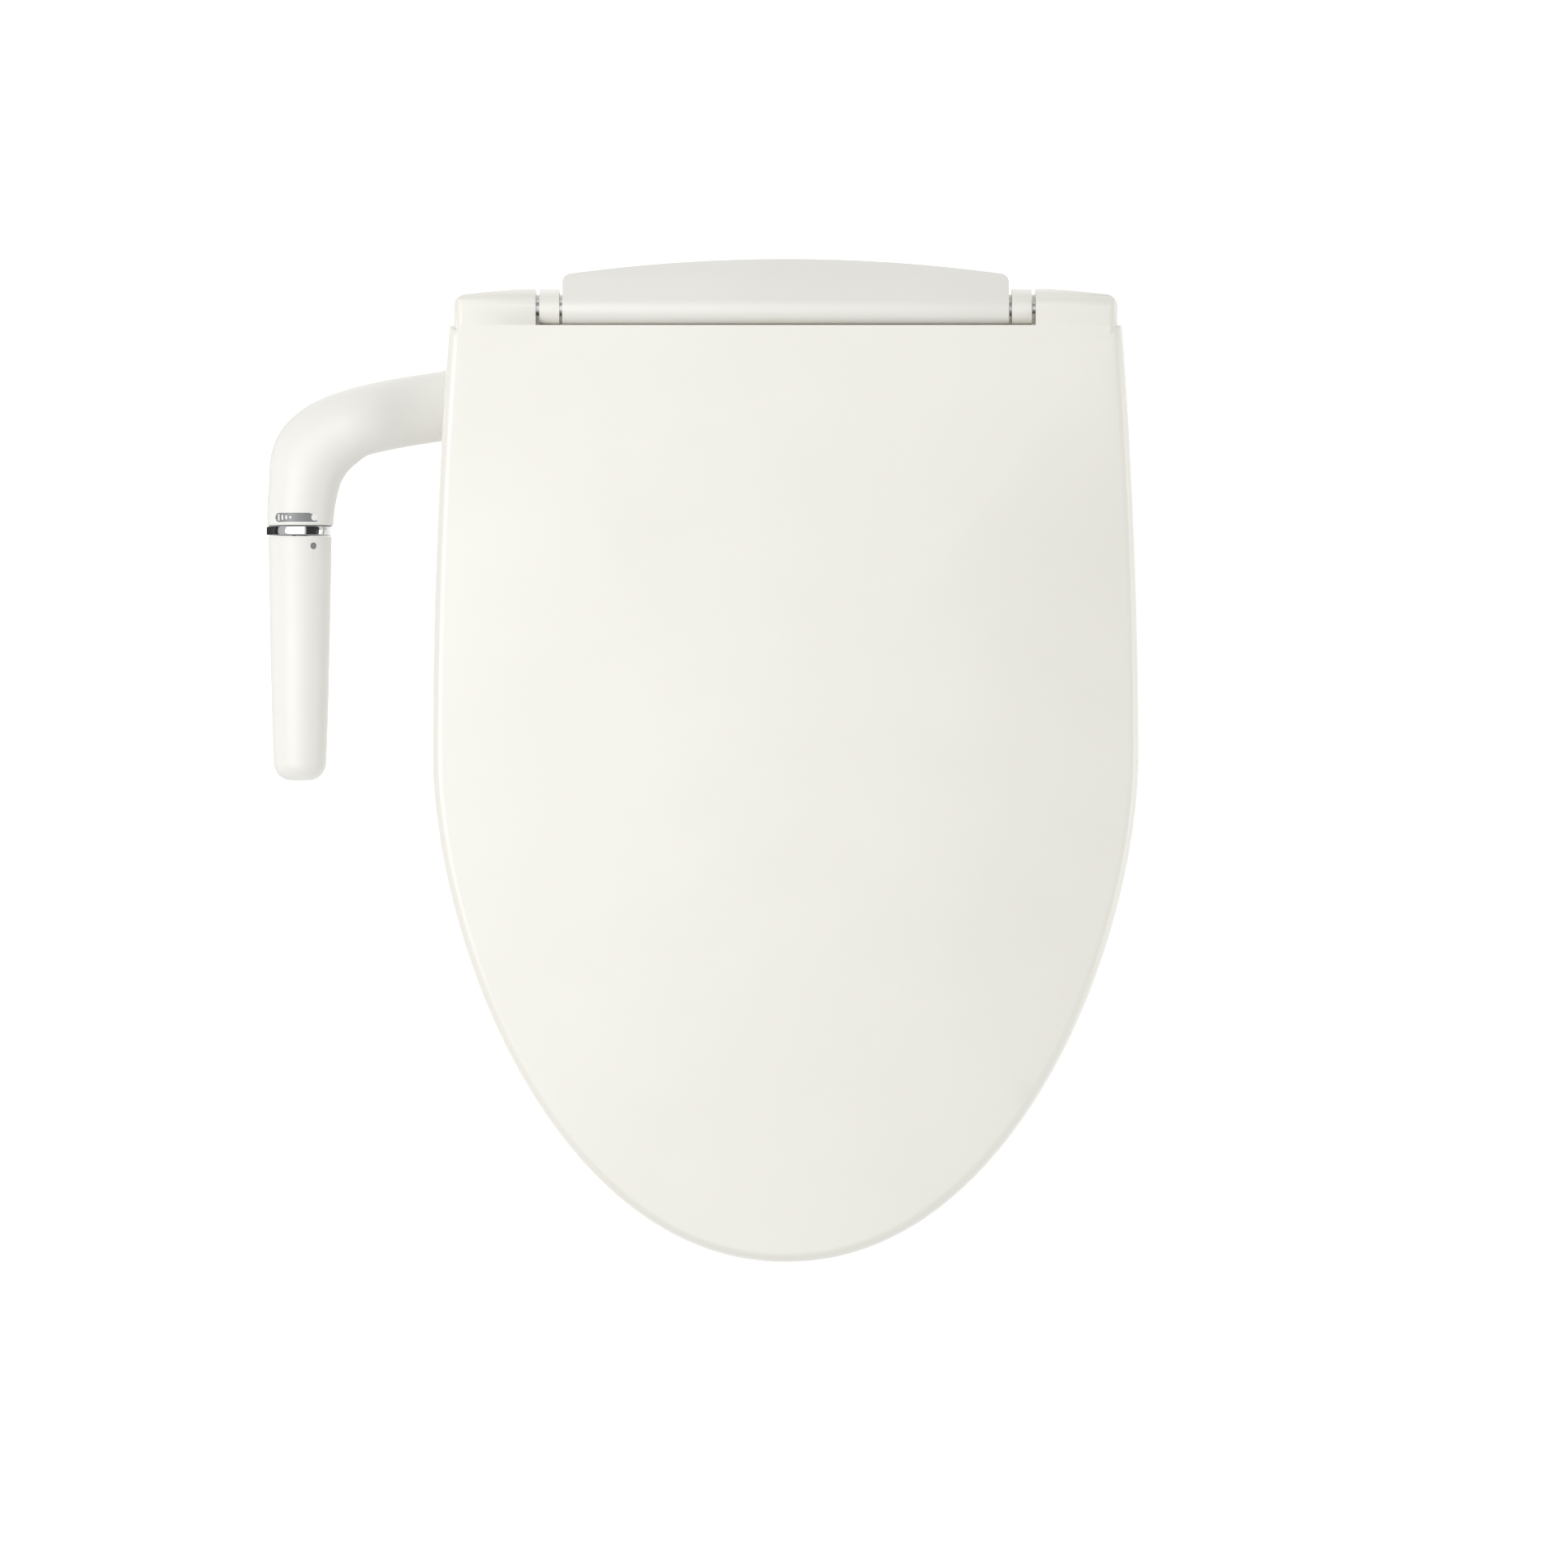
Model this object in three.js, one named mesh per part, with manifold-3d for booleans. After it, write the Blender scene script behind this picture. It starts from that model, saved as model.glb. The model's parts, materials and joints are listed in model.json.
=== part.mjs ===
// Bidet seat: lid, ring, slim housing, retracting wand and a side arm with a twist grip.
// Millimetres. +X to the right as seen from above with the front at the bottom, +Y to the rear,
// +Z up. The origin is on the bowl's deck, midway between the two bowl bolts.
import * as THREE from "three";
import { mergeVertices } from "three/addons/utils/BufferGeometryUtils.js";
import Module from "manifold-3d";

const wasm = await Module();
wasm.setup();

// ---- Driving dimensions ----
const GAP = 0.3; // clearance between pieces that touch
const RUN_GAP = 0.5; // clearance between pieces that move past each other
const FAR = 1000; // reaches past every piece

const HOUSING_HALF_WIDTH = 158;
const HOUSING_FRONT_Y = -84;
const HOUSING_REAR_Y = 31;
const HOUSING_OVER_WAND = 5; // wand's tube to the cover's top, over the bolts
const HOUSING_SPLIT_Z = 11;
const HOUSING_WALL = 2.5;
const HOUSING_CORNER_R = 12;
const BLOCK_HALF_WIDTH = 116.5;
const BLOCK_REAR = 25.9; // hinge axis to the block's rear at the centre
const BLOCK_SIDE_REAR = 17.5; // hinge axis to the block's rear at its corners
const BLOCK_CORNER_R = 4;

const LID_HALF_WIDTH = 184.4;
const LID_REACH = 498.2; // hinge axis to the lid's tip
const LID_WIDEST = 237; // hinge axis to the widest place
const LID_REAR_TAPER = 9; // narrowing on each side from the widest place to the hinge
const LID_TAPER_POWER = 2;
const LID_EDGE_HEIGHT = 13;
const LID_CROWN = 8;
const LID_WALL = 3;
const LID_EDGE_R = 5.5;

const RING_INSET = 4; // ring's edge inside the lid's edge
const RING_BOTTOM_Z = 9;
const RING_OVER_HOUSING = 2; // clearance of the ring's thin rear part above the housing
const RING_REAR_T = 6.5; // thickness of that rear part
const RING_TO_LID = 1.5; // ring's top to the lid's rim
const RING_WALL = 3;
const RING_SIDE_WIDTH = 79.4; // lid's widest edge to the opening
const RING_FRONT_WIDTH = 68.2; // lid's tip to the opening
const RING_REAR_BAND = 5; // housing's front to the opening
const FOOT_R = 9;
const FOOT_STEM_R = 3;

const HINGE_Y = 23; // hinge axis behind the bowl bolts
const HINGE_OVER_RIM = 9; // hinge axis above the lid's rim
const BARREL_R = 8.8; // rounded front of the housing's rear block and of the ring's ears
const LOBE_STEP = 1.2; // how much larger the lid's outer knuckles are
const BARREL_TO_RING = 2.2;
const LOBE_CORNER_R = 7;
const LOBE_SLOPE = 6; // degrees that a knuckle's rear falls away outwards
const LOBE_BORE_DEPTH = 30;
const EAR_WIDTH = 10.4;
const BLOCK_TO_EAR = 1.5;
const EAR_TO_LOBE = 1.9;
const SHAFT_R = 4;
const SHAFT_END_R = 3;
const DAMPER_LENGTH = 52;

const BOLT_SPACING = 140;
const BOLT_R = 4;
const BOLT_LENGTH = 62;
const PLATE_T = 4;
const DECK_THICKNESS = 25; // bowl deck that the bolts clamp

const ARM_ROOT_Y = -25.3;
const ARM_ROOT_Z = 13;
const ARM_ROOT_WIDTH = 36.4;
const ARM_ROOT_HEIGHT = 19;
const ARM_END_R = 17.4;
const ARM_END_Y = -90.3;
const ARM_OVER_DECK = 4.6; // clearance under the arm's round end
const ARM_WALL = 2.5;
const ARM_LIFT_LENGTH = 53.6; // stretch over which the flat root becomes round
const ARM_BEND_WIDER = 1.5; // extra half width from the bend on
const ARM_SWELL = 2.6; // extra on the outer side of the bend
const TRIM_RING_T = 4.7;
const GRIP_OUT = 70.1; // lid's widest edge to the grip's axis
const GRIP_LENGTH = 128;
const GRIP_STEP = 0.8; // arm's end to the grip's slimmer top
const GRIP_TAPER = 2.2;
const GRIP_END_TAPER = 1.1;
const GRIP_END_R = 9.5;
const GRIP_WALL = 2.8;
const STEM_R = 4;
const MARK_ANGLE = 28; // degrees from the top, towards +X, of the off mark and the index dot

const WAND_R = 5;
const WAND_BORE_R = 2.5;
const WAND_TIP_STEP = 0.5; // how far the tip stands proud of the tube
const WAND_TILT = 8; // degrees below level
const WAND_OVER_DECK = 8; // clearance under the wand's tube over the bolts
const WAND_FRONT = -84.5;
const WAND_REAR = 39;
const GEAR_MODULE = 1;
const PINION_TEETH = 12;

// ---- Sizes that follow ----
const WAND_TIP_R = WAND_R + WAND_TIP_STEP;
const WAND_Z = WAND_OVER_DECK + WAND_R;
const HOUSING_TOP_Z = WAND_Z + WAND_R + HOUSING_OVER_WAND;
const RING_PLATE_Z = HOUSING_TOP_Z + RING_OVER_HOUSING;
const RING_TOP_Z = RING_PLATE_Z + RING_REAR_T;
const LID_RIM_Z = RING_TOP_Z + RING_TO_LID;
const LID_EDGE_TOP_Z = LID_RIM_Z + LID_EDGE_HEIGHT;
const HINGE_Z = LID_RIM_Z + HINGE_OVER_RIM;
const LOBE_R = BARREL_R + LOBE_STEP;
const LID_REAR = BARREL_R + RUN_GAP; // hinge axis to the lid's rear edge
const RING_REAR = BARREL_R + BARREL_TO_RING; // hinge axis to the ring's rear edge
const OPENING_HALF_WIDTH = LID_HALF_WIDTH - RING_SIDE_WIDTH;
const OPENING_REAR_Y = HOUSING_FRONT_Y - RING_REAR_BAND;
const OPENING_FRONT_Y = HINGE_Y - LID_REACH + RING_FRONT_WIDTH;
const EAR_INNER_X = BLOCK_HALF_WIDTH + BLOCK_TO_EAR;
const EAR_OUTER_X = EAR_INNER_X + EAR_WIDTH;
const LOBE_INNER_X = EAR_OUTER_X + EAR_TO_LOBE;
const LOBE_OUTER_X = LID_HALF_WIDTH - LID_REAR_TAPER - 2.2;
const DAMPER_R = BARREL_R - HOUSING_WALL - GAP;
const ARM_END_Z = ARM_END_R + ARM_OVER_DECK;
const GRIP_X = -LID_HALF_WIDTH - GRIP_OUT;

// ---- Materials ----
const finish = (color, roughness, metalness = 0) =>
  new THREE.MeshStandardMaterial({ color, roughness, metalness });
const warmWhite = () => finish(0xf1f0e9, 0.3);
const casingWhite = () => finish(0xe9e8e2, 0.35);
const greyPlastic = () => finish(0x8f9290, 0.6);
const blackRubber = () => finish(0x4a4b4b, 0.85);
const chrome = () => finish(0xd8dadc, 0.1, 1);
const steel = () => finish(0xb5b7ba, 0.35, 1);
const copper = () => finish(0xb8794a, 0.4, 1);
const boardGreen = () => finish(0x2f6b46, 0.6);

// ---- Solids ----
function solidOf(geometry) {
  geometry.deleteAttribute("normal");
  geometry.deleteAttribute("uv");
  const merged = mergeVertices(geometry, 1e-4);
  return new wasm.Manifold(
    new wasm.Mesh({
      numProp: 3,
      vertProperties: new Float32Array(merged.attributes.position.array),
      triVerts: new Uint32Array(merged.index.array),
    }),
  );
}

function geometryOf(solid) {
  const { vertProperties, triVerts } = solid.getMesh();
  const geometry = new THREE.BufferGeometry();
  geometry.setAttribute("position", new THREE.BufferAttribute(vertProperties, 3));
  geometry.setIndex(new THREE.BufferAttribute(triVerts, 1));
  return geometry;
}

const join = (...solids) => solids.reduce((a, b) => a.add(b));
const cut = (solid, ...tools) => tools.reduce((a, b) => a.subtract(b), solid);

const box = (x0, x1, y0, y1, z0, z1) =>
  solidOf(
    new THREE.BoxGeometry(x1 - x0, y1 - y0, z1 - z0).translate(
      (x0 + x1) / 2,
      (y0 + y1) / 2,
      (z0 + z1) / 2,
    ),
  );

const shapeOf = (points) => new THREE.Shape(points.map(([u, v]) => new THREE.Vector2(u, v)));

// Extrudes a closed outline along one axis. The outline is drawn in (x, y) for z, (y, z) for x
// and (x, z) for y.
function prism(points, axis, from, to) {
  const geometry = new THREE.ExtrudeGeometry(shapeOf(points), {
    depth: to - from,
    bevelEnabled: false,
  });
  const basis = {
    z: [new THREE.Vector3(1, 0, 0), new THREE.Vector3(0, 1, 0), new THREE.Vector3(0, 0, 1)],
    x: [new THREE.Vector3(0, 1, 0), new THREE.Vector3(0, 0, 1), new THREE.Vector3(1, 0, 0)],
    y: [new THREE.Vector3(1, 0, 0), new THREE.Vector3(0, 0, 1), new THREE.Vector3(0, -1, 0)],
  }[axis];
  const start = axis === "y" ? new THREE.Vector3(0, to, 0) : basis[2].clone().multiplyScalar(from);
  const place = new THREE.Matrix4().makeBasis(...basis).setPosition(start);
  return solidOf(geometry.applyMatrix4(place));
}

// A cylinder along one axis; a and b are its centre on the other two, in x, y, z order.
function rod(radius, axis, from, to, a, b, sides = 16, endRadius = radius) {
  const geometry = new THREE.CylinderGeometry(endRadius, radius, to - from, sides);
  const middle = (from + to) / 2;
  if (axis === "x") geometry.rotateZ(-Math.PI / 2).translate(middle, a, b);
  if (axis === "y") geometry.translate(a, middle, b);
  if (axis === "z") geometry.rotateX(Math.PI / 2).translate(a, b, middle);
  return solidOf(geometry);
}

// A turned piece about an axis parallel to Y; its profile is a list of (radius, y), which is
// put in anticlockwise order so that the faces point out.
function turnedY(profile, x, z, sides = 32) {
  const points = profile.map(([r, y]) => new THREE.Vector2(r, y));
  if (THREE.ShapeUtils.area(points) < 0) points.reverse();
  return solidOf(new THREE.LatheGeometry([...points, points[0]], sides).translate(x, 0, z));
}

function signedVolume(points, faces) {
  const [a, b, c] = [new THREE.Vector3(), new THREE.Vector3(), new THREE.Vector3()];
  let volume = 0;
  for (let i = 0; i < faces.length; i += 3) {
    a.copy(points[faces[i]]);
    b.copy(points[faces[i + 1]]);
    c.copy(points[faces[i + 2]]);
    volume += a.dot(b.cross(c));
  }
  return volume;
}

// A closed solid through rings of equal point count, with a fan over each end.
function loft(rings) {
  const count = rings[0].length;
  const points = rings.flat();
  const faces = [];
  for (let r = 0; r + 1 < rings.length; r += 1) {
    for (let i = 0; i < count; i += 1) {
      const next = (i + 1) % count;
      const [a, b, c, d] = [
        r * count + i,
        r * count + next,
        (r + 1) * count + next,
        (r + 1) * count + i,
      ];
      faces.push(a, b, c, a, c, d);
    }
  }
  const centre = (ring) =>
    ring.reduce((sum, p) => sum.add(p), new THREE.Vector3()).divideScalar(count);
  points.push(centre(rings[0]), centre(rings[rings.length - 1]));
  const last = (rings.length - 1) * count;
  for (let i = 0; i < count; i += 1) {
    const next = (i + 1) % count;
    faces.push(points.length - 2, next, i);
    faces.push(points.length - 1, last + i, last + next);
  }
  if (signedVolume(points, faces) < 0) faces.reverse();
  const geometry = new THREE.BufferGeometry().setFromPoints(points);
  geometry.setIndex(faces);
  return solidOf(geometry);
}

const arc = (cx, cy, radius, fromDegrees, toDegrees, steps) =>
  Array.from({ length: steps + 1 }, (_, i) => {
    const angle = THREE.MathUtils.degToRad(fromDegrees + ((toDegrees - fromDegrees) * i) / steps);
    return [cx + radius * Math.cos(angle), cy + radius * Math.sin(angle)];
  });

const roundedRect = (x0, x1, y0, y1, r, steps = 4) => [
  ...arc(x1 - r, y1 - r, r, 0, 90, steps),
  ...arc(x0 + r, y1 - r, r, 90, 180, steps),
  ...arc(x0 + r, y0 + r, r, 180, 270, steps),
  ...arc(x1 - r, y0 + r, r, 270, 360, steps),
];

// ---- Placing pieces ----
const group = new THREE.Group();
group.name = "bidet_seat";

function piece(name, solid, material, parent = group) {
  const mesh = new THREE.Mesh(geometryOf(solid), material);
  mesh.name = name;
  parent.add(mesh);
  return mesh;
}

const SIDES = [
  ["left", -1],
  ["right", 1],
];
const mirrored = (solid, sign) => (sign > 0 ? solid : solid.mirror([1, 0, 0]));
const hingeProfile = (points) => points.map(([y, z]) => [HINGE_Y + y, HINGE_Z + z]);

// ---- Outline shared by the lid and the ring ----
const SIDE_STEPS = 4;
const FRONT_STEPS = 12;
const REAR_STEPS = 4;
const OPENING_SIDES = 36;

function halfOutline() {
  const front = Array.from({ length: FRONT_STEPS }, (_, i) => {
    const t = 1 - (i / FRONT_STEPS) ** 2;
    const x = LID_HALF_WIDTH * (1 - t ** 1.7) ** 0.48;
    return [x, HINGE_Y - LID_WIDEST - t * (LID_REACH - LID_WIDEST)];
  });
  const side = Array.from({ length: SIDE_STEPS + 1 }, (_, i) => {
    const s = i / SIDE_STEPS;
    return [
      LID_HALF_WIDTH - LID_REAR_TAPER * s ** LID_TAPER_POWER,
      HINGE_Y - LID_WIDEST + s * (LID_WIDEST - LID_REAR),
    ];
  });
  return [...front, ...side];
}

// Anticlockwise from the tip, up the right side, along the rear and down the left side.
function outline() {
  const right = halfOutline();
  const [cornerX, rearY] = right[right.length - 1];
  const rear = Array.from({ length: REAR_STEPS - 1 }, (_, i) => [
    cornerX * (1 - (2 * (i + 1)) / REAR_STEPS),
    rearY,
  ]);
  const left = right
    .slice(1)
    .reverse()
    .map(([x, y]) => [-x, y]);
  return [...right, ...rear, ...left];
}

function inset(points, distance) {
  return points.map(([x, y], i) => {
    const before = points[(i + points.length - 1) % points.length];
    const after = points[(i + 1) % points.length];
    const n1 = new THREE.Vector2(before[1] - y, x - before[0]).normalize();
    const n2 = new THREE.Vector2(y - after[1], after[0] - x).normalize();
    const miter = n1.add(n2).normalize();
    const length = distance / miter.dot(n2);
    return [x + miter.x * length, y + miter.y * length];
  });
}

const FULL_OUTLINE = outline();
const CENTRE_Y = HINGE_Y - LID_WIDEST;
const shrunk = (points, k) => points.map(([x, y]) => [x * k, CENTRE_Y + (y - CENTRE_Y) * k]);
const ringAt = (points, height) =>
  points.map(([x, y]) => new THREE.Vector3(x, y, typeof height === "number" ? height : height(y)));

// ---- Lid ----
// The top is crowned and rises at its rear to the height of the knuckles.
const REAR_RISE_LENGTH = 120;
function lidTop(y, k) {
  const rise = THREE.MathUtils.smoothstep(y, HINGE_Y - LID_REAR - REAR_RISE_LENGTH, HINGE_Y - LID_REAR);
  const crowned = LID_EDGE_TOP_Z + LID_CROWN * (1 - k * k);
  return THREE.MathUtils.lerp(crowned, HINGE_Z + LOBE_R, rise);
}

function lidBody(offset, bottomZ) {
  const top = (y, k = 1) => lidTop(y, k) - offset;
  const at = (distance) => inset(FULL_OUTLINE, offset + distance);
  const edge = (degrees) => LID_EDGE_R * (1 - Math.cos(THREE.MathUtils.degToRad(degrees)));
  const drop = (degrees) => LID_EDGE_R * (1 - Math.sin(THREE.MathUtils.degToRad(degrees)));
  const rounded = [0, 45, 90].map((degrees) =>
    ringAt(at(edge(degrees)), (y) => top(y) - drop(degrees)),
  );
  const crown = [0.8, 0.52, 0.25].map((k) =>
    ringAt(shrunk(at(LID_EDGE_R), k), (y) => top(y, k)),
  );
  const lip = offset ? 0 : 0.8;
  const side = [ringAt(at(lip), bottomZ), ringAt(at(0), LID_RIM_Z + 3)];
  return loft([...side, ...rounded, ...crown]);
}

// A knuckle's outer corner is rounded about a point level with the hinge axis.
const lobeCorner = arc(LOBE_OUTER_X - LOBE_CORNER_R, 0, LOBE_CORNER_R, 0, 90 - LOBE_SLOPE, 4);
const [slopeX, slopeY] = lobeCorner.at(-1);
const lobeRise = (slopeX - LOBE_INNER_X) * Math.tan(THREE.MathUtils.degToRad(LOBE_SLOPE));
const lobePlan = [
  [LOBE_INNER_X, -20],
  [LOBE_OUTER_X + 1, -20],
  ...lobeCorner,
  [LOBE_INNER_X, slopeY + lobeRise],
].map(([x, y]) => [x, HINGE_Y + y]);

function lidLobe(boreR) {
  const profile = hingeProfile([
    [-LOBE_R - 4, LID_RIM_Z - HINGE_Z],
    [-4, -LOBE_R],
    ...arc(0, 0, LOBE_R, -90, 90, 10),
    [-LOBE_R - 4, LOBE_R],
  ]);
  const knuckle = prism(profile, "x", LOBE_INNER_X, LOBE_OUTER_X + 1);
  const rounded = knuckle.intersect(prism(lobePlan, "z", 0, 2 * HINGE_Z));
  const bore = rod(boreR, "x", LOBE_INNER_X - 1, LOBE_INNER_X + LOBE_BORE_DEPTH, HINGE_Y, HINGE_Z);
  return cut(rounded, bore);
}

const lidRearX = LID_HALF_WIDTH - LID_REAR_TAPER - 2;
const lidRearEdge = box(
  -lidRearX, lidRearX, HINGE_Y - LID_REAR - 4.2, HINGE_Y - LID_REAR, LID_RIM_Z, HINGE_Z + LOBE_R,
);
const lidShell = join(
  cut(lidBody(0, LID_RIM_Z), lidBody(LID_WALL, LID_RIM_Z - 1)),
  lidRearEdge,
  mirrored(lidLobe(SHAFT_R + GAP), -1),
  lidLobe(SHAFT_END_R + GAP),
);
piece("lid", lidShell, warmWhite());

// Four pads under the lid's rim keep it off the ring; their places are from the widest place.
const LID_PAD_PLACES = [
  ["rear", 64],
  ["front", -116],
];
function edgeX(y, distance) {
  const points = inset(FULL_OUTLINE, distance);
  const i = points.findIndex((p, n) => n > 0 && p[1] >= y && points[n - 1][1] < y);
  const [a, b] = [points[i - 1], points[i]];
  return a[0] + ((b[0] - a[0]) * (y - a[1])) / (b[1] - a[1]);
}
const LID_PAD_R = 4;
const LID_PAD_INSET = 16;
for (const [place, offset] of LID_PAD_PLACES) {
  for (const [side, sign] of SIDES) {
    const y = CENTRE_Y + offset;
    const x = sign * edgeX(y, LID_PAD_INSET);
    const topZ = lidTop(y, 1) - LID_WALL - LID_EDGE_R;
    const pad = rod(LID_PAD_R, "z", RING_TOP_Z + RUN_GAP, topZ, x, y, 12, LID_PAD_R - 1);
    piece(`lid_bumper_${place}_${side}`, pad, blackRubber());
  }
}

// ---- Ring ----
const OPENING_LEVELS = [
  [0, RING_BOTTOM_Z - 5],
  [0, RING_TOP_Z - 9],
  [4, RING_TOP_Z - 3.5],
  [11, RING_TOP_Z - 0.8],
  [24, RING_TOP_Z + 0.2],
];
const CAVITY_LEVELS = [
  [0, RING_BOTTOM_Z - 5],
  [0, RING_TOP_Z - 12],
  [8, RING_TOP_Z - 2],
];
function openingPlan(grow) {
  const centreY = (OPENING_REAR_Y + OPENING_FRONT_Y) / 2;
  const halfLength = (OPENING_REAR_Y - OPENING_FRONT_Y) / 2;
  const squared = (v) => Math.sign(v) * Math.abs(v) ** 0.88;
  return Array.from({ length: OPENING_SIDES }, (_, i) => {
    const angle = (i / OPENING_SIDES) * 2 * Math.PI;
    return [
      (OPENING_HALF_WIDTH + grow) * squared(Math.cos(angle)),
      centreY + (halfLength + grow) * squared(Math.sin(angle)),
    ];
  });
}
const openingTool = (grow, levels) =>
  loft(levels.map(([flare, z]) => ringAt(openingPlan(grow + flare), z)));
const openingColumn = (grow) => prism(openingPlan(grow), "z", -10, FAR);

function ringBody(offset, bottomZ) {
  const levels = [
    [1.5, bottomZ],
    [0, bottomZ + 3],
    [0, RING_TOP_Z - 7 - offset],
    [1, RING_TOP_Z - 3 - offset],
    [3, RING_TOP_Z - 0.9 - offset],
    [7, RING_TOP_Z - offset],
  ];
  return loft(levels.map(([d, z]) => ringAt(inset(FULL_OUTLINE, RING_INSET + offset + d), z)));
}

const CAVITY_REAR_Y = OPENING_REAR_Y - RING_WALL;
const frontOf = (y) => box(-FAR, FAR, -FAR, y, -10, FAR);
const earProfile = hingeProfile([
  [-34, RING_PLATE_Z - HINGE_Z],
  [-12, RING_PLATE_Z - HINGE_Z],
  ...arc(0, 0, LOBE_R, -110, -10, 6),
  ...arc(0, 0, BARREL_R, 20, 200, 12),
  [-BARREL_R - 0.1, LID_RIM_Z - HINGE_Z - 0.8],
  [-34, RING_TOP_Z - HINGE_Z - 0.2],
]);
const earBore = (r) => rod(r, "x", EAR_INNER_X - 1, EAR_OUTER_X + 1, HINGE_Y, HINGE_Z);
const ear = (r) => cut(prism(earProfile, "x", EAR_INNER_X, EAR_OUTER_X), earBore(r));
const housingSpace = box(-FAR, FAR, HOUSING_FRONT_Y - 2, FAR, -5, RING_PLATE_Z);
const behindHinge = box(-FAR, FAR, HINGE_Y - RING_REAR, FAR, -5, FAR);
const ringCavity = cut(
  ringBody(RING_WALL, RING_BOTTOM_Z - 4),
  openingTool(RING_WALL, CAVITY_LEVELS),
).intersect(frontOf(CAVITY_REAR_Y));
const ringTop = cut(
  ringBody(0, RING_BOTTOM_Z), openingTool(0, OPENING_LEVELS), housingSpace, behindHinge, ringCavity,
);
const ringShell = join(ringTop, mirrored(ear(SHAFT_R + RUN_GAP), -1), ear(SHAFT_R + GAP));
piece("ring_upper_shell", ringShell, warmWhite());

const LOWER_SHELL_T = 2.5;
const ringSlice = (offset, grow, z0, z1, rearY) =>
  cut(
    loft(
      [z0, z1].map((z) => ringAt(inset(FULL_OUTLINE, RING_INSET + offset), z)),
    ),
    openingColumn(grow),
  ).intersect(frontOf(rearY));
// The feet's places are from the widest place too.
const FOOT_PLACES = [
  ["rear", 84],
  ["front", -136],
].map(([place, offset]) => [place, CENTRE_Y + offset]);
const FOOT_INSET = 38;
const footX = (y) => edgeX(y, FOOT_INSET);
const footHoles = FOOT_PLACES.flatMap(([, y]) =>
  SIDES.map(([, sign]) => rod(FOOT_STEM_R + GAP, "z", 0, 20, sign * footX(y), y)),
);
const lowerShell = cut(
  ringSlice(
    RING_WALL + GAP + 1.5, RING_WALL + GAP, RING_BOTTOM_Z + GAP,
    RING_BOTTOM_Z + GAP + LOWER_SHELL_T, CAVITY_REAR_Y - GAP,
  ),
  ...footHoles,
);
piece("ring_lower_shell", lowerShell, warmWhite());

for (const [place, y] of FOOT_PLACES) {
  for (const [side, sign] of SIDES) {
    const x = sign * footX(y);
    const foot = join(
      rod(FOOT_R, "z", 0, RING_BOTTOM_Z, x, y, 20, FOOT_R - 1),
      rod(FOOT_STEM_R, "z", RING_BOTTOM_Z - 1, RING_BOTTOM_Z + LOWER_SHELL_T + 1, x, y, 12),
    );
    piece(`ring_foot_${place}_${side}`, foot, blackRubber());
  }
}

const MAT_Z = RING_TOP_Z - 6.5;
const MAT_T = 0.8;
piece(
  "ring_heater_mat",
  ringSlice(RING_WALL + 8, 14, MAT_Z, MAT_Z + MAT_T, CAVITY_REAR_Y - 6),
  copper(),
);
const SENSOR_X = [OPENING_HALF_WIDTH + 23, OPENING_HALF_WIDTH + 45];
const SENSOR_Y = [CENTRE_Y - 21, CENTRE_Y + 19];
const SENSOR_Z = RING_BOTTOM_Z + LOWER_SHELL_T + 2 * GAP;
const SENSOR_T = 5;
piece("seat_sensor", box(...SENSOR_X, ...SENSOR_Y, SENSOR_Z, SENSOR_Z + SENSOR_T), greyPlastic());

// ---- Housing ----
const rearArcPlan = (margin) => {
  const half = BLOCK_HALF_WIDTH - margin;
  const sagitta = BLOCK_REAR - BLOCK_SIDE_REAR;
  const radius = (BLOCK_HALF_WIDTH ** 2 + sagitta ** 2) / (2 * sagitta);
  const centreY = HINGE_Y + BLOCK_REAR - radius;
  const cornerX = half - BLOCK_CORNER_R;
  const cornerY = centreY + Math.sqrt(radius ** 2 - cornerX ** 2) - margin - BLOCK_CORNER_R;
  const swing = THREE.MathUtils.radToDeg(Math.asin(cornerX / radius));
  const corner = (x, from, to) => arc(x, cornerY, BLOCK_CORNER_R, from, to, 3);
  return [
    [-half, HINGE_Y - 30],
    [half, HINGE_Y - 30],
    ...corner(cornerX, 0, 70),
    ...arc(0, centreY, radius - margin, 90 - swing, 90 + swing, 10),
    ...corner(-cornerX, 110, 180),
  ];
};
const slopeEnd = (margin) => {
  const start = arc(0, 0, BARREL_R - margin, 60, 60, 1)[0];
  const rear = BLOCK_REAR + 4;
  return [rear, start[1] - (rear - start[0]) * Math.tan(Math.PI / 6)];
};
const blockProfile = (margin, bottomZ) =>
  hingeProfile([
    [-BARREL_R + margin, bottomZ - HINGE_Z],
    [slopeEnd(margin)[0], bottomZ - HINGE_Z],
    slopeEnd(margin),
    ...arc(0, 0, BARREL_R - margin, 60, 180, 10),
  ]);
const block = (margin, bottomZ) =>
  prism(blockProfile(margin, bottomZ), "x", -BLOCK_HALF_WIDTH + margin, BLOCK_HALF_WIDTH - margin)
    .intersect(prism(rearArcPlan(margin), "z", -5, FAR));
const lowPlan = (margin) =>
  roundedRect(
    -HOUSING_HALF_WIDTH + margin, HOUSING_HALF_WIDTH - margin,
    HOUSING_FRONT_Y + margin, HOUSING_REAR_Y - margin, HOUSING_CORNER_R - margin,
  );
const lowBody = (margin, z0, z1) => prism(lowPlan(margin), "z", z0, z1);
const blockColumn = (margin, z0, z1) => prism(rearArcPlan(margin), "z", z0, z1);

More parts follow.
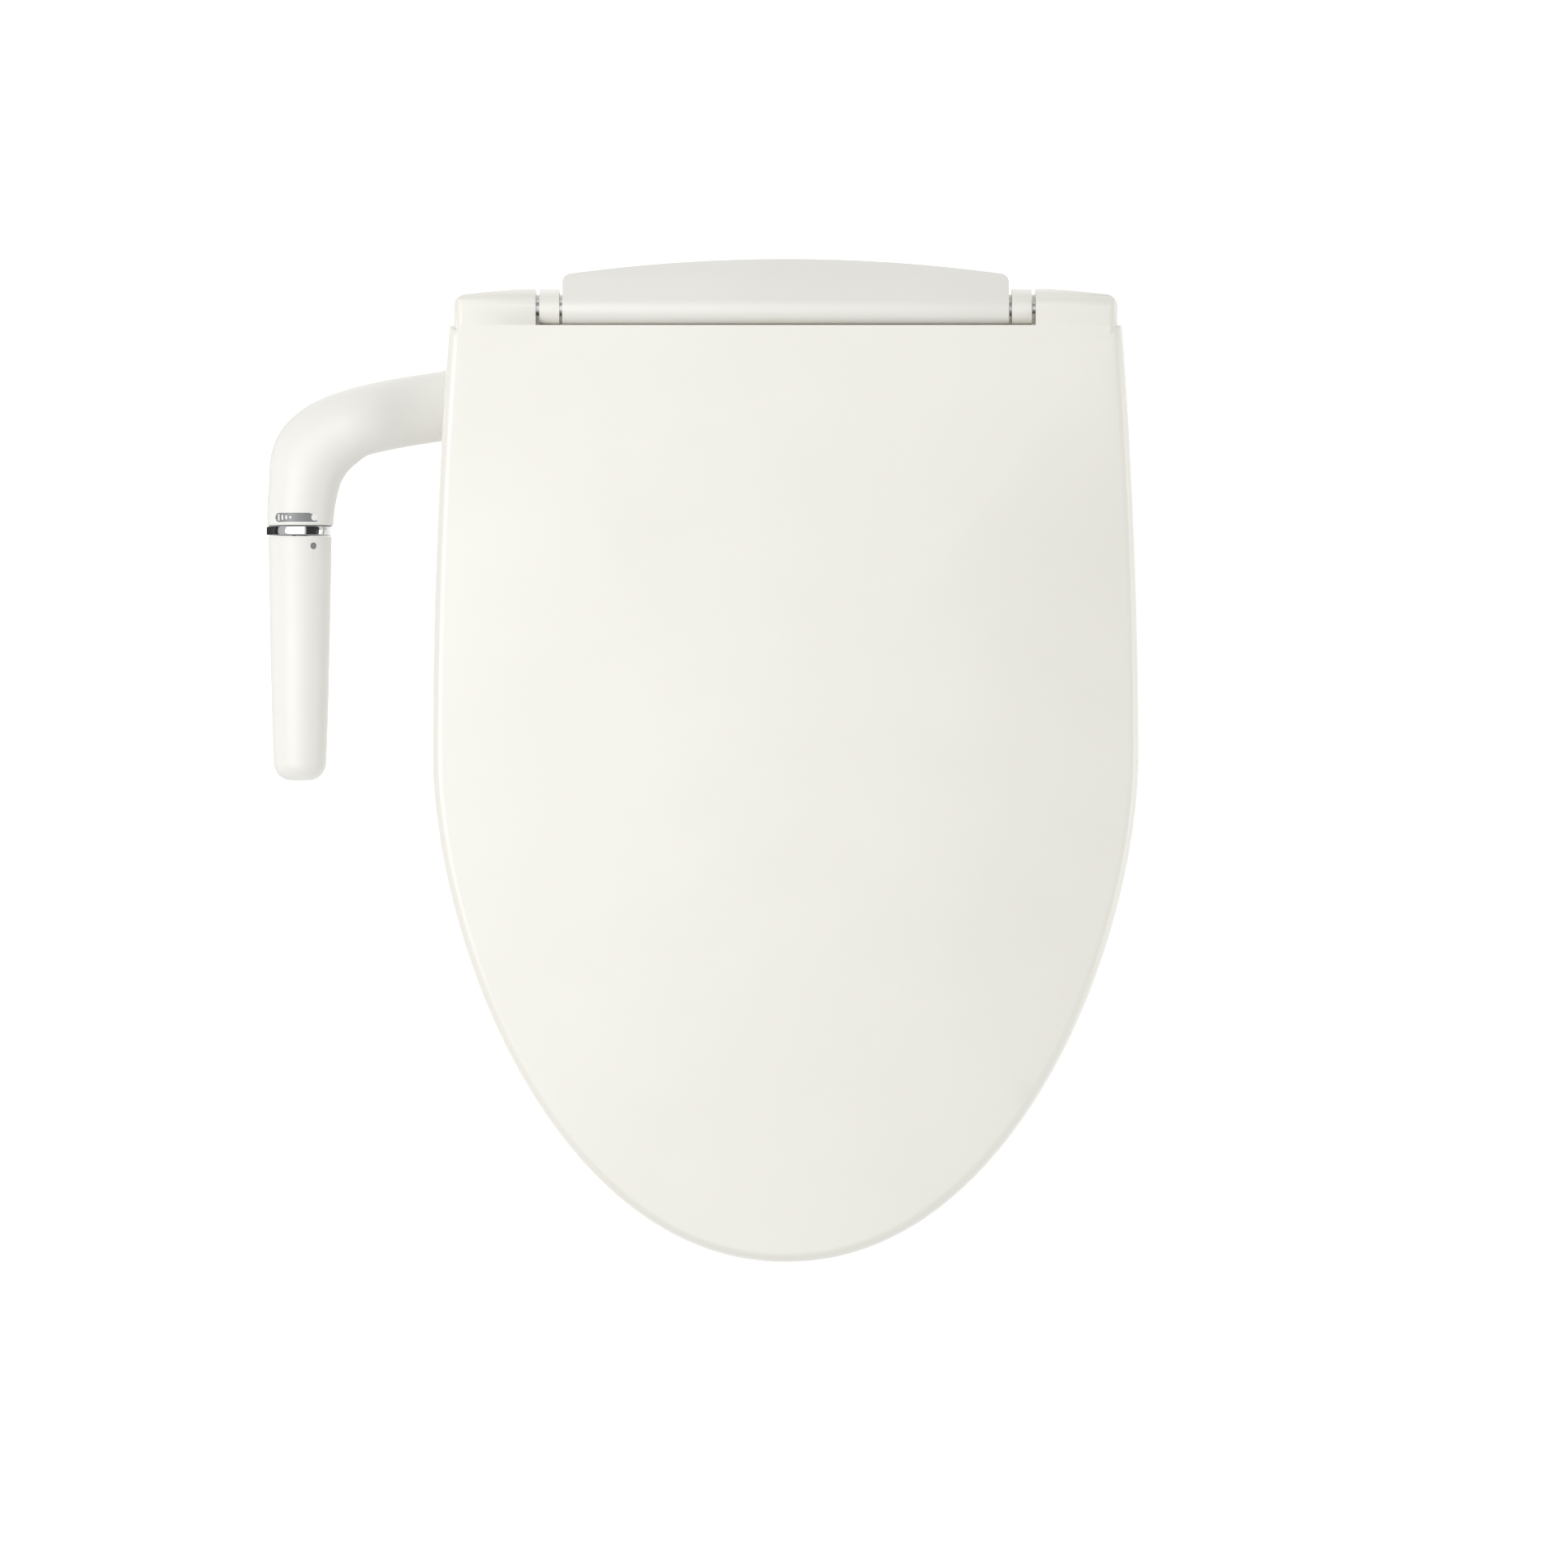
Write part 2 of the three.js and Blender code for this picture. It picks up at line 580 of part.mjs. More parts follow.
// The wand runs along its own Y axis in a group that is tilted and lifted.
const wandTilt = THREE.MathUtils.degToRad(WAND_TILT);
const wandFrame = (solid) => solid.rotate([WAND_TILT, 0, 0]).translate([0, 0, WAND_Z]);
const PITCH_R = (GEAR_MODULE * PINION_TEETH) / 2;
const RACK_BACK_X = WAND_R - 1;
const RACK_PITCH_X = WAND_R + 2.2;
const PINION_X = RACK_PITCH_X + PITCH_R + 0.2;
const PINION_Y = -51;
const RACK_HALF_T = 1.8;
const TIP_LENGTH = 22;
const wandPort = wandFrame(
  join(
    rod(WAND_TIP_R + 1, "y", -100, -70, 0, 0),
    box(0, RACK_PITCH_X + GEAR_MODULE + 0.8, -100, -70, -RACK_HALF_T - 0.8, RACK_HALF_T + 0.8),
  ),
);

const POD_X = [-WAND_R - 9, PINION_X + 11.6];
const POD_Y = [HOUSING_FRONT_Y, -42];
const POD_Z = WAND_Z - WAND_R - 18;
const pod = box(...POD_X, ...POD_Y, POD_Z, 6);
const podInside = box(
  POD_X[0] + HOUSING_WALL, POD_X[1] - HOUSING_WALL, POD_Y[0] + HOUSING_WALL,
  POD_Y[1] - HOUSING_WALL, POD_Z + HOUSING_WALL, 8,
);
const wandFloorSlot = box(
  -WAND_R - 2, RACK_PITCH_X + GEAR_MODULE + 1.3, POD_Y[1] - HOUSING_WALL - 1, -14, -2, 5,
);

// The mounting plate lies on the deck under the housing, clear of the wand.
const PLATE_PAD_X = [46, 94];
const PLATE_HALF_Y = 22;
const PLATE_BRIDGE_Y = [-6, 18];
const platePlan = (margin, z0, z1) => {
  const halfY = PLATE_HALF_Y + margin;
  const pad = box(PLATE_PAD_X[0] - margin, PLATE_PAD_X[1] + margin, -halfY, halfY, z0, z1);
  const [bridgeFront, bridgeRear] = [PLATE_BRIDGE_Y[0] - margin, PLATE_BRIDGE_Y[1] + margin];
  const bridge = box(-PLATE_PAD_X[1], PLATE_PAD_X[1], bridgeFront, bridgeRear, z0, z1);
  return join(mirrored(pad, -1), pad, bridge);
};
const BOLT_HEAD_R = 9;
const BOLT_HEAD_T = 3;
const headRoom = (margin) =>
  join(
    ...SIDES.map(([, sign]) =>
      rod(
        BOLT_HEAD_R + 2 + margin, "z", -1, PLATE_T + BOLT_HEAD_T + 1 + margin,
        (sign * BOLT_SPACING) / 2, 0, 16,
      ),
    ),
  );
const plateRoom = join(platePlan(RUN_GAP, -1, PLATE_T + RUN_GAP), headRoom(0));
const plateRoof = join(platePlan(HOUSING_WALL, 0, PLATE_T + 2.3), headRoom(HOUSING_WALL))
  .intersect(box(-FAR, FAR, -FAR, FAR, 0, FAR));

// Latch: a bar behind a tooth on the plate; pressing the button lines its notch up with the tooth.
const TOOTH_X = [84, 88];
const TOOTH_Y = [-3, 1];
const LATCH_Y = [2, 6];
const LATCH_Z = [PLATE_T + 0.6, PLATE_T + 3.6];
const BUTTON_TRAVEL = 4;
const latchRoom = box(TOOTH_X[0] - 8, FAR, TOOTH_Y[0] - 3, LATCH_Y[1] + 5, 0.6, LATCH_Z[1] + 1.4);
const latchRoof = box(
  TOOTH_X[0] - 10, HOUSING_HALF_WIDTH, TOOTH_Y[0] - 5, LATCH_Y[1] + 7, 0, HOUSING_SPLIT_Z,
);

const inletPlace = [-HOUSING_HALF_WIDTH + 16, 12];
const INLET_R = 9.5;
const inletHole = rod(INLET_R + GAP, "z", -5, 8, ...inletPlace);
const GLAND_X = HOUSING_HALF_WIDTH - 21;
const GLAND_Z = 6;
const GLAND_R = 4;
const glandHole = rod(GLAND_R + GAP, "y", 20, 40, GLAND_X, GLAND_Z, 16);
const ARM_PORT_HALF = [ARM_ROOT_WIDTH / 2 - 5, ARM_ROOT_HEIGHT / 2 - 3];
const armPort = box(
  -FAR, -HOUSING_HALF_WIDTH + HOUSING_WALL + 1,
  ARM_ROOT_Y - ARM_PORT_HALF[0], ARM_ROOT_Y + ARM_PORT_HALF[0],
  ARM_ROOT_Z - ARM_PORT_HALF[1], ARM_ROOT_Z + ARM_PORT_HALF[1],
);

const SCREW_PLACES = [
  [-BLOCK_HALF_WIDTH - 3.5, HOUSING_FRONT_Y + 10],
  [BLOCK_HALF_WIDTH + 3.5, HOUSING_FRONT_Y + 10],
  [-BLOCK_HALF_WIDTH - 5.5, HOUSING_REAR_Y - 8],
  [BLOCK_HALF_WIDTH + 5.5, HOUSING_REAR_Y - 8],
];
const POST_R = 4;
const SCREW_R = 1.5;
const SCREW_HEAD_R = 2.8;
const SCREW_HEAD_Z = [1, 3.2];
const post = (z0, z1) => join(...SCREW_PLACES.map(([x, y]) => rod(POST_R, "z", z0, z1, x, y, 12)));
const screwHole = (r, z0, z1) =>
  join(...SCREW_PLACES.map(([x, y]) => rod(r, "z", z0, z1, x, y, 12)));

const baseOuter = join(
  lowBody(0, 0, HOUSING_SPLIT_Z), blockColumn(0, 0, HOUSING_SPLIT_Z), pod,
);
const baseInside = join(
  lowBody(HOUSING_WALL, HOUSING_WALL, HOUSING_SPLIT_Z + 1),
  blockColumn(HOUSING_WALL, HOUSING_WALL, HOUSING_SPLIT_Z + 1),
  podInside,
);
const housingBase = cut(
  join(cut(baseOuter, baseInside), plateRoof, latchRoof, post(1, HOUSING_SPLIT_Z)),
  plateRoom, latchRoom, wandPort, wandFloorSlot, inletHole, glandHole, armPort,
  screwHole(SCREW_R + GAP, -2, 20), screwHole(SCREW_HEAD_R + 0.4, -2, SCREW_HEAD_Z[1] + GAP),
);
piece("housing_base", housingBase, casingWhite());

const COVER_Z = HOUSING_SPLIT_Z + GAP;
const coverOuter = join(lowBody(0, COVER_Z, HOUSING_TOP_Z), block(0, COVER_Z));
const coverInside = join(
  lowBody(HOUSING_WALL, 0, HOUSING_TOP_Z - HOUSING_WALL), block(HOUSING_WALL, 0),
);
const damperBores = join(
  ...SIDES.map(([, sign]) =>
    rod(SHAFT_R + RUN_GAP, "x", sign > 0 ? 100 : -130, sign > 0 ? 130 : -100, HINGE_Y, HINGE_Z),
  ),
);
const housingCover = cut(
  join(cut(coverOuter, coverInside), post(COVER_Z, HOUSING_TOP_Z - 1)),
  damperBores, armPort, screwHole(SCREW_R + GAP, 0, COVER_Z + 7),
);
piece("housing_cover", housingCover, casingWhite());

SCREW_PLACES.forEach(([x, y], i) => {
  const screw = join(
    rod(SCREW_HEAD_R, "z", ...SCREW_HEAD_Z, x, y, 12),
    rod(SCREW_R, "z", SCREW_HEAD_Z[1] - 0.2, COVER_Z + 6, x, y, 10),
  );
  piece(`cover_screw_${i + 1}`, screw, steel());
});

// ---- Mounting plate, bolts, washers and nuts ----
const tooth = box(...TOOTH_X, ...TOOTH_Y, PLATE_T - 1, PLATE_T + 3.4);
const SLOT_HALF = 10;
const slots = join(
  ...SIDES.map(([, sign]) => {
    const x = (sign * BOLT_SPACING) / 2;
    const r = BOLT_R + RUN_GAP;
    return prism(roundedRect(x - SLOT_HALF, x + SLOT_HALF, -r, r, r - 0.01), "z", -2, 8);
  }),
);
piece("mounting_plate", cut(join(platePlan(0, 0, PLATE_T), tooth), slots), greyPlastic());

const WASHER_T = 7;
const WASHER_R = [13, 8]; // at its foot and under the bowl's deck
const NUT_T = 13;
const NUT_FLANGE_R = 11;
const NUT_HUB_R = 7.5;
const NUT_WING_HALF = [17, 1.8];
for (const [side, sign] of SIDES) {
  const x = (sign * BOLT_SPACING) / 2;
  const bolt = join(
    rod(BOLT_HEAD_R, "z", PLATE_T + GAP, PLATE_T + GAP + BOLT_HEAD_T, x, 0, 16),
    rod(BOLT_R, "z", PLATE_T - BOLT_LENGTH, PLATE_T + 1, x, 0, 16),
  );
  piece(`bowl_bolt_${side}`, bolt, steel());
  const washerTop = -DECK_THICKNESS;
  const washer = cut(
    rod(WASHER_R[0], "z", washerTop - WASHER_T, washerTop, x, 0, 16, WASHER_R[1]),
    rod(BOLT_R + GAP, "z", -60, 0, x, 0, 16),
  );
  piece(`bowl_washer_${side}`, washer, blackRubber());
  const nutTop = washerTop - WASHER_T - GAP;
  const [wingX, wingY] = NUT_WING_HALF;
  const nut = cut(
    join(
      rod(NUT_FLANGE_R, "z", nutTop - 3, nutTop, x, 0, 16),
      rod(NUT_HUB_R, "z", nutTop - NUT_T, nutTop - 2, x, 0, 20),
      box(x - wingX, x + wingX, -wingY, wingY, nutTop - NUT_T, nutTop - 1),
    ),
    rod(BOLT_R + GAP, "z", -60, 0, x, 0, 16),
  );
  piece(`bowl_nut_${side}`, nut, greyPlastic());
}

// ---- Release button ----
const NOTCH_X = [TOOTH_X[0] + BUTTON_TRAVEL - 0.8, TOOTH_X[1] + BUTTON_TRAVEL + 0.8];
const BUTTON_INNER_X = HOUSING_HALF_WIDTH - 14;
const LATCH_END_X = BUTTON_INNER_X + 4;
const latchBar = cut(
  box(TOOTH_X[0] - 1, LATCH_END_X, ...LATCH_Y, ...LATCH_Z),
  box(...NOTCH_X, LATCH_Y[0] - 1, LATCH_Y[1] - 1.4, 0, 20),
);
piece("latch_bar", latchBar, steel());
const BUTTON_Z = [2.2, 8.6];
const buttonPlan = roundedRect(LATCH_Y[0] - 2, LATCH_Y[1] + 2, ...BUTTON_Z, 2, 3);
const button = cut(
  prism(buttonPlan, "x", BUTTON_INNER_X, HOUSING_HALF_WIDTH + BUTTON_TRAVEL + 1),
  box(
    BUTTON_INNER_X - 4, LATCH_END_X + GAP, LATCH_Y[0] - GAP, LATCH_Y[1] + GAP,
    LATCH_Z[0] - GAP, LATCH_Z[1] + GAP,
  ),
);
piece("release_button", button, greyPlastic());

// ---- Hinge dampers ----
function damper(side, sign, shaftEndX) {
  const inner = BLOCK_HALF_WIDTH - HOUSING_WALL - 1;
  const bodySolid = cut(
    rod(DAMPER_R, "x", inner - DAMPER_LENGTH, inner, HINGE_Y, HINGE_Z, 16),
    rod(SHAFT_R + GAP, "x", inner - 14, inner + 1, HINGE_Y, HINGE_Z),
  );
  piece(`${side}_damper_body`, mirrored(bodySolid, sign), greyPlastic());
  const throughEar = rod(SHAFT_R, "x", inner - 12, shaftEndX, HINGE_Y, HINGE_Z);
  const reduced = rod(SHAFT_END_R, "x", shaftEndX - 1, LOBE_INNER_X + 28, HINGE_Y, HINGE_Z);
  const shaft = sign > 0 ? join(throughEar, reduced) : throughEar;
  piece(`${side}_damper_shaft`, mirrored(shaft, sign), steel());
}
damper("lid", -1, LOBE_INNER_X + 28);
damper("ring", 1, EAR_OUTER_X + 0.4);

// ---- Wand ----
const wandGroup = new THREE.Group();
wandGroup.position.z = WAND_Z;
wandGroup.rotation.x = wandTilt;
group.add(wandGroup);
const TUBE_FRONT = WAND_FRONT + TIP_LENGTH + GAP;
const tube = cut(
  rod(WAND_R, "y", TUBE_FRONT, WAND_REAR, 0, 0, 16),
  rod(WAND_BORE_R, "y", TUBE_FRONT - 1, WAND_REAR + 1, 0, 0, 12),
);
const RACK_FRONT = -58;
const RACK_TOOTH_X = RACK_PITCH_X - 1;
const rackSeat = box(
  RACK_BACK_X - GAP, 20, RACK_FRONT - GAP, WAND_REAR + 1, -RACK_HALF_T - GAP, RACK_HALF_T + GAP,
);
piece("wand_tube", cut(tube, rackSeat), casingWhite(), wandGroup);

const toothPitch = Math.PI * GEAR_MODULE;
const rackTeeth = [];
for (let y = PINION_Y; y < WAND_REAR - 2; y += toothPitch) rackTeeth.push(y);
for (let y = PINION_Y - toothPitch; y > RACK_FRONT + 1; y -= toothPitch) rackTeeth.push(y);
const rackTooth = (y) =>
  prism(
    [
      [RACK_TOOTH_X - 0.5, y - 0.85],
      [RACK_PITCH_X + 0.7, y - 0.3],
      [RACK_PITCH_X + 0.7, y + 0.3],
      [RACK_TOOTH_X - 0.5, y + 0.85],
    ],
    "z", -RACK_HALF_T, RACK_HALF_T,
  );
const rack = join(
  box(RACK_BACK_X, RACK_TOOTH_X, RACK_FRONT, WAND_REAR - 0.5, -RACK_HALF_T, RACK_HALF_T),
  ...rackTeeth.map(rackTooth),
);
piece("wand_rack", rack, greyPlastic(), wandGroup);

const tip = cut(
  rod(WAND_TIP_R, "y", WAND_FRONT, WAND_FRONT + TIP_LENGTH, 0, 0, 16),
  rod(2.2, "y", WAND_FRONT + 4, WAND_FRONT + TIP_LENGTH + 1, 0, 0, 12),
  rod(1, "z", 0, 10, 0, WAND_FRONT + 8, 10),
  box(RACK_BACK_X - 1, 20, WAND_FRONT + TIP_LENGTH - 1.5, WAND_FRONT + TIP_LENGTH + 1, -3, 3),
);
piece("nozzle_tip", tip, chrome(), wandGroup);

const GUIDE_Y = [-78, -66];
const guide = cut(
  box(-WAND_R - 4.5, WAND_R + 7, ...GUIDE_Y, -WAND_R - 2.2, WAND_R + 2),
  rod(WAND_TIP_R + RUN_GAP, "y", -90, -60, 0, 0, 16),
  box(0, RACK_PITCH_X + GEAR_MODULE + 0.6, -90, -60, -RACK_HALF_T - 0.6, RACK_HALF_T + 0.6),
);
piece("wand_guide", guide, greyPlastic(), wandGroup);

// Pinion teeth sit in the rack's gaps when the wand is in.
const PINION_HALF_T = 1.6;
const pinionTooth = (index) => {
  const angle = 180 + ((index + 0.5) * 360) / PINION_TEETH;
  const at = (r, half) => {
    const a = THREE.MathUtils.degToRad(angle + THREE.MathUtils.radToDeg(half / r));
    return [PINION_X + r * Math.cos(a), PINION_Y + r * Math.sin(a)];
  };
  const outer = PITCH_R + 0.7 * GEAR_MODULE;
  const root = PITCH_R - GEAR_MODULE - 0.3;
  const flanks = [at(root, -0.8), at(outer, -0.25), at(outer, 0.25), at(root, 0.8)];
  return prism(flanks, "z", -PINION_HALF_T, PINION_HALF_T);
};
const MOTOR_Z = [3, 12.5];
const MOTOR_R = 7.4;
const MOTOR_SHAFT_R = 1.2;
const pinion = join(
  rod(PITCH_R - GEAR_MODULE, "z", -PINION_HALF_T, PINION_HALF_T, PINION_X, PINION_Y, 16),
  ...Array.from({ length: PINION_TEETH }, (_, i) => pinionTooth(i)),
  rod(MOTOR_SHAFT_R, "z", 1, 7, PINION_X, PINION_Y, 12),
);
piece("drive_pinion", pinion, greyPlastic(), wandGroup);
const motor = cut(
  rod(MOTOR_R, "z", ...MOTOR_Z, PINION_X, PINION_Y, 16),
  rod(MOTOR_SHAFT_R + 0.4, "z", 0, 8, PINION_X, PINION_Y, 12),
);
piece("wand_motor", motor, steel(), wandGroup);

// ---- Water and power ----
const INLET_Z = [-16, 7.7];
const INLET_BORE_R = 5.5;
const INLET_HEX_R = 12.5;
const inlet = cut(
  join(
    rod(INLET_R, "z", ...INLET_Z, ...inletPlace, 20),
    rod(INLET_HEX_R, "z", HOUSING_WALL + GAP, HOUSING_WALL + 3, ...inletPlace, 6),
  ),
  rod(INLET_BORE_R, "z", INLET_Z[0] - 1, INLET_Z[1] + 1, ...inletPlace, 16),
);
piece("water_inlet", inlet, chrome());
piece("inlet_filter", rod(INLET_BORE_R - GAP, "z", -12, 3, ...inletPlace, 12, 3), copper());
const gland = cut(
  join(
    rod(GLAND_R, "y", HOUSING_REAR_Y - 7, HOUSING_REAR_Y + 2, GLAND_X, GLAND_Z, 16),
    rod(GLAND_R + 2, "y", HOUSING_REAR_Y + GAP, HOUSING_REAR_Y + 2, GLAND_X, GLAND_Z, 16),
  ),
  rod(2.2, "y", 20, 40, GLAND_X, GLAND_Z, 12),
);
piece("lead_gland", gland, blackRubber());
const FLOOR_Z = HOUSING_WALL + 0.7;
const HEATER_X = [-92, -34];
const HEATER_Y = [-76, -40];
const HEATER_TOP_Z = HOUSING_TOP_Z - 4;
const PORT_R = 3;
const heaterPort = (y) => rod(PORT_R, "x", HEATER_X[1] - 2, HEATER_X[1] + 8, y, 12, 12);
const heater = join(
  box(...HEATER_X, ...HEATER_Y, FLOOR_Z, HEATER_TOP_Z), heaterPort(-50), heaterPort(-66),
);
piece("water_heater", heater, copper());
const SOLENOID_X = -118;
const SOLENOID_Y = -61;
const solenoid = join(
  box(SOLENOID_X - 14, SOLENOID_X + 14, SOLENOID_Y - 9, SOLENOID_Y + 9, FLOOR_Z, 13),
  rod(8, "z", 12, HOUSING_TOP_Z - 3.2, SOLENOID_X, SOLENOID_Y, 20),
  rod(PORT_R, "y", SOLENOID_Y + 8, SOLENOID_Y + 17, SOLENOID_X, 8, 12),
);
piece("solenoid_valve", solenoid, greyPlastic());
const BOARD_Z = 12;
piece(
  "control_board",
  join(
    box(36, 112, -76, -34, BOARD_Z, BOARD_Z + 1.6),
    box(44, 62, -70, -52, BOARD_Z + 1, BOARD_Z + 7.5),
    box(72, 84, -66, -60, BOARD_Z + 1, BOARD_Z + 5),
    rod(4, "z", BOARD_Z + 1, BOARD_Z + 7, 98, -50, 14),
  ),
  boardGreen(),
);

// ---- Arm ----
// The bend's points are from the grip's axis and the arm's root.
const ROOT_X = -HOUSING_HALF_WIDTH - 5;
const ARM_BEND = [
  [85, 0],
  [74.5, -1.7],
  [47.5, -6.4],
  [26.5, -12],
  [13.7, -20],
  [5, -33],
  [0.9, -51],
].map(([x, y]) => [GRIP_X + x, ARM_ROOT_Y + y]);
const armRoute = new THREE.CatmullRomCurve3(
  [[ROOT_X, ARM_ROOT_Y], ...ARM_BEND, [GRIP_X, ARM_END_Y - 4]].map(
    ([x, y]) => new THREE.Vector3(x, y, 0),
  ),
  false,
  "centripetal",
);
const ARM_STEPS = 13;
const ARM_LENGTH = armRoute.getLength();
// The arm starts to rise just outside the lid, and to slim just after it is round.
const LIFT_FROM = LID_HALF_WIDTH - LID_REAR_TAPER + 2.5 + ROOT_X;
const LIFT_TO = LIFT_FROM + ARM_LIFT_LENGTH;
const SLIM_FROM = LIFT_TO + 6.7;
const armLift = (t) => THREE.MathUtils.smoothstep(t * ARM_LENGTH, LIFT_FROM, LIFT_TO);
const armSlim = (t) => THREE.MathUtils.smoothstep(t * ARM_LENGTH, SLIM_FROM, ARM_LENGTH);
const armWiden = (t) => THREE.MathUtils.smoothstep(t * ARM_LENGTH, LIFT_TO - 7, LIFT_TO + 10);
const SWELL_HALF_LENGTH = 20;
function armSwell(t) {
  const away = (t * ARM_LENGTH - LIFT_TO - 24) / SWELL_HALF_LENGTH;
  return Math.abs(away) < 1 ? Math.cos((away * Math.PI) / 2) ** 2 : 0;
}
function armSection(t, wall, count = 18) {
  const centre = armRoute.getPointAt(t);
  const along = armRoute.getTangentAt(t);
  const across = new THREE.Vector3(-along.y, along.x, 0);
  const lift = armLift(t);
  const rootHalf = ARM_ROOT_WIDTH / 2 + ARM_BEND_WIDER * armWiden(t);
  const halfWidth = THREE.MathUtils.lerp(rootHalf, ARM_END_R, armSlim(t)) - wall;
  const halfHeight = THREE.MathUtils.lerp(ARM_ROOT_HEIGHT / 2, ARM_END_R, lift) - wall;
  const z = THREE.MathUtils.lerp(ARM_ROOT_Z, ARM_END_Z, lift);
  const bulge = THREE.MathUtils.lerp(0.75, 1, lift);
  const squared = (v) => Math.sign(v) * Math.abs(v) ** bulge;
  return Array.from({ length: count }, (_, i) => {
    const angle = (i / count) * 2 * Math.PI;
    const reach = halfWidth + (Math.cos(angle) < 0 ? ARM_SWELL * armSwell(t) : 0);
    return centre
      .clone()
      .addScaledVector(across, reach * squared(Math.cos(angle)))
      .setZ(z + halfHeight * squared(Math.sin(angle)));
  });
}
const armSolid = (wall) =>
  loft(Array.from({ length: ARM_STEPS + 1 }, (_, i) => armSection(i / ARM_STEPS, wall)));
const rootOutline = (wall) => armSection(0, wall).map((p) => [p.y, p.z]).reverse();
const armCore = join(
  armSolid(ARM_WALL), prism(rootOutline(ARM_WALL), "x", ROOT_X - 1, ROOT_X + 2),
);
const pastRoot = box(-FAR, ROOT_X + 1, -FAR, FAR, -FAR, FAR);
const beforeEnd = box(-FAR, 0, ARM_END_Y, FAR, -FAR, FAR);
const armShell = cut(armSolid(0), armCore).intersect(pastRoot).intersect(beforeEnd);
// The shells part along the arm's mid-height.
const partingLine = Array.from({ length: 9 }, (_, i) => {
  const t = ((i / 8) * LIFT_TO) / ARM_LENGTH;
  return [armRoute.getPointAt(t).x, THREE.MathUtils.lerp(ARM_ROOT_Z, ARM_END_Z, armLift(t))];
});
const partingAt = (shift, farZ) => {
  const line = partingLine.map(([x, z]) => [x, z + shift]);
  const points = [
    [ROOT_X + 30, ARM_ROOT_Z + shift],
    ...line,
    [-FAR, ARM_END_Z + shift],
    [-FAR, farZ],
    [ROOT_X + 30, farZ],
  ];
  return prism(farZ < 0 ? points.reverse() : points, "y", -200, 100);
};
const aroundGrip = (r, y0, y1) => rod(r, "y", y0, y1, GRIP_X, ARM_END_Z, 20);
const SCALE_Y = [-88.5, -83.8];
const SCALE_ANGLES = [-47, 40]; // degrees from the top, towards +X
const sector = (r0, r1, a0, a1, y0, y1) =>
  prism(
    [
      ...arc(GRIP_X, ARM_END_Z, r1, 90 - a1, 90 - a0, 10),
      ...arc(GRIP_X, ARM_END_Z, r0, 90 - a0, 90 - a1, 10),
    ],
    "y", y0, y1,
  );
const scaleSeat = sector(
  ARM_END_R - 0.9, ARM_END_R + 3, SCALE_ANGLES[0] - 1, SCALE_ANGLES[1] + 1,
  SCALE_Y[0] - GAP, SCALE_Y[1] + GAP,
);
piece("arm_upper_shell", cut(armShell.intersect(partingAt(GAP / 2, 90)), scaleSeat), warmWhite());
piece("arm_lower_shell", armShell.intersect(partingAt(-GAP / 2, -40)), warmWhite());
piece(
  "pressure_scale",
  sector(ARM_END_R - 0.6, ARM_END_R + 0.2, ...SCALE_ANGLES, ...SCALE_Y),
  greyPlastic(),
);

const flange = cut(
  prism(rootOutline(0), "x", ROOT_X + 1 + GAP, -HOUSING_HALF_WIDTH - GAP),
  prism(rootOutline(ARM_WALL + 1.5), "x", ROOT_X, 0),
);
piece("arm_flange", flange, greyPlastic());

// Two hoses run side by side from the housing to the valve.
const VALVE_REAR_Y = ARM_END_Y + 22.3;
const HOSE_R = 2.6;
const HOSE_APART = 10;
[
  ["supply", -HOSE_APART / 2],
  ["spray", HOSE_APART / 2],
].forEach(([name, shift]) => {
  const route = new THREE.CatmullRomCurve3(
    [
      [ROOT_X + 18, ARM_ROOT_Y - shift, ARM_ROOT_Z],
      [ARM_BEND[1][0], ARM_BEND[1][1] - shift, ARM_ROOT_Z],
      [ARM_BEND[2][0] + shift * 0.2, ARM_BEND[2][1] - shift, ARM_ROOT_Z + 3],
      [ARM_BEND[3][0] + shift * 0.5, ARM_BEND[3][1] - shift, ARM_END_Z - 2],
      [ARM_BEND[4][0] + shift * 0.8, ARM_BEND[4][1] - shift * 0.6, ARM_END_Z],
      [ARM_BEND[5][0] - 0.5 + shift, ARM_BEND[5][1] + 2, ARM_END_Z],
      [GRIP_X + 1 + shift, VALVE_REAR_Y + GAP + 0.6, ARM_END_Z],
    ].map(([x, y, z]) => new THREE.Vector3(x, y, z)),
    false,
    "centripetal",
  );
  const section = new THREE.Shape().absarc(0, 0, HOSE_R, 0, 2 * Math.PI);
  const hose = new THREE.ExtrudeGeometry(section, {
    steps: 14,
    curveSegments: 4,
    extrudePath: route,
  });
  piece(`${name}_hose`, solidOf(hose), greyPlastic());
});

const VALVE_R = 11;
const valveBody = cut(
  turnedY(
    [[0, VALVE_REAR_Y], [0, ARM_END_Y], [VALVE_R, ARM_END_Y], [VALVE_R, VALVE_REAR_Y]],
    GRIP_X, ARM_END_Z, 16,
  ),
  aroundGrip(STEM_R + GAP, ARM_END_Y - 1, ARM_END_Y + 13),
);
piece("valve_body", valveBody, copper());
const TRIM_Y = [ARM_END_Y - GAP - TRIM_RING_T, ARM_END_Y - GAP];
piece(
  "chrome_ring",
  cut(aroundGrip(ARM_END_R + 0.2, ...TRIM_Y), aroundGrip(STEM_R + RUN_GAP, -FAR, FAR)),
  chrome(),
);

// ---- Grip ----
const GRIP_TOP_Y = TRIM_Y[0] - RUN_GAP;
const GRIP_END_Y = GRIP_TOP_Y - GRIP_LENGTH;
